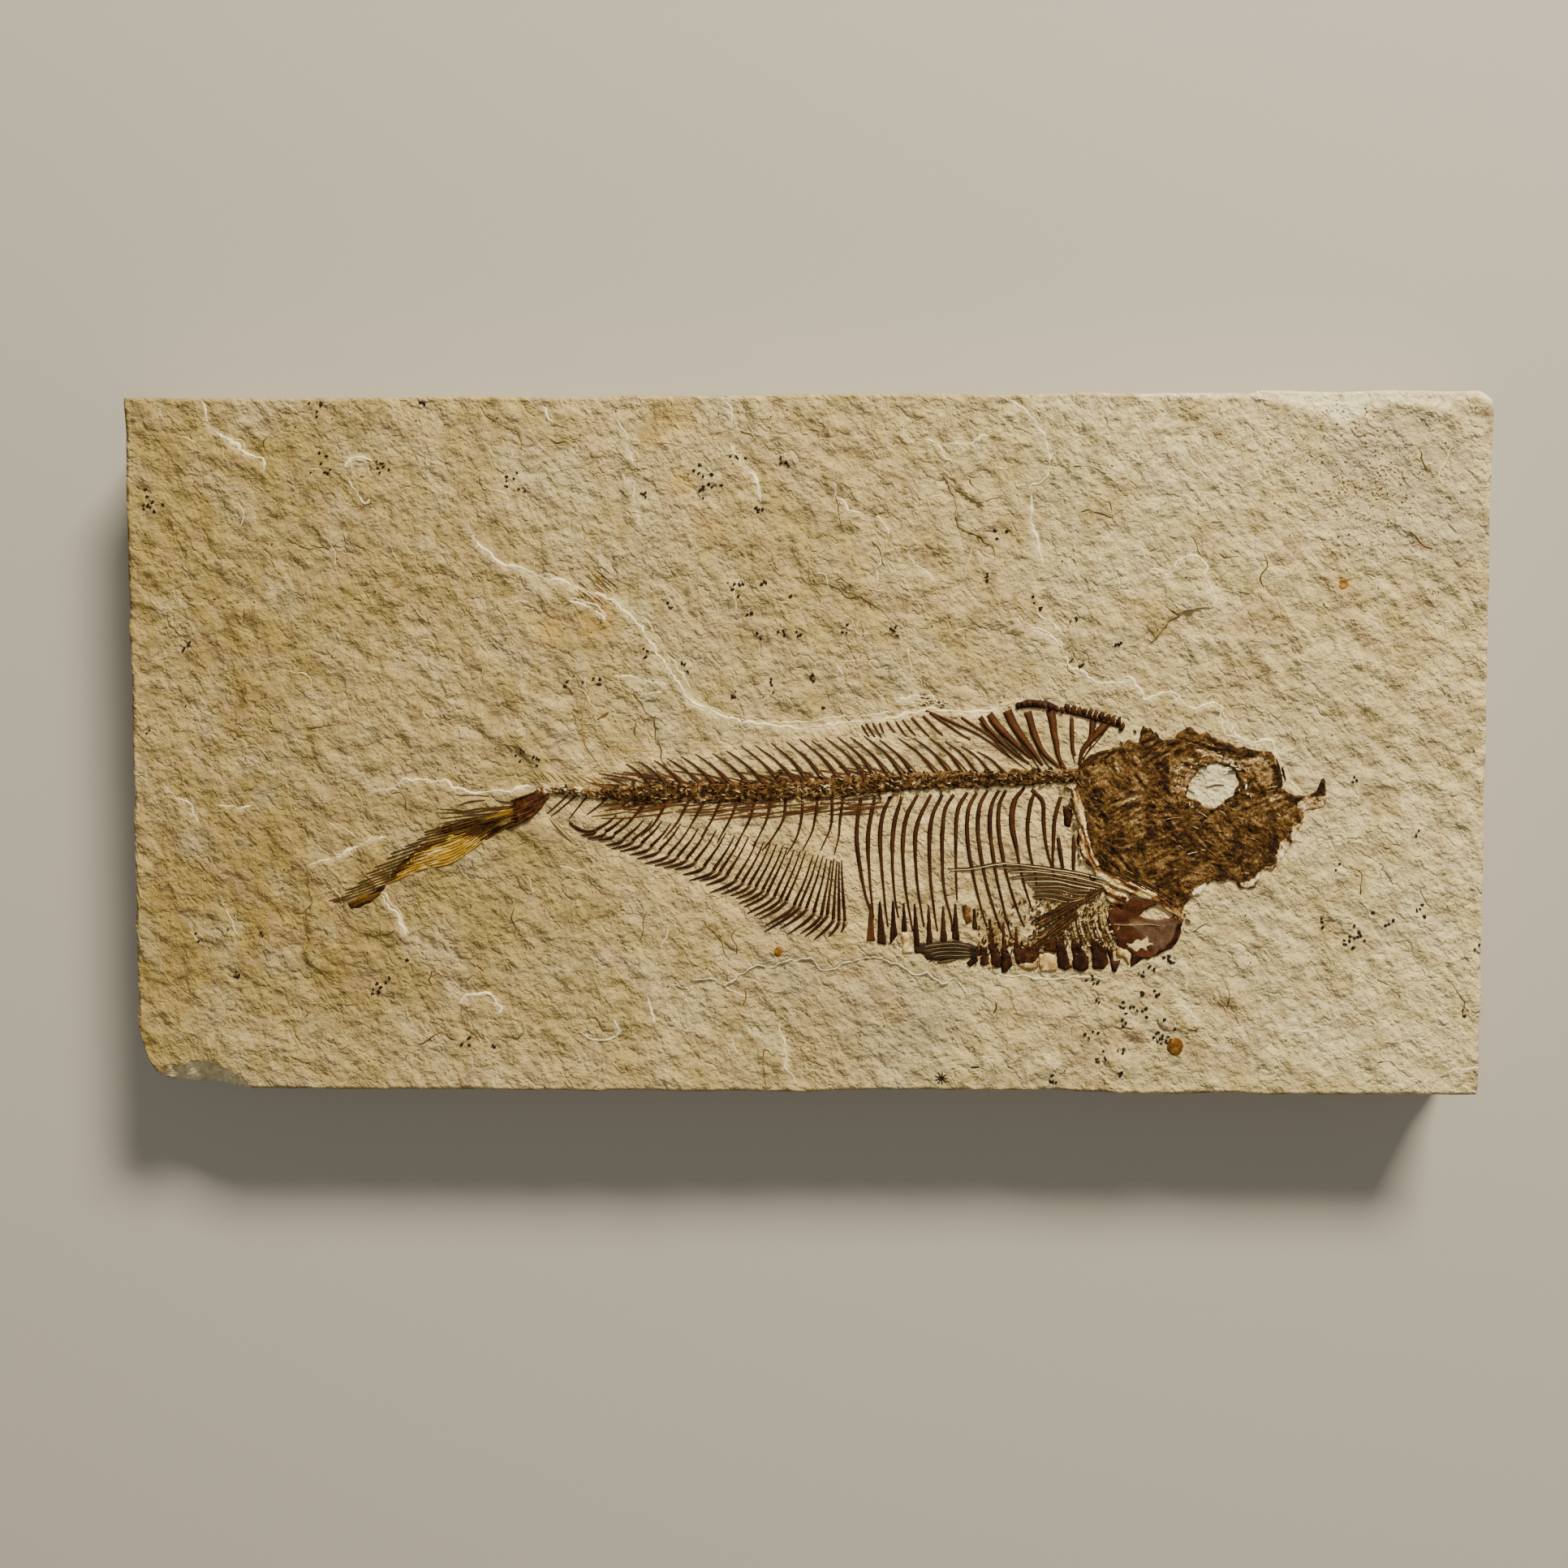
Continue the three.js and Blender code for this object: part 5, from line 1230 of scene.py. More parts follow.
# Each wedge of the belly's keel: tip, then the two corners of its foot, and tone
BELLY_WEDGES = [
    ((15.2, -34.8), (14.2, -43.1), (16.2, -43.2), 0.36), ((17.2, -34.2), (16.5, -43.8), (18.7, -44.1), 0.14),
    ((20.1, -34.2), (19.3, -44.3), (21.1, -41.8), 0.16), ((22.5, -34.7), (22, -41.1), (23.3, -41.1), 0.16),
    ((24.9, -34.9), (24.7, -44.4), (26.3, -44.5), 0.18), ((28, -35.2), (27.5, -44.2), (29, -43.7), 0.2),
    ((31.2, -35.3), (30.6, -43.7), (32.2, -43.3), 0.2), ((33.9, -34.8), (33.2, -42.8), (35, -43.1), 0.18),
    ((38.1, -35.8), (37.7, -40.4), (38.9, -40.8), 0.2), ((41.6, -38), (41.2, -45), (43, -45.4), 0.2),
    ((44.6, -39), (44.2, -45.6), (45.6, -45.8), 0.22), ((47.4, -40), (46.9, -45.4), (48.2, -45.2), 0.26),
]
BELLY_PLATES = [
    ([(22.1, -41.2), (23.4, -41.2), (24.7, -45.9), (22.1, -46.1)], 0.84),
    ([(35.4, -35.4), (36.3, -34.8), (37.6, -35.6), (37.2, -37), (37.8, -38.8), (36.4, -39.4),
      (35.6, -37.6)], 0.46),
    ([(36.4, -48.1), (37.7, -46.2), (38.9, -45.7), (39.1, -47.7), (37.2, -48.9)], 0.12),
    ([(39.3, -44.4), (41.1, -44.6), (41.7, -48.2), (39.6, -48.5)], 0.26),
    ([(41.5, -44.6), (43.6, -44.9), (44.3, -46.7), (44.1, -49.1), (42.1, -48.9)], 0.16),
    ([(44.1, -45.4), (46, -45.7), (46.6, -48.6), (45.5, -50.2), (44.1, -50.2)], 0.14),
    ([(46.7, -45.4), (47.8, -43.2), (48.7, -44.8), (50, -43.4), (51, -44.6), (52.2, -43.6), (52.6, -46),
      (51.4, -48.6), (49.6, -48), (47.8, -48.6)], 0.22),
    ([(52.3, -46.2), (54, -45.6), (56.4, -46.4), (56.6, -49.7), (52.6, -49.8)], 0.84),
    ([(53.4, -42), (56.2, -42.6), (56.4, -45.8), (53.6, -45.4)], 0.26),
    ([(56.2, -43.2), (57.4, -42.4), (58.8, -45.7), (59.7, -48.9), (58.4, -49.8), (56.6, -49)], 0.15),
    ([(59.7, -43.2), (61.3, -43.2), (63.6, -47.5), (63.4, -49.3), (61.8, -50.1), (59.9, -49.3)], 0.15),
    ([(63.9, -42), (65.5, -42.8), (67.3, -45), (68, -47.7), (66.8, -49.4), (64.3, -49.2)], 0.16),
    ([(67.1, -44), (68.7, -45), (69, -47.6), (70.7, -47.2), (69.6, -50.1), (68.7, -49.8),
      (68.3, -47.7)], 0.13),
    ([(69.5, -44), (71.2, -43.7), (72.9, -45.7), (72.4, -48.6), (71.2, -46.7), (69.5, -46.2)], 0.84),
    ([(73, -45), (76.3, -46.7), (72.8, -48.8)], 0.22),
    ([(47.2, -47.6), (48.6, -48.2), (50, -47.8), (52.4, -47.2), (52.2, -49.2), (50.4, -49.6),
      (48.4, -48.9)], 0.74),
]


def keel_tone(tone, number):
    """A tone with the streaks and blotches of one of the belly's plates."""
    return lambda x, y: (tone + 0.09 * noise(x / 0.5, y / 2.4, 1040 + number)
                         + 0.12 * fbm(x, y, 1070 + number, 2))


BELLY_CRUMBS = 260


def belly(material):
    plates = Gathered()
    for i, (tip, left, right, tone) in enumerate(BELLY_WEDGES):
        outline = [(tip[0] - 0.22, tip[1]), (tip[0] + 0.22, tip[1]), right, left]
        add_patch(plates, ragged(outline, 0.1, 1000 + i, 0.5), noisy(0.34, 0.1, 0.5, 3, 1050),
                  noisy(tone, 0.1, 0.35, 4, 1000 + i), 0.24)
    for i, (outline, tone) in enumerate(BELLY_PLATES):
        add_patch(plates, ragged(outline, 0.2, 1040 + i, 0.45), noisy(0.42, 0.1, 0.8, 2, 1060),
                  keel_tone(tone, i), 0.27)
    for i in range(BELLY_CRUMBS):  # crushed crumbs among the plates
        x = RNG.uniform(38, 69)
        y = RNG.uniform(-49, -42) if RNG.random() < 0.6 else RNG.uniform(-44, -34)
        add_flake(plates, x, y, RNG.uniform(0.5, 1.6), RNG.uniform(0.25, 0.6), RNG.normal(1.2, 0.6), 0.4,
                  float(RNG.choice([0.1, 0.2, 0.34, 0.5, 0.75])), 1100 + i, 6)
    piece = plates.build("belly_keel_plates", material)
    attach(piece, "root")
    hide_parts(*[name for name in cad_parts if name.startswith("belly_plate_")])


# Fins

def hip_fin(material):
    rays = Gathered()
    outline = [(24.7, -44.4), (26.8, -43.7), (30.7, -43.2), (34.2, -43), (37.7, -43.7), (39.1, -44.7),
               (39.6, -46.2), (38.9, -47.2), (36.7, -46.7), (34.2, -47.4), (31.7, -47.7), (27.8, -47.4),
               (26.8, -46.2), (24.9, -45.9)]
    add_patch(rays, ragged(outline, 0.2, 70, 0.5), level(0.28),
              noisy(0.2, 0.14, 3, 0.35, 71), 0.32)
    for i in range(8):
        y = -44.1 - 0.42 * i
        add_strand(rays, [(25.4 + 0.4 * i, y - 0.8), (30, y + 0.1), (35, y + 0.25), (39, -44.9 - 0.22 * i)],
                   [0.25, 0.4, 0.4, 0.25], 0.42, 0.12 if i % 2 else 0.46, 0.6, seed=1100 + i)
    add_strand(rays, [(30, -48), (32, -47.7), (34.4, -47.2)], [0.4, 0.7, 0.4], 0.35, 0.4, 0.5, seed=1110)
    piece = rays.build("hip_fin_rays", material)
    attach(piece, "root")
    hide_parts("hip_fin")


BREAST_RAYS = [
    [(32.2, -26.9), (36.7, -26.7), (42.6, -25.7), (46.5, -25.7), (51.5, -26.2), (56.4, -26.9),
     (61.3, -27.7), (66.8, -29.2)],
    [(43, -26.5), (47, -26.5), (52, -26.9), (57, -27.5), (61, -28.4), (66.6, -29.8)],
    [(45.5, -27.4), (50.5, -27.2), (55.4, -27.7), (60.3, -28.6), (66.3, -30.2)],
    [(46, -28.9), (48.5, -28.4), (54.4, -28.4), (59.4, -29.4), (65.6, -30.8)],
    [(49, -29.6), (55, -29.3), (60, -30.4), (65.2, -31.2)],
    [(50, -30.4), (51.5, -30.6), (56.4, -30.4), (61.3, -31.4), (65, -31.8)],
    [(51, -31.4), (55.4, -31.1), (60.3, -32.4), (64.5, -32.2)],
    [(51.5, -32.1), (54.9, -32.1), (59.4, -33.2), (64, -32.6)],
    [(51, -33.1), (54.4, -33.1), (58.4, -33.9), (63.4, -33)],
]


BREAST_CRUMBS = 420


def breast_fin(material):
    rays = Gathered()
    for i, line in enumerate(BREAST_RAYS):
        for k in range(2):
            shifted = [(x + 0.5 * k, y - 0.36 * k + 0.12 * noise(x / 5, k + 0.5, 1200)) for x, y in line]
            tone = [0.22, [0.8, 0.62][i % 2]][k] if i < 5 else [0.2, 0.6][k]
            add_strand(rays, shifted, [0.1, 0.26, 0.3, 0.34], 0.3, tone, 0.7, 0.1, 1200 + 5 * i + k, lift=0.2)
    for start, end, count, spread in [((66.6, -31), (51.5, -39.6), 7, 2.2),
                                      ((61, -36.6), (51.2, -44.3), 8, 2.8)]:
        for k in range(count):  # two dark leaning bundles
            shift = (k / (count - 1) - 0.5) * spread
            line = [(start[0] + 0.3 * shift, start[1] - 0.5 * shift),
                    ((start[0] + end[0]) / 2 + 0.35 * shift, (start[1] + end[1]) / 2 - 0.85 * shift),
                    (end[0] + 0.5 * shift + RNG.uniform(-0.8, 1.6), end[1] - shift + RNG.uniform(-0.3, 0.6))]
            add_strand(rays, line, [0.3, 0.42, 0.34], 0.36, [0.1, 0.34, 0.14, 0.26][k % 4], 0.6, 0.2,
                       1260 + k, lift=0.14)
    for k in range(15):  # loose rays that hang from the bundles, dark and pale in turn
        x0 = 55 + 0.9 * k
        add_strand(rays, [(x0 + 1.6, -36 - 0.1 * k), (x0 + 2.2, -40),
                          (x0 + 3.4 + 0.1 * k, -44.6)], [0.28, 0.42, 0.3], 0.3,
                   [0.14, 0.8, 0.3, 0.66][k % 4], 0.7, 0.15, 1280 + k)
    for k in range(BREAST_CRUMBS):
        x, y = RNG.uniform(51, 70), RNG.uniform(-45, -31)
        if y > -31 - (66 - x) * 0.2:
            continue
        add_flake(rays, x, y, RNG.uniform(0.5, 1.8), RNG.uniform(0.25, 0.6), RNG.normal(0.7, 0.6), 0.32,
                  float(RNG.choice([0.1, 0.2, 0.34, 0.52, 0.72, 0.9], p=[0.14, 0.22, 0.22, 0.2, 0.14, 0.08])),
                  2400 + k, 6)
    add_patch(rays, ragged([(51.8, -39.4), (53.6, -37), (55, -37.4), (53.4, -39.8)], 0.2, 75),
              level(0.3), noisy(0.55, 0.1, 1, 1, 76), 0.3)
    piece = rays.build("breast_fin_rays", material)
    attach(piece, "root")
    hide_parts("breast_fin")


FIN_JOINTS = [(-46, -18.5), (-44, -19), (-42, -19.5), (-40, -20.5), (-38, -21), (-36, -21.5), (-34, -22.3),
              (-32, -23), (-30, -24), (-28, -24.5), (-26, -25), (-24, -25.5), (-22, -26.6), (-20, -27.5),
              (-18.5, -27.8), (-17, -28.5), (-15, -29.5), (-13.5, -30.2), (-12, -30.8), (-10.5, -31.2),
              (-9, -31.8), (-8, -32.5), (-6.5, -33.3), (-5, -33.8), (-3.8, -34.3), (-2, -35.3),
              (-0.8, -35.5), (0.7, -36), (2.3, -37), (4, -37.5), (5.3, -37.5), (6.7, -38.5), (8, -38.8),
              (9.3, -38.8)]


def anal_fin(material):
    rays = Gathered()
    last = len(FIN_JOINTS) - 1
    for i, (x, y) in enumerate(FIN_JOINTS):
        t = i / last
        rise = np.interp(t, [0, 0.45, 0.8, 1], [3.2, 8.5, 11.6, 13.6])
        lean = np.interp(t, [0, 0.45, 0.8, 1], [4.6, 5, 4.3, -0.6])
        add_strand(rays, [(x + lean, y + rise), (x + lean * 0.62, y + rise * 0.55), (x + 0.15, y + 0.1)],
                   [0.32, 0.55, 0.85], 0.32, 0.16, 0.6, seed=1400 + i)
        long_ray = np.interp(t, [0, 0.3, 0.55, 0.8, 0.95, 1], [4.4, 6.6, 6.4, 9.6, 7.4, 3])
        angle = math.radians(np.interp(t, [0, 0.35, 0.5, 0.8, 0.95, 1], [200, 202, 208, 217, 228, 252]))
        long_ray *= 0.85 + 0.25 * float(noise(i * 1.7, 0.5, 1440))
        end = (x + long_ray * math.cos(angle), y + long_ray * math.sin(angle))
        droop = (x + long_ray * 0.4 * math.cos(angle) + 0.2, y + long_ray * 0.4 * math.sin(angle) - 0.4)
        add_strand(rays, [(x + 0.1, y), (x - 0.1, y - 0.5), droop, end], [0.6, 0.8, 0.55, 0.22], 0.34, 0.13,
                   0.5, seed=1450 + i)
        if t > 0.12:
            add_strand(rays, [(x + 0.65, y - 0.2), (droop[0] + 0.5, droop[1] + 0.1)], [0.35, 0.2], 0.22,
                       0.4, 0.6, seed=1500 + i)
    add_strand(rays, [(-52, -17), (-50, -18.3), (-48, -18.8),
                      (-46, -18.5)], [0.5, 0.9, 0.7, 0.5], 0.32, 0.14, 0.5,
               seed=1540)
    piece = rays.build("anal_fin_rays", material)
    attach(piece, "root")
    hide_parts("anal_fin")


TAIL_ROOT = [(-64.2, -12.4), (-63.2, -11.2), (-61.4, -10.8), (-58.9, -9.4), (-58.2, -10.1), (-57, -10.4),
             (-56.2, -11.6), (-57.4, -12.4), (-57.8, -13.9), (-59.6, -14.6), (-60.4, -15.9), (-62.4, -16.2),
             (-63.4, -16.9), (-63.6, -15.2), (-64.6, -14.2)]
# The tail's rays by their place across it, from the upper one (0) to the lower one (1)
RAY_SHARES = [0, 0.3, 0.5, 0.75, 1]
RAY_STATIONS = [  # x of each station, and y of the rays there
    (-63.2, (-13.4, -14.4, -15, -15.8, -16.5)),
    (-70.5, (-15.1, -16.8, -17.9, -19.3, -20.7)),
    (-78, (-16.9, -19.6, -21.4, -23.7, -26)),
    (-85.5, (-19.2, -21.6, -23.6, -26, -27.7)),
    (-93, (-22.3, -23.9, -26.4, -28.8, -31)),
    (-101, (-24.7, -26.2, -29.2, -31.7, -34)),
    (-109, (-27, -28.5, -31.6, -34.2, -36.2)),
]
RAY_ENDS = [-83, -92, -98.2, -104, -108.6]
TAIL_RAYS = 14
AMBER_AREA = [(-71.6, -21.6), (-72.5, -19.5), (-79, -19.6), (-80, -21.4), (-86, -23.2), (-89.5, -26.6),
              (-91.4, -30), (-88.6, -29), (-84, -27.2), (-79, -26.4), (-75, -24)]
TAIL_LOOSE = [
    ([(-63.6, -12.1), (-65, -12.4), (-68.5, -11.9)], 0.5),
    ([(-69.8, -11), (-72.4, -10.8), (-75.5, -10.8), (-77.1, -10.6)], 0.3),
    ([(-70.7, -11.9), (-73.8, -12.1), (-76.8, -13)], 0.45),
    ([(-64.1, -13.2), (-68.5, -13.5), (-72, -13.7), (-75.5, -14.3), (-78.2, -13.9), (-80.8, -13.9)], 0.45),
    ([(-64.1, -13.8), (-69.4, -14), (-73.8, -14.6), (-77.7, -14.6), (-81.7, -14.8)], 0.4),
    ([(-67.6, -14.6), (-73.8, -15.2), (-77.7, -15.7), (-80.8, -15.9)], 0.4),
    ([(-72, -15.7), (-76.4, -16.3), (-81.2, -17.2)], 0.4),
]
# Blocks of colour across the tail's rays: outline, tone
TAIL_BLOCKS = [
    (AMBER_AREA, 0.72),
    ([(-63.6, -14.6), (-66.7, -15.4), (-71.6, -17.6), (-71.6, -20.6), (-67.6, -18.9), (-63.2, -16.5)], 0.22),
    ([(-72, -16.4), (-80, -17.4), (-80.6, -19), (-76, -20.4), (-72, -20.6)], 0.33),
    ([(-64, -13.6), (-68, -14.4), (-67.6, -15.4), (-64, -14.8)], 0.64),
    ([(-81.2, -21.2), (-84.4, -21.2), (-87.8, -24.6), (-91.4, -27.4), (-92.2, -29.5), (-89.6, -28.8),
      (-85.6, -25.4), (-83.4, -23)], 0.29),
    ([(-93.3, -30.6), (-95.3, -32), (-98.4, -33.3), (-101.9, -35), (-101, -36.6), (-97.1, -34.9),
      (-94.4, -33.1)], 0.28),
]


def tail_tone(x, y):
    """Tail colours: grey-brown rays with blocks of black-brown, red-brown and amber across them."""
    tone = 0.36 + 0.08 * fbm(x / 3, y / 1.2, 1601, 2)
    tone = tone + 0.14 * smooth(-100, -108, x)
    for outline, value in TAIL_BLOCKS:
        wobble = 0.5 * noise(x / 0.8, y / 0.35, 1605)
        depth = depth_in(outline, x, y) + wobble
        tone = np.where(depth > 0, value + 0.05 * noise(x / 2, y / 0.4, 1606), tone)
    return tone


def root_fibres(x, y):
    """Fine fibres that run down to the left through the tail's root."""
    return noise((-0.5 * x + 0.87 * y) / 0.5, (0.87 * x + 0.5 * y) / 3, 1602)


def ray_tone(tone):
    """A tone with fine streaks along the tail's rays."""
    return lambda x, y: tone + 0.24 * noise((0.93 * x + 0.36 * y) / 4, (0.93 * y - 0.36 * x) / 0.34, 1604)


def tail_fin(material, root_material):
    root = Gathered()
    add_patch(root, ragged(TAIL_ROOT, 0.35, 80, 0.4), lambda x, y: 0.45 + 0.14 * root_fibres(x, y),
              lambda x, y: 0.3 + 0.2 * root_fibres(x, y), 0.25)
    for i in range(11):  # long bones of the fan that run on into the rays
        y0, y1 = -10 - 0.4 * i, -11.8 - 0.62 * i
        ends = RNG.uniform(-1.2, 0.8, 2)
        add_strand(root, [(-57.6 - 0.1 * i + 0.5 * ends[0], y0), (-61, (y0 + y1) / 2),
                          (-65.2 + ends[1], y1 - 0.3)],
                   [0.28, 0.46, 0.34], 0.56, [0.1, 0.34, 0.16, 0.26][i % 4], 0.5, 0.1, 1590 + i, lift=0.04)
    piece = root.build("tail_root_bone", root_material)
    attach(piece, "root")
    rays = Gathered()
    for i, (outline, tone) in enumerate(TAIL_BLOCKS):
        add_patch(rays, ragged(outline, 0.3, 81 + i, 0.4), noisy(0.16, 0.04, 1, 1, 1604), ray_tone(tone),
                  0.25)
    for i in range(TAIL_RAYS):
        share = (i + 0.5) / TAIL_RAYS
        line = curve_through([(x, np.interp(share, RAY_SHARES, ys)) for x, ys in RAY_STATIONS], 1.0)
        tip = np.interp(share, RAY_SHARES, RAY_ENDS) + RNG.uniform(-0.6, 2.6)
        line = line[line[:, 0] > tip]
        place = 0
        while place < len(line) - 3:  # each ray is a chain of short pieces
            size = int(RNG.integers(3, 9))
            part = line[place:min(place + size + 1, len(line))]
            centre = part.mean(0)
            tone = at(tail_tone, *centre) + RNG.uniform(-0.14, 0.02)
            thin = 0.7 if centre[0] < -92 else 1.0
            if len(part) > 2:
                add_strand(rays, part, [0.22 * thin, 0.3 * thin, 0.2 * thin], 0.3, tone, 0.6, 0.03,
                           1620 + 7 * i + place % 7, lift=0.04)
            place += size
        if 6 <= i <= 9:  # pale rock shows in slits between the rays
            pale = line[1:6 + i % 3] + np.array([0, -0.24])
            add_strand(rays, pale, [0.05, 0.11, 0.05], 0.4, 0.8, 0.6, 0.01, 1680 + i, lift=0.1)
    for i, (line, width) in enumerate(TAIL_LOOSE):
        add_strand(rays, line, [width * 0.7, width * 0.6, width * 0.3], 0.26, 0.3, 0.6, seed=1700 + i)
    for i in range(9):  # faint streaks above the root
        x = -60 + 1.7 * i
        add_strand(rays, [(x, -5.2 - 0.2 * i),
                          (x + 2.4, -8)], [0.15, 0.25, 0.12], 0.1, 0.5, 0.7, seed=1720 + i)
    piece = rays.build("tail_fin_rays", material)
    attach(piece, "root")
    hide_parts("tail_fin")


# Head and shoulder

SKULL = [(61, -4), (64, -1.5), (68.5, 0), (70, 0.5), (72, 1.5), (74, 1), (74.8, 4.5), (77, 3), (79.5, 1.8),
         (82, 2), (83, 3.5), (85, 4.5), (86, 3.5), (89, 2.8), (92, 1.5), (95, 0), (98, -0.3), (101, -0.8),
         (103.2, -1), (104, -3.5), (105.3, -5.5), (105.5, -9), (107, -10), (110, -10.7), (112.5, -10),
         (113.5, -8), (114.5, -7), (115, -9), (115, -13), (110.5, -14), (110.3, -16.5), (109.5, -17.5),
         (108.5, -20), (107.5, -21.5), (106.5, -23.5), (105, -25.5), (103.5, -27), (102, -27), (101, -28.5),
         (100, -31), (98.5, -31.2), (96.5, -31), (95.5, -29.8), (94, -29.5), (91, -29.8), (89.5, -30.5),
         (89, -32), (87, -33), (86, -33.5), (84.5, -35), (84, -37.5), (82, -36.5), (79.5, -35), (77, -33.5),
         (74, -32), (70, -29.5), (67, -27.5), (64.5, -26), (63, -24), (62.5, -21), (61.5, -17), (60.5, -13),
         (60, -10), (60.5, -7)]
EYE_SOCKET = [(87, -5), (88.8, -4.1), (91.5, -3.5), (94.5, -4.4), (96, -7.4), (95.1, -10.4), (92.7, -12.5),
              (89.7, -13.8), (87.9, -12.9), (86.4, -11.4), (84.3, -11), (85.2, -8.6), (86, -6.8)]
# Bones of the head that differ from the rest: outline, tone
HEAD_ZONES = [
    ([(70.7, -13.6), (75.5, -13.2), (75.7, -18), (74.6, -22.3), (71.4, -22), (70.6, -18)], 0.47),
    ([(63, -4), (68, -1), (74, -1), (77, -5), (76, -10), (73, -13), (68, -13), (63, -10)], 0.36),
    ([(80.7, -1.4), (86.4, -2.4), (86.2, -6.4), (84, -10.8), (86, -12.4), (83, -12.8), (80.4, -9)], 0.5),
    ([(95.5, -0.9), (103.6, -2), (104.4, -6), (102, -9.2), (98.6, -7), (96.4, -5)], 0.58),
    ([(89.8, -15.3), (92, -13.6), (95.5, -9.6), (99.4, -7), (100.7, -10.1), (100.3, -13.6), (97.2, -16.2),
      (93.7, -15.7)], 0.4),
    ([(87.6, -16), (91.2, -13.1), (93.7, -11), (98.1, -7.7), (98.2, -8.3), (94, -12), (91.2, -14.2),
      (88, -16.6)], 0.1),
    ([(85.5, 3.4), (90.3, 2.1), (97.2, -0.6), (101.6, -1.4), (102, -2.3), (96.3, -2.3), (90.3, -0.6),
      (86.8, 0.7), (82.4, 2.1), (83.3, 3.8)], 0.3),
    ([(86, 0), (90.3, -1.2), (96.3, -2.9), (102, -3), (101.6, -3.6), (95, -3.9), (89, -2.2), (86, -1)], 0.74),
    ([(104.8, -21), (106.2, -19.9), (108.6, -22.3), (107.8, -25.2), (106, -27.8), (104.2, -27.2)], 0.92),
    ([(108.2, -17), (111.4, -15.8), (111, -20.5), (108.6, -23.3), (107.4, -19.6)], 0.86),
    ([(96.5, -30.1), (98.1, -31.4), (100.7, -29.2), (103.3, -27.5), (104.2, -25.7), (102.4, -26.2),
      (100.7, -27.5), (99.4, -28.8)], 0.92),
    ([(85.9, -33.6), (89.4, -32), (90.7, -30.8), (95.5, -30.6), (96.3, -29.2), (93.7, -29.5), (90.3, -29.6),
      (86.4, -31.2)], 0.9),
    ([(103, -4), (104.6, -3.8), (105.5, -8), (105.2, -10.4), (103.8, -9.8)], 0.1),
    ([(64.6, -15), (68, -14.2), (70.9, -15.6), (70, -18), (66.6, -18.7), (64.4, -17)], 0.22),
    ([(73.5, -21.3), (75.6, -21), (75.4, -24.2), (73.7, -24)], 0.1),
    ([(79.2, -16), (81.2, -15.8), (81.9, -17.6), (80.6, -18.5), (79, -17.6)], 0.12),
    ([(102.4, -16), (104.4, -16.4), (104.2, -24.6), (102.6, -25.4)], 0.14),
    ([(105, -11), (108.6, -12.6), (108, -17), (105.6, -16)], 0.46),
    ([(109, -11.2), (112, -10.7), (115.2, -10.5), (115.4, -12.5), (113.5, -14.2), (110.5, -14.5),
      (109, -13)], 0.82),
    ([(111.8, -10.2), (112.6, -7.8), (114.6, -6.4), (115.6, -8.8), (114.8, -10.8)], 0.08),
    ([(105.6, -10), (109.6, -9.8), (110.4, -11.4), (107.6, -12.2)], 0.12),
    ([(96.6, -26.6), (99.2, -25.6), (100.6, -27.6), (98.4, -29.4), (96.6, -28.6)], 0.12),
]
HEAD_RIDGES = [
    ([(63, -6), (66, -14), (68, -22), (73, -28)], 0.5), ([(80, -4), (81, -14), (82.6, -24), (83, -32)], 0.3),
    ([(87.6, -16), (91.2, -13.1), (93.7, -11), (98.1, -7.7)], 0.6),
    ([(97, -16), (102.5, -20), (103, -24)], 0.3),
    ([(83, 2), (90, 0), (97, -1.8), (103, -2.6)], 0.6), ([(74, -12), (79, -20), (82, -30)], 0.3),
    ([(82.6, 1), (83, 3.4), (84.8, 3)], 0.5),
]
CRINKLES = [(-52, 1811), (-16, 1812), (24, 1813)]  # directions of the crushed bone's creases, in degrees


def crinkle(x, y, across_mm, along_mm):
    """Creases of crushed bone, whose direction changes from place to place."""
    total, weights = 0.0, 0.0
    for degrees, seed in CRINKLES:
        c, s = math.cos(math.radians(degrees)), math.sin(math.radians(degrees))
        along, across = x * c + y * s, y * c - x * s
        weight = smooth(-0.15, 0.35, noise(x / 6.5, y / 6.5, seed)) + 0.02
        total = total + weight * fbm(along / along_mm, across / across_mm, seed + 10, 2)
        weights = weights + weight
    return total / weights


def head_tone(x, y):
    """Tone of the crushed skull at each place."""
    tone = 0.285 + 0.1 * fbm(x / 4, y / 4, 1801, 2)
    for i, (outline, value) in enumerate(HEAD_ZONES):
        wobble = 0.35 * noise(x / 0.7, y / 0.7, 1830 + i)
        depth = depth_in(outline, x, y) + wobble
        tone = tone + smooth(-0.1, 0.15, depth) * 0.88 * (value - tone)
    cracks = smooth(0.07, 0.01, np.abs(fbm(x / 3.2, y / 3.2, 1805, 2)))
    return np.clip(tone + 0.28 * crinkle(x, y, 0.6, 2.2) - cracks * 0.16, 0.02, 0.98)


def head_height(x, y):
    h = 0.42 + 0.2 * crinkle(x, y, 0.6, 1.9) + 0.1 * fbm(x / 4.5, y / 4.5, 1807, 2)
    for line, rise in HEAD_RIDGES:
        who, dist, side, *_ = line_distance(line, x, y, 4)
        h[who] += rise * 0.55 * smooth(3.5, 0, dist) * np.where(side > 0, 1, 0.25)
    return np.clip(h, 0.12, 1.3)


def on_skull(x, y, margin):
    """Whether one place lies on the bone of the skull, at least margin in from its outline."""
    return at(lambda px, py: depth_in(SKULL, px, py), x, y) >= margin and not holds(EYE_SOCKET, x, y)


EYE_BITS = 90
SKULL_SLIVERS = 70
SKULL_FLAKES = 420


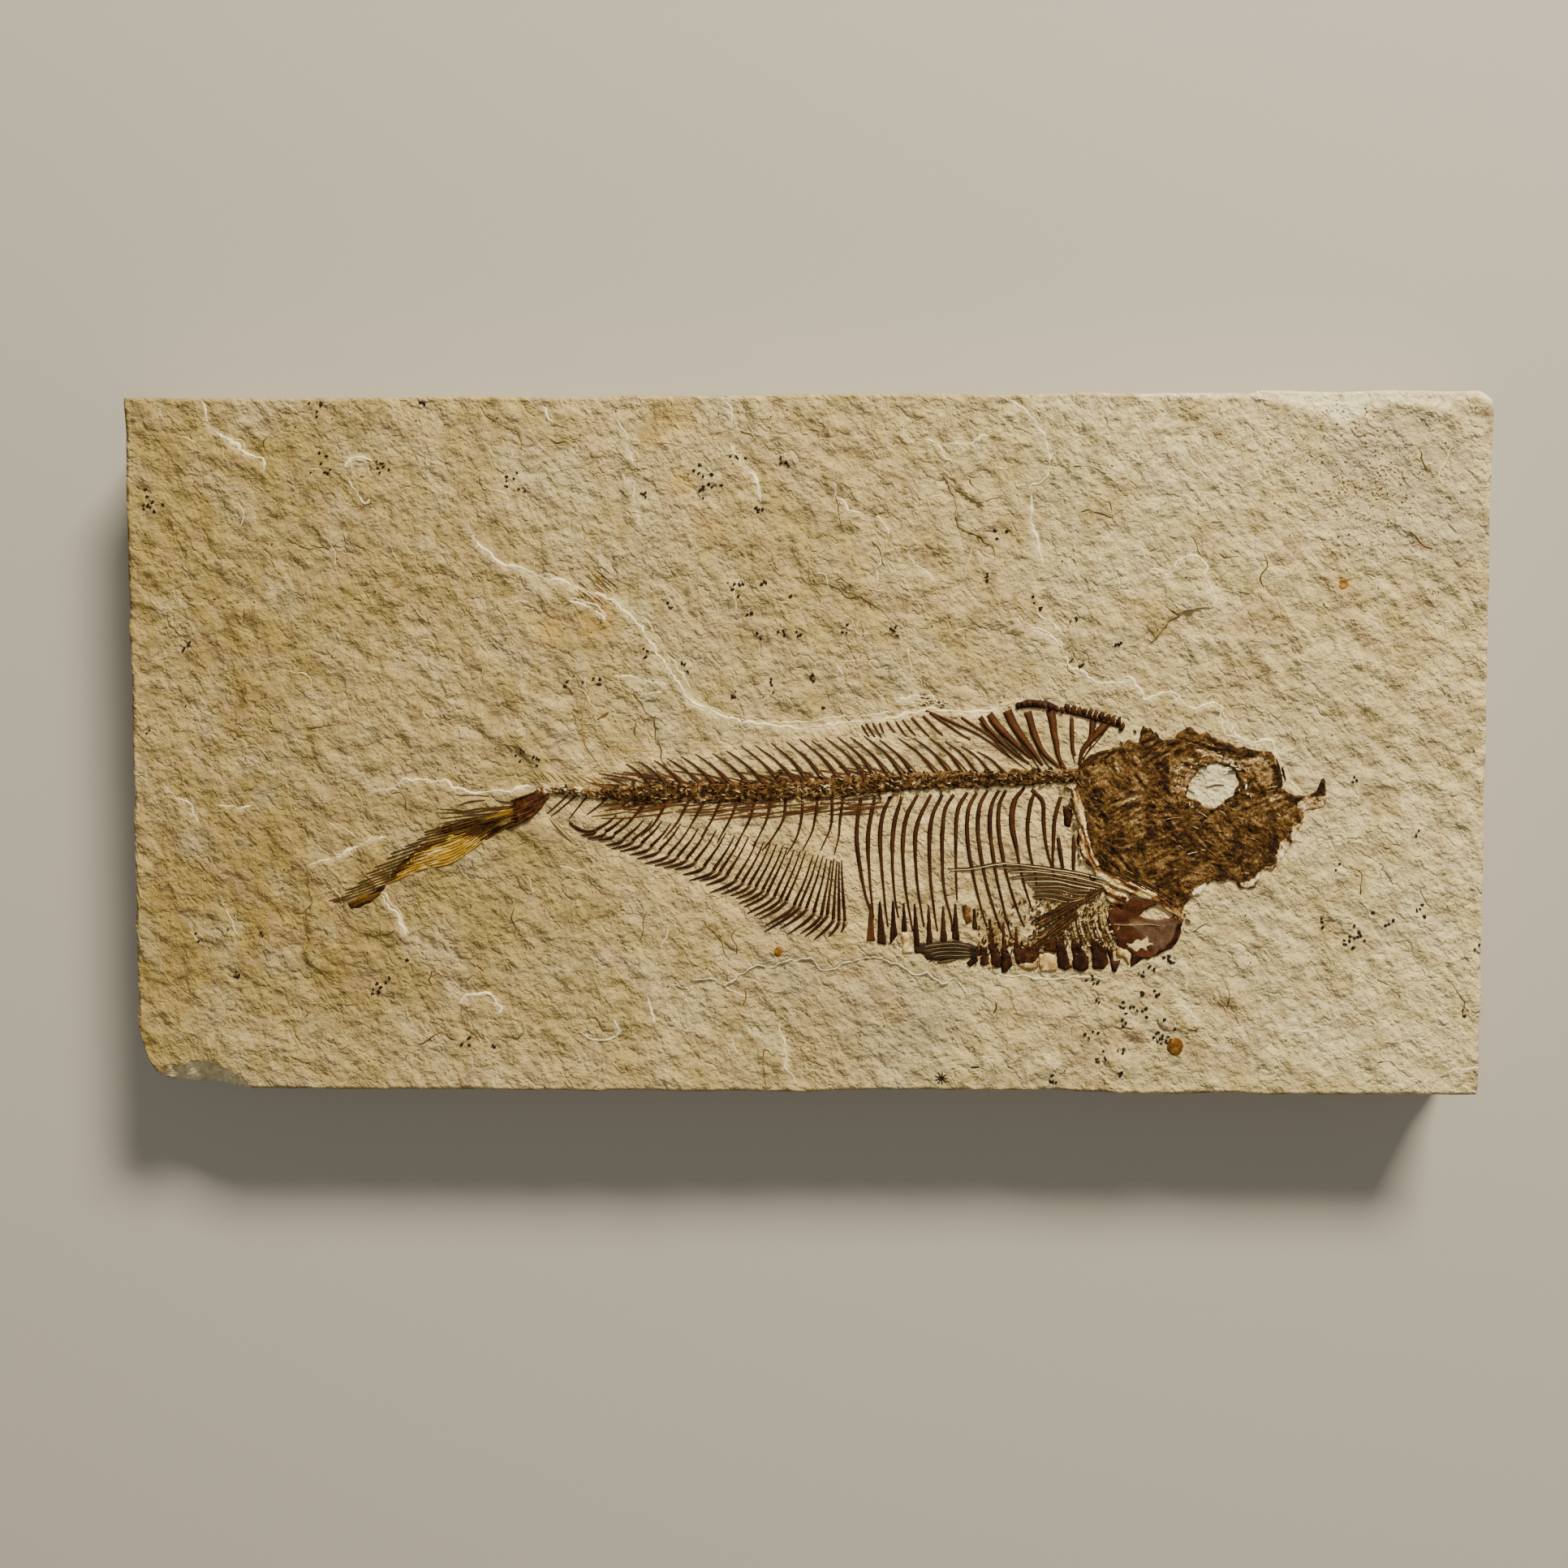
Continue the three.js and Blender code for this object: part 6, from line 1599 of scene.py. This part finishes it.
def skull(material):
    bones = Gathered()
    add_patch(bones, ragged(SKULL, 0.42, 85, 0.4), head_height, head_tone, 0.24,
              [ragged(EYE_SOCKET, 0.35, 86, 0.4)])
    for i in range(SKULL_FLAKES):
        x, y = RNG.uniform(61, 108), RNG.uniform(-34, 2)
        if not on_skull(x, y, 0.6):
            continue
        tone = float(np.clip(at(head_tone, x, y) + RNG.choice([-0.2, -0.12, -0.06, 0.1, 0.2]), 0.04, 0.97))
        lift = at(head_height, x, y) - 0.14
        add_flake(bones, x, y, RNG.uniform(0.6, 2.4), RNG.uniform(0.25, 0.7), RNG.uniform(-1.3, 0.5), 0.2,
                  tone, 3000 + i, 6, lift)
    for i in range(EYE_BITS):  # pale bits of thin bone round the eye
        angle = RNG.uniform(0, 2 * math.pi)
        x, y = 90.6 + RNG.uniform(5, 9.5) * math.cos(angle), -8.2 + RNG.uniform(4.4, 7.4) * math.sin(angle)
        if not on_skull(x, y, 0) or (y < -11 and x > 87):
            continue
        add_flake(bones, x, y, RNG.uniform(0.6, 2.0), RNG.uniform(0.25, 0.6),
                  angle + 1.57 + RNG.normal(0, 0.5), 0.22, float(RNG.choice([0.1, 0.6, 0.8, 0.92])),
                  3500 + i, 6, at(head_height, x, y) - 0.1)
    for i in range(SKULL_SLIVERS):  # slivers
        x, y = RNG.uniform(62, 106), RNG.uniform(-33, 1)
        if not on_skull(x, y, 2.2):
            continue
        angle, length = RNG.uniform(-1.2, 0.3), RNG.uniform(1.5, 4.2)
        step = (length / 2 * math.cos(angle), length / 2 * math.sin(angle))
        lift = at(head_height, x, y) - 0.12
        add_strand(bones, [(x - step[0], y - step[1]), (x + 0.1, y + 0.1), (x + step[0], y + step[1])],
                   [0.1, 0.22, 0.08], 0.2, RNG.choice([0.1, 0.16, 0.45, 0.7]), 0.5, 0.15, 3600 + i, lift=lift)
    for shift in (0, 0.7, 1.4, 2.1):  # long dark edges low on the gill cover
        line = [(64.6 + shift, -24.4 + shift), (70, -28.4 + shift), (77, -32 + shift * 0.8),
                (84, -35.8 + shift * 0.5)]
        add_strand(bones, line, [0.2, 0.5, 0.4, 0.2], 0.22, 0.1 if shift in (0, 1.4) else 0.34, 0.6, 0.3,
                   int(3700 + 10 * shift), lift=0.34)
    for i, (x, y) in enumerate([(75.4, 4), (76.8, 3.6), (78, 2.6), (73.2, 3.4), (70.2, 0.8)]):
        add_flake(bones, x, y, 2.6 if i < 3 else 1.3, 0.5, math.radians(-52), 0.4, 0.12, 3750 + i, 6)
    for i, line in enumerate([[(104.2, -2.6), (104.9, -5.5), (105, -9)], [(105.6, -4.4), (106.2, -7.4)],
                              [(102.6, -2.4), (103.4, -4.6)], [(98.6, -3.4), (100.6, -5.6)],
                              [(88.9, -8.9), (91, -8.3), (92.8, -8.4)]]):
        width = 0.6 if i < 4 else 0.26
        add_strand(bones, line, [width / 2, width, width / 2], 0.35 * width + 0.1, 0.12, 0.4, seed=3770 + i,
                   lift=0.1)
    piece = bones.build("skull_bones", material)
    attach(piece, "root")
    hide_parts("skull")


# The shoulder band lies in broken cream sheets
BAND_PATCHES = [
    [(59.2, -8.8), (60.9, -9.6), (62.3, -13.6), (63.1, -18.2), (61.9, -19), (60.4, -15.3), (59.4, -11.8)],
    [(61, -17.6), (62.9, -18.2), (64, -22.6), (66, -26.2), (64.2, -27.4), (61.8, -24.4), (60.7, -20.5)],
    [(64.8, -26.2), (69.4, -28.4), (73.9, -30.3), (78.4, -32.1), (84.4, -37.2), (84.4, -38.6),
     (83.1, -37.7), (77, -34.3), (72.7, -32.5), (68.3, -30.9), (64.2, -28)],
    [(66.3, -30.6), (69.4, -31.6), (72, -33), (71.6, -34.4), (70.7, -36.2), (69.6, -35), (68.5, -35.7),
     (67.2, -34)],
]
SHOULDER_PLATE = [(67.7, -36.3), (69.2, -35.3), (71.7, -34.3), (73.2, -33.1), (77.6, -33.8), (80.5, -35.4),
                  (83, -37.3), (84, -38.8), (83.8, -41.7), (82.1, -44.2), (79.1, -46.2), (76.6, -47.2),
                  (73.2, -46.2), (69.7, -44.7), (69.2, -41.7), (67.7, -38.8)]
PLATE_WINDOW = [(74.6, -37.4), (76.4, -35.6), (78.2, -35), (80.3, -35.6), (82.2, -37.4), (81, -38),
                (78.5, -38.3), (76, -38)]
STAR_PATCH = [(71.7, -43.7), (73.2, -43.3), (74.2, -42.5), (75.2, -42.8), (76.4, -41.7), (76.6, -43.2),
              (77.6, -43.7), (76.3, -44.2), (76.7, -45.4), (74.9, -44.5), (74, -45.5), (72.7, -44.7)]
PLATE_STRIP = [(69.2, -44.6), (71, -44.9), (72.4, -45.9), (72.8, -47.6), (70.6, -46.9), (69.2, -45.9)]
BAND_LINE = [(60, -9), (61.3, -14), (61.9, -18.5), (63.2, -23.5), (65.4, -27.2), (69.2, -29.8), (74, -31.8),
             (79.2, -34.6), (84.2, -38.2)]


def band_tone(x, y):
    """Cream sheets with dark brown lines between them, along the band."""
    tone = np.full(x.shape, 0.86)
    who, dist, side, along, *_ = line_distance(BAND_LINE, x, y, 6)
    across = dist * side
    layers = noise(across / 0.42, along / 3.4, 1931) + 0.6 * noise(across / 0.22, along / 1.6, 1932)
    tone[who] += 0.56 * layers * smooth(0.1, 0.5, np.abs(layers)) - 0.18
    return np.clip(tone + 0.14 * crinkle(x, y, 0.5, 1.6), 0.08, 0.96)


def shoulder_tone(x, y):
    """Red-brown on the left and grey-brown on the right, with cream patches and a pale ridge."""
    tone = 0.3 + 0.07 * fbm(x / 2, y / 2, 1901, 3)
    border = (x - 73.2) * 0.75 + (y + 39.4) * 0.5 + 0.9 * noise(x / 1.6, y / 1.6, 1905)
    grey = smooth(-0.8, 0.8, border) * smooth(-37.8, -38.6, y)
    tone = tone + grey * (0.5 + 0.05 * noise(x / 1.2, y / 1.2, 1906) - tone)
    for outline, value in [(STAR_PATCH, 0.86), (PLATE_STRIP, 0.86)]:
        depth = depth_in(outline, x, y)
        tone = tone + smooth(-0.12, 0.12, depth + 0.2 * noise(x / 0.5, y / 0.5, 1904)) * (value - tone)
    for line, half, value in [
            ([(69.2, -39.3), (75, -39.2), (80.1, -39.5)], 0.2, 0.6),
            ([(74, -34), (77, -35)], 0.8, 0.34), ([(83.4, -39.5), (82.2, -43.4), (78.6, -46)], 0.5, 0.1)]:
        who, dist, *_ = line_distance(line, x, y, half * 2)
        cover = smooth(half * 1.4, half * 0.5, dist + 0.3 * noise(x[who], y[who], 1902))
        tone[who] += cover * (value - tone[who])
    return np.clip(tone, 0.05, 0.95)


BAND_BITS = 70


def shoulder(cream, plate_material):
    band = Gathered()
    for i, outline in enumerate(BAND_PATCHES):
        add_patch(band, ragged(outline, 0.25, 1910 + i, 0.4),
                  lambda x, y: 0.58 + 0.16 * crinkle(x, y, 0.7, 2.4), band_tone, 0.24)
    for i in range(BAND_BITS):  # dark bits that stick to the band
        outline = BAND_PATCHES[i % 3]
        x, y = outline[i % len(outline)]
        add_flake(band, x + RNG.normal(0, 0.8), y + RNG.normal(0, 1.0), RNG.uniform(0.5, 1.6),
                  RNG.uniform(0.2, 0.45), RNG.uniform(-1.4, -0.4), 0.3,
                  float(RNG.choice([0.14, 0.3, 0.66])), 1950 + i, 6, 0.3)
    piece = band.build("shoulder_band_bone", cream)
    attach(piece, "root")
    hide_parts("shoulder_band")
    plate = Gathered()
    add_patch(plate, ragged(SHOULDER_PLATE, 0.34, 88, 0.45),
              lambda x, y: 0.4 + 0.12 * fbm(x / 2.5, y / 2.5, 1903, 2), shoulder_tone, 0.24, [PLATE_WINDOW])
    add_strand(plate, [(69.4, -39.4), (72, -39.5), (76, -39.3),
                       (80.1, -39.6)], [0.08, 0.2, 0.16, 0.08], 0.2, 0.7, 0.5,
               0.15, 1920, lift=0.36)
    piece = plate.build("shoulder_plate_bone", plate_material)
    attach(piece, "root")
    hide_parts("shoulder_plate")


# Specks, stains and crumbs on the rock

SPECK_PLACES = [(-144, 53.5), (-107, 75), (-106, 62.5), (-93, 62), (-84, 76.5), (-146.5, 4), (-137, 22.5),
                (-64, 58.5), (-53, 14), (-47, 15.5), (-62.5, -2), (-59.5, -2.5), (-21.5, 57.5), (-9, 51.7),
                (-34, 55.8), (-14.5, 63.5), (-4.5, 62.5), (-14, 36), (-15, 34.5), (-9, 35.7), (-3, 33),
                (-29, 30.5), (-12, 29.5), (-9, 25.5), (-5, 25.5), (9.5, 26), (-1, 24), (-7, 14),
                (-15.5, 10.5), (2, 14.5), (5, 8.5), (20, 26.5), (41, 37), (43, 47), (-35, 21.3),
                (-26.5, 18), (-95, -54), (-121, -42), (-128, -51), (-136, -43), (-88, -47.5), (-76, -67),
                (-69, -67), (64, -52), (66, -56), (71, -58), (73, -57.5), (75, -59), (71, -61.5), (75, -55),
                (79, -54.5), (64, -64.3), (71, -68), (66, -69), (71, -73), (55.5, -74.5), (80.5, -46.5),
                (82, -47.5), (78, -49.5), (75, -50), (122, -42), (124, -41), (120, -43.5), (115, -38.5),
                (118, -27), (129, -38.5), (136.5, -37), (121, -7), (135, -18.5), (146, -59), (148, -45),
                (60, 28.5), (62, 18), (70, 23), (51, 31), (80, -64), (79, -65.5), (81, -65)]
BIG_CLUSTERS = {(-144, 53.5): 9, (-106, 62.5): 8, (-64, 58.5): 7, (-47, 15.5): 6, (-21.5, 57.5): 14,
                (-95, -54): 7, (-93, 62): 7, (-107, 75): 5, (122, -42): 8, (80, -64): 9, (64, -52): 5,
                (-62.5, -2): 5}


LONE_SPECKS = 260


def specks(material):
    flakes = Gathered()
    n = 0
    for place in SPECK_PLACES:
        count = BIG_CLUSTERS.get(place, int(RNG.integers(2, 5)))
        spread = 0.3 + 0.13 * count
        for _ in range(count):
            x, y = place[0] + RNG.normal(0, spread), place[1] + RNG.normal(0, spread)
            y = min(y, HALF_WIDTH - 1.8)
            add_flake(flakes, x, y, RNG.uniform(0.6, 1.45), RNG.uniform(0.5, 1.0), RNG.uniform(0, 3.1), 0.14,
                      RNG.uniform(0.0, 0.18), 4000 + n, 6, 0.06)
            n += 1
    for _ in range(LONE_SPECKS):
        x, y = RNG.uniform(-148, 148), RNG.uniform(-75, 75)
        if holds(FISH_BODY, x, y):
            continue
        add_flake(flakes, x, y, RNG.uniform(0.3, 0.7), RNG.uniform(0.25, 0.42), RNG.uniform(0, 3.1), 0.12,
                  RNG.uniform(0.05, 0.4), 4000 + n, 5, 0.05)
        n += 1
    # thin marks: a radial cluster, squiggles, dashes and the faint brown arc beside the tail
    for k in range(9):
        angle = k * 0.7
        add_strand(flakes, [(31, -74), (31 + 1.5 * math.cos(angle), -74 + 1.5 * math.sin(angle))],
                   [0.4, 0.2], 0.08, 0.05, 0.4, seed=4500 + k)
    thin_marks = [
        ([(43, -56.5), (43.1, -58),
          (42.5, -59.5)], 0.35, 0.05), ([(-12.8, -54), (-12.6, -56), (-13.3, -58)], 0.35, 0.45),
        ([(-45.5, 6), (-43, 7.7)], 0.7, 0.4), ([(86.5, -41), (88.5, -39.5), (90, -39)], 0.3, 0.2),
        ([(-46.5, 15), (-48.3, 10), (-49, 5), (-48.5, 1), (-46, -3), (-43, -7)], 0.25, 0.55),
        ([(-42, -1.2), (-36, -0.8), (-31, -1.2)], 0.2, 0.6), ([(37.5, -71.5), (39.5, -71.5)], 0.6, 0.15),
        ([(-139, -30), (-144, -30.5), (-146, -33), (-142, -34.5)], 0.25, 0.6),
    ]
    for k, (line, width, tone) in enumerate(thin_marks):
        add_strand(flakes, line, [width * 0.6, width, width * 0.6], 0.07, tone, 0.6, seed=4600 + k)
    for k in range(26):  # the hatched rusty fragment above the ledge
        x, y = -47 + RNG.normal(0, 2.2), 37 + RNG.normal(0, 2.4)
        add_strand(flakes, [(x, y), (x + 1.2, y - 0.8), (x + 2.2, y - 1.8)], [0.15, 0.25, 0.15], 0.08,
                   RNG.choice([0.15, 0.3, 0.5]), 0.6, seed=4700 + k)
    for x, y, radius, tone in [(82.8, -66.6, 1.9, 0.44), (118, 35.5, 1.1, 0.52), (-5.5, -45.8, 1.0, 0.52)]:
        turns = [k * math.pi / 6 for k in range(12)]  # round brown scales
        outline = [(x + radius * math.cos(turn), y + 1.1 * radius * math.sin(turn)) for turn in turns]
        add_patch(flakes, ragged(outline, 0.25, 4800 + radius, 0.4), level(0.1),
                  lambda x, y: tone + 0.12 * fbm(x / 0.8, y / 0.8, 4810, 2), 0.25)
    for k in range(30):  # cream bone bits on the crest over the back
        x, y = RNG.uniform(24.5, 32), 10.2 - 0.25 * abs(RNG.normal(0, 2)) + RNG.normal(0, 0.5)
        add_flake(flakes, x, y, RNG.uniform(0.5, 1.5), RNG.uniform(0.3, 0.6), RNG.uniform(-0.8, 0.2), 0.18,
                  RNG.choice([0.2, 0.82, 0.9, 0.75]), 4900 + k, 6)
    for k in range(8):
        add_flake(flakes, RNG.uniform(43.5, 46.5), RNG.uniform(8.8, 10.2), 1.1, 0.6, RNG.uniform(0, 1), 0.2,
                  0.82, 4950 + k, 6)
    piece = flakes.build("rock_specks", material)
    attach(piece, "root")


CORNER_CRUMBS = 260


def grains(material):
    """Light crumbs of rock near the chipped corner, and a raised straight sliver under the tail's root with a
    painted shadow line beside it.
    """
    crumbs = Gathered()
    for k in range(CORNER_CRUMBS):
        x, y = 121 + RNG.normal(0, 9), 59 + RNG.normal(0, 8)
        if x > 147 or y > 74 or x < 100:
            continue
        add_flake(crumbs, x, y, RNG.uniform(0.3, 1.0), RNG.uniform(0.3, 0.8), RNG.uniform(0, 3),
                  RNG.uniform(0.1, 0.3), RNG.uniform(0.5, 0.9), 5000 + k, 6)
    add_strand(crumbs, [(-56.6, -15.6),
                        (-50.5, -21.9)], [0.4, 0.9, 0.7], 0.3, 0.5, 0.6, seed=5300, smooth_line=False)
    # A near-black strand beside the sliver: its painted shadow.
    add_strand(crumbs, [(-56.1, -15.7),
                        (-50, -22)], [0.12, 0.24, 0.2], 0.3, 0.06, 0.6, seed=5301, smooth_line=False)
    piece = crumbs.build("rock_crumbs_sliver_and_shadow", material)
    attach(piece, "root")


# Stage, camera and light

def floor():
    bpy.ops.mesh.primitive_plane_add(size=4, location=(0, 0, -0.0002))
    plane = bpy.context.object
    plane.name = "floor"
    look = Look("floor")
    look.shader.inputs["Base Color"].default_value = (0.43, 0.4, 0.33, 1)
    look.shader.inputs["Roughness"].default_value = 0.85
    plane.data.materials.append(look.material)


FOCAL_PX = 1874.0  # from the plate's four corners in the 1932 px photograph
IMAGE_PX = 1932.0
CAMERA_MM = (3.63, 9.95, 336.33)  # above the middle of the face
CAMERA_VIEW = (-0.02298, -0.05395, -0.99828)
CAMERA_UP = (-0.00094, 0.99854, -0.05395)


def camera():
    data = bpy.data.cameras.new("camera")
    data.sensor_width = 36
    data.lens = FOCAL_PX / IMAGE_PX * data.sensor_width
    data.clip_start = 0.01
    made = bpy.data.objects.new("camera", data)
    bpy.context.scene.collection.objects.link(made)
    back = -Vector(CAMERA_VIEW).normalized()
    up = Vector(CAMERA_UP)
    right = up.cross(back).normalized()
    up = back.cross(right)
    turn = Matrix((right, up, back)).transposed().to_4x4()
    x, y, z = CAMERA_MM
    place = Vector((x, y, z + BED + 0.3)) * MM
    made.matrix_world = Matrix.Translation(place) @ turn
    bpy.context.scene.camera = made


def area_light(name, place, target, size, power, colour):
    data = bpy.data.lights.new(name, "AREA")
    data.shape = "RECTANGLE"
    data.size, data.size_y = size
    data.energy = power
    data.color = colour
    made = bpy.data.objects.new(name, data)
    made.location = place
    made.rotation_euler = (Vector(target) - Vector(place)).to_track_quat("-Z", "Y").to_euler()
    bpy.context.scene.collection.objects.link(made)


def lights():
    area_light("key", (0.5, 1.22, 0.74), (0, 0, 0), (0.56, 0.26), 59, (1.0, 0.93, 0.79))
    area_light("fill", (-0.1, -0.3, 1.0), (0, 0, 0), (0.9, 0.9), 1.5, (1.0, 0.97, 0.93))
    world = bpy.data.worlds.new("studio")
    world.use_nodes = True
    world.node_tree.nodes["Background"].inputs["Color"].default_value = (1.0, 0.97, 0.92, 1)
    world.node_tree.nodes["Background"].inputs["Strength"].default_value = 0.23
    bpy.context.scene.world = world


camera()
limestone = limestone_material()
edges = bone_material("limestone_edge", EDGE_STOPS, 0.05, 0.8, 0.85, 0.25)
brown = bone_material("bone_brown", OLIVE_STOPS, 0.13, bump_mm=0.3, shards=0.2)
russet = bone_material("bone_brown_plate", RUSSET_STOPS, 0.1, shards=0.12)
dark = bone_material("bone_dark", RUSSET_STOPS, 0.08)
cream = bone_material("bone_cream", RUSSET_STOPS, 0.1, crackle=-0.1)
amber = bone_material("bone_amber", AMBER_STOPS, 0.1)
fin = bone_material("bone_fin", OLIVE_STOPS, 0.12)
black = bone_material("bone_black", BLACK_STOPS, 0.1)
mineral = bone_material("rock_speck", SPECK_STOPS, 0.06)
limestone_plate(limestone)
ledge_rims_lit_and_shaded(edges)
backbone(brown, dark)
ribs(dark)
nape(dark)
keel(dark)
belly(dark)
hip_fin(black)
breast_fin(fin)
anal_fin(dark)
tail_fin(amber, russet)
skull(bone_material("bone_head", HEAD_STOPS, 0.19, roughness=0.72, bump_mm=0.3, crackle=0.18))
shoulder(cream, bone_material("bone_plate", PLATE_STOPS, 0.1, roughness=0.7))
specks(mineral)
grains(edges)
floor()
lights()
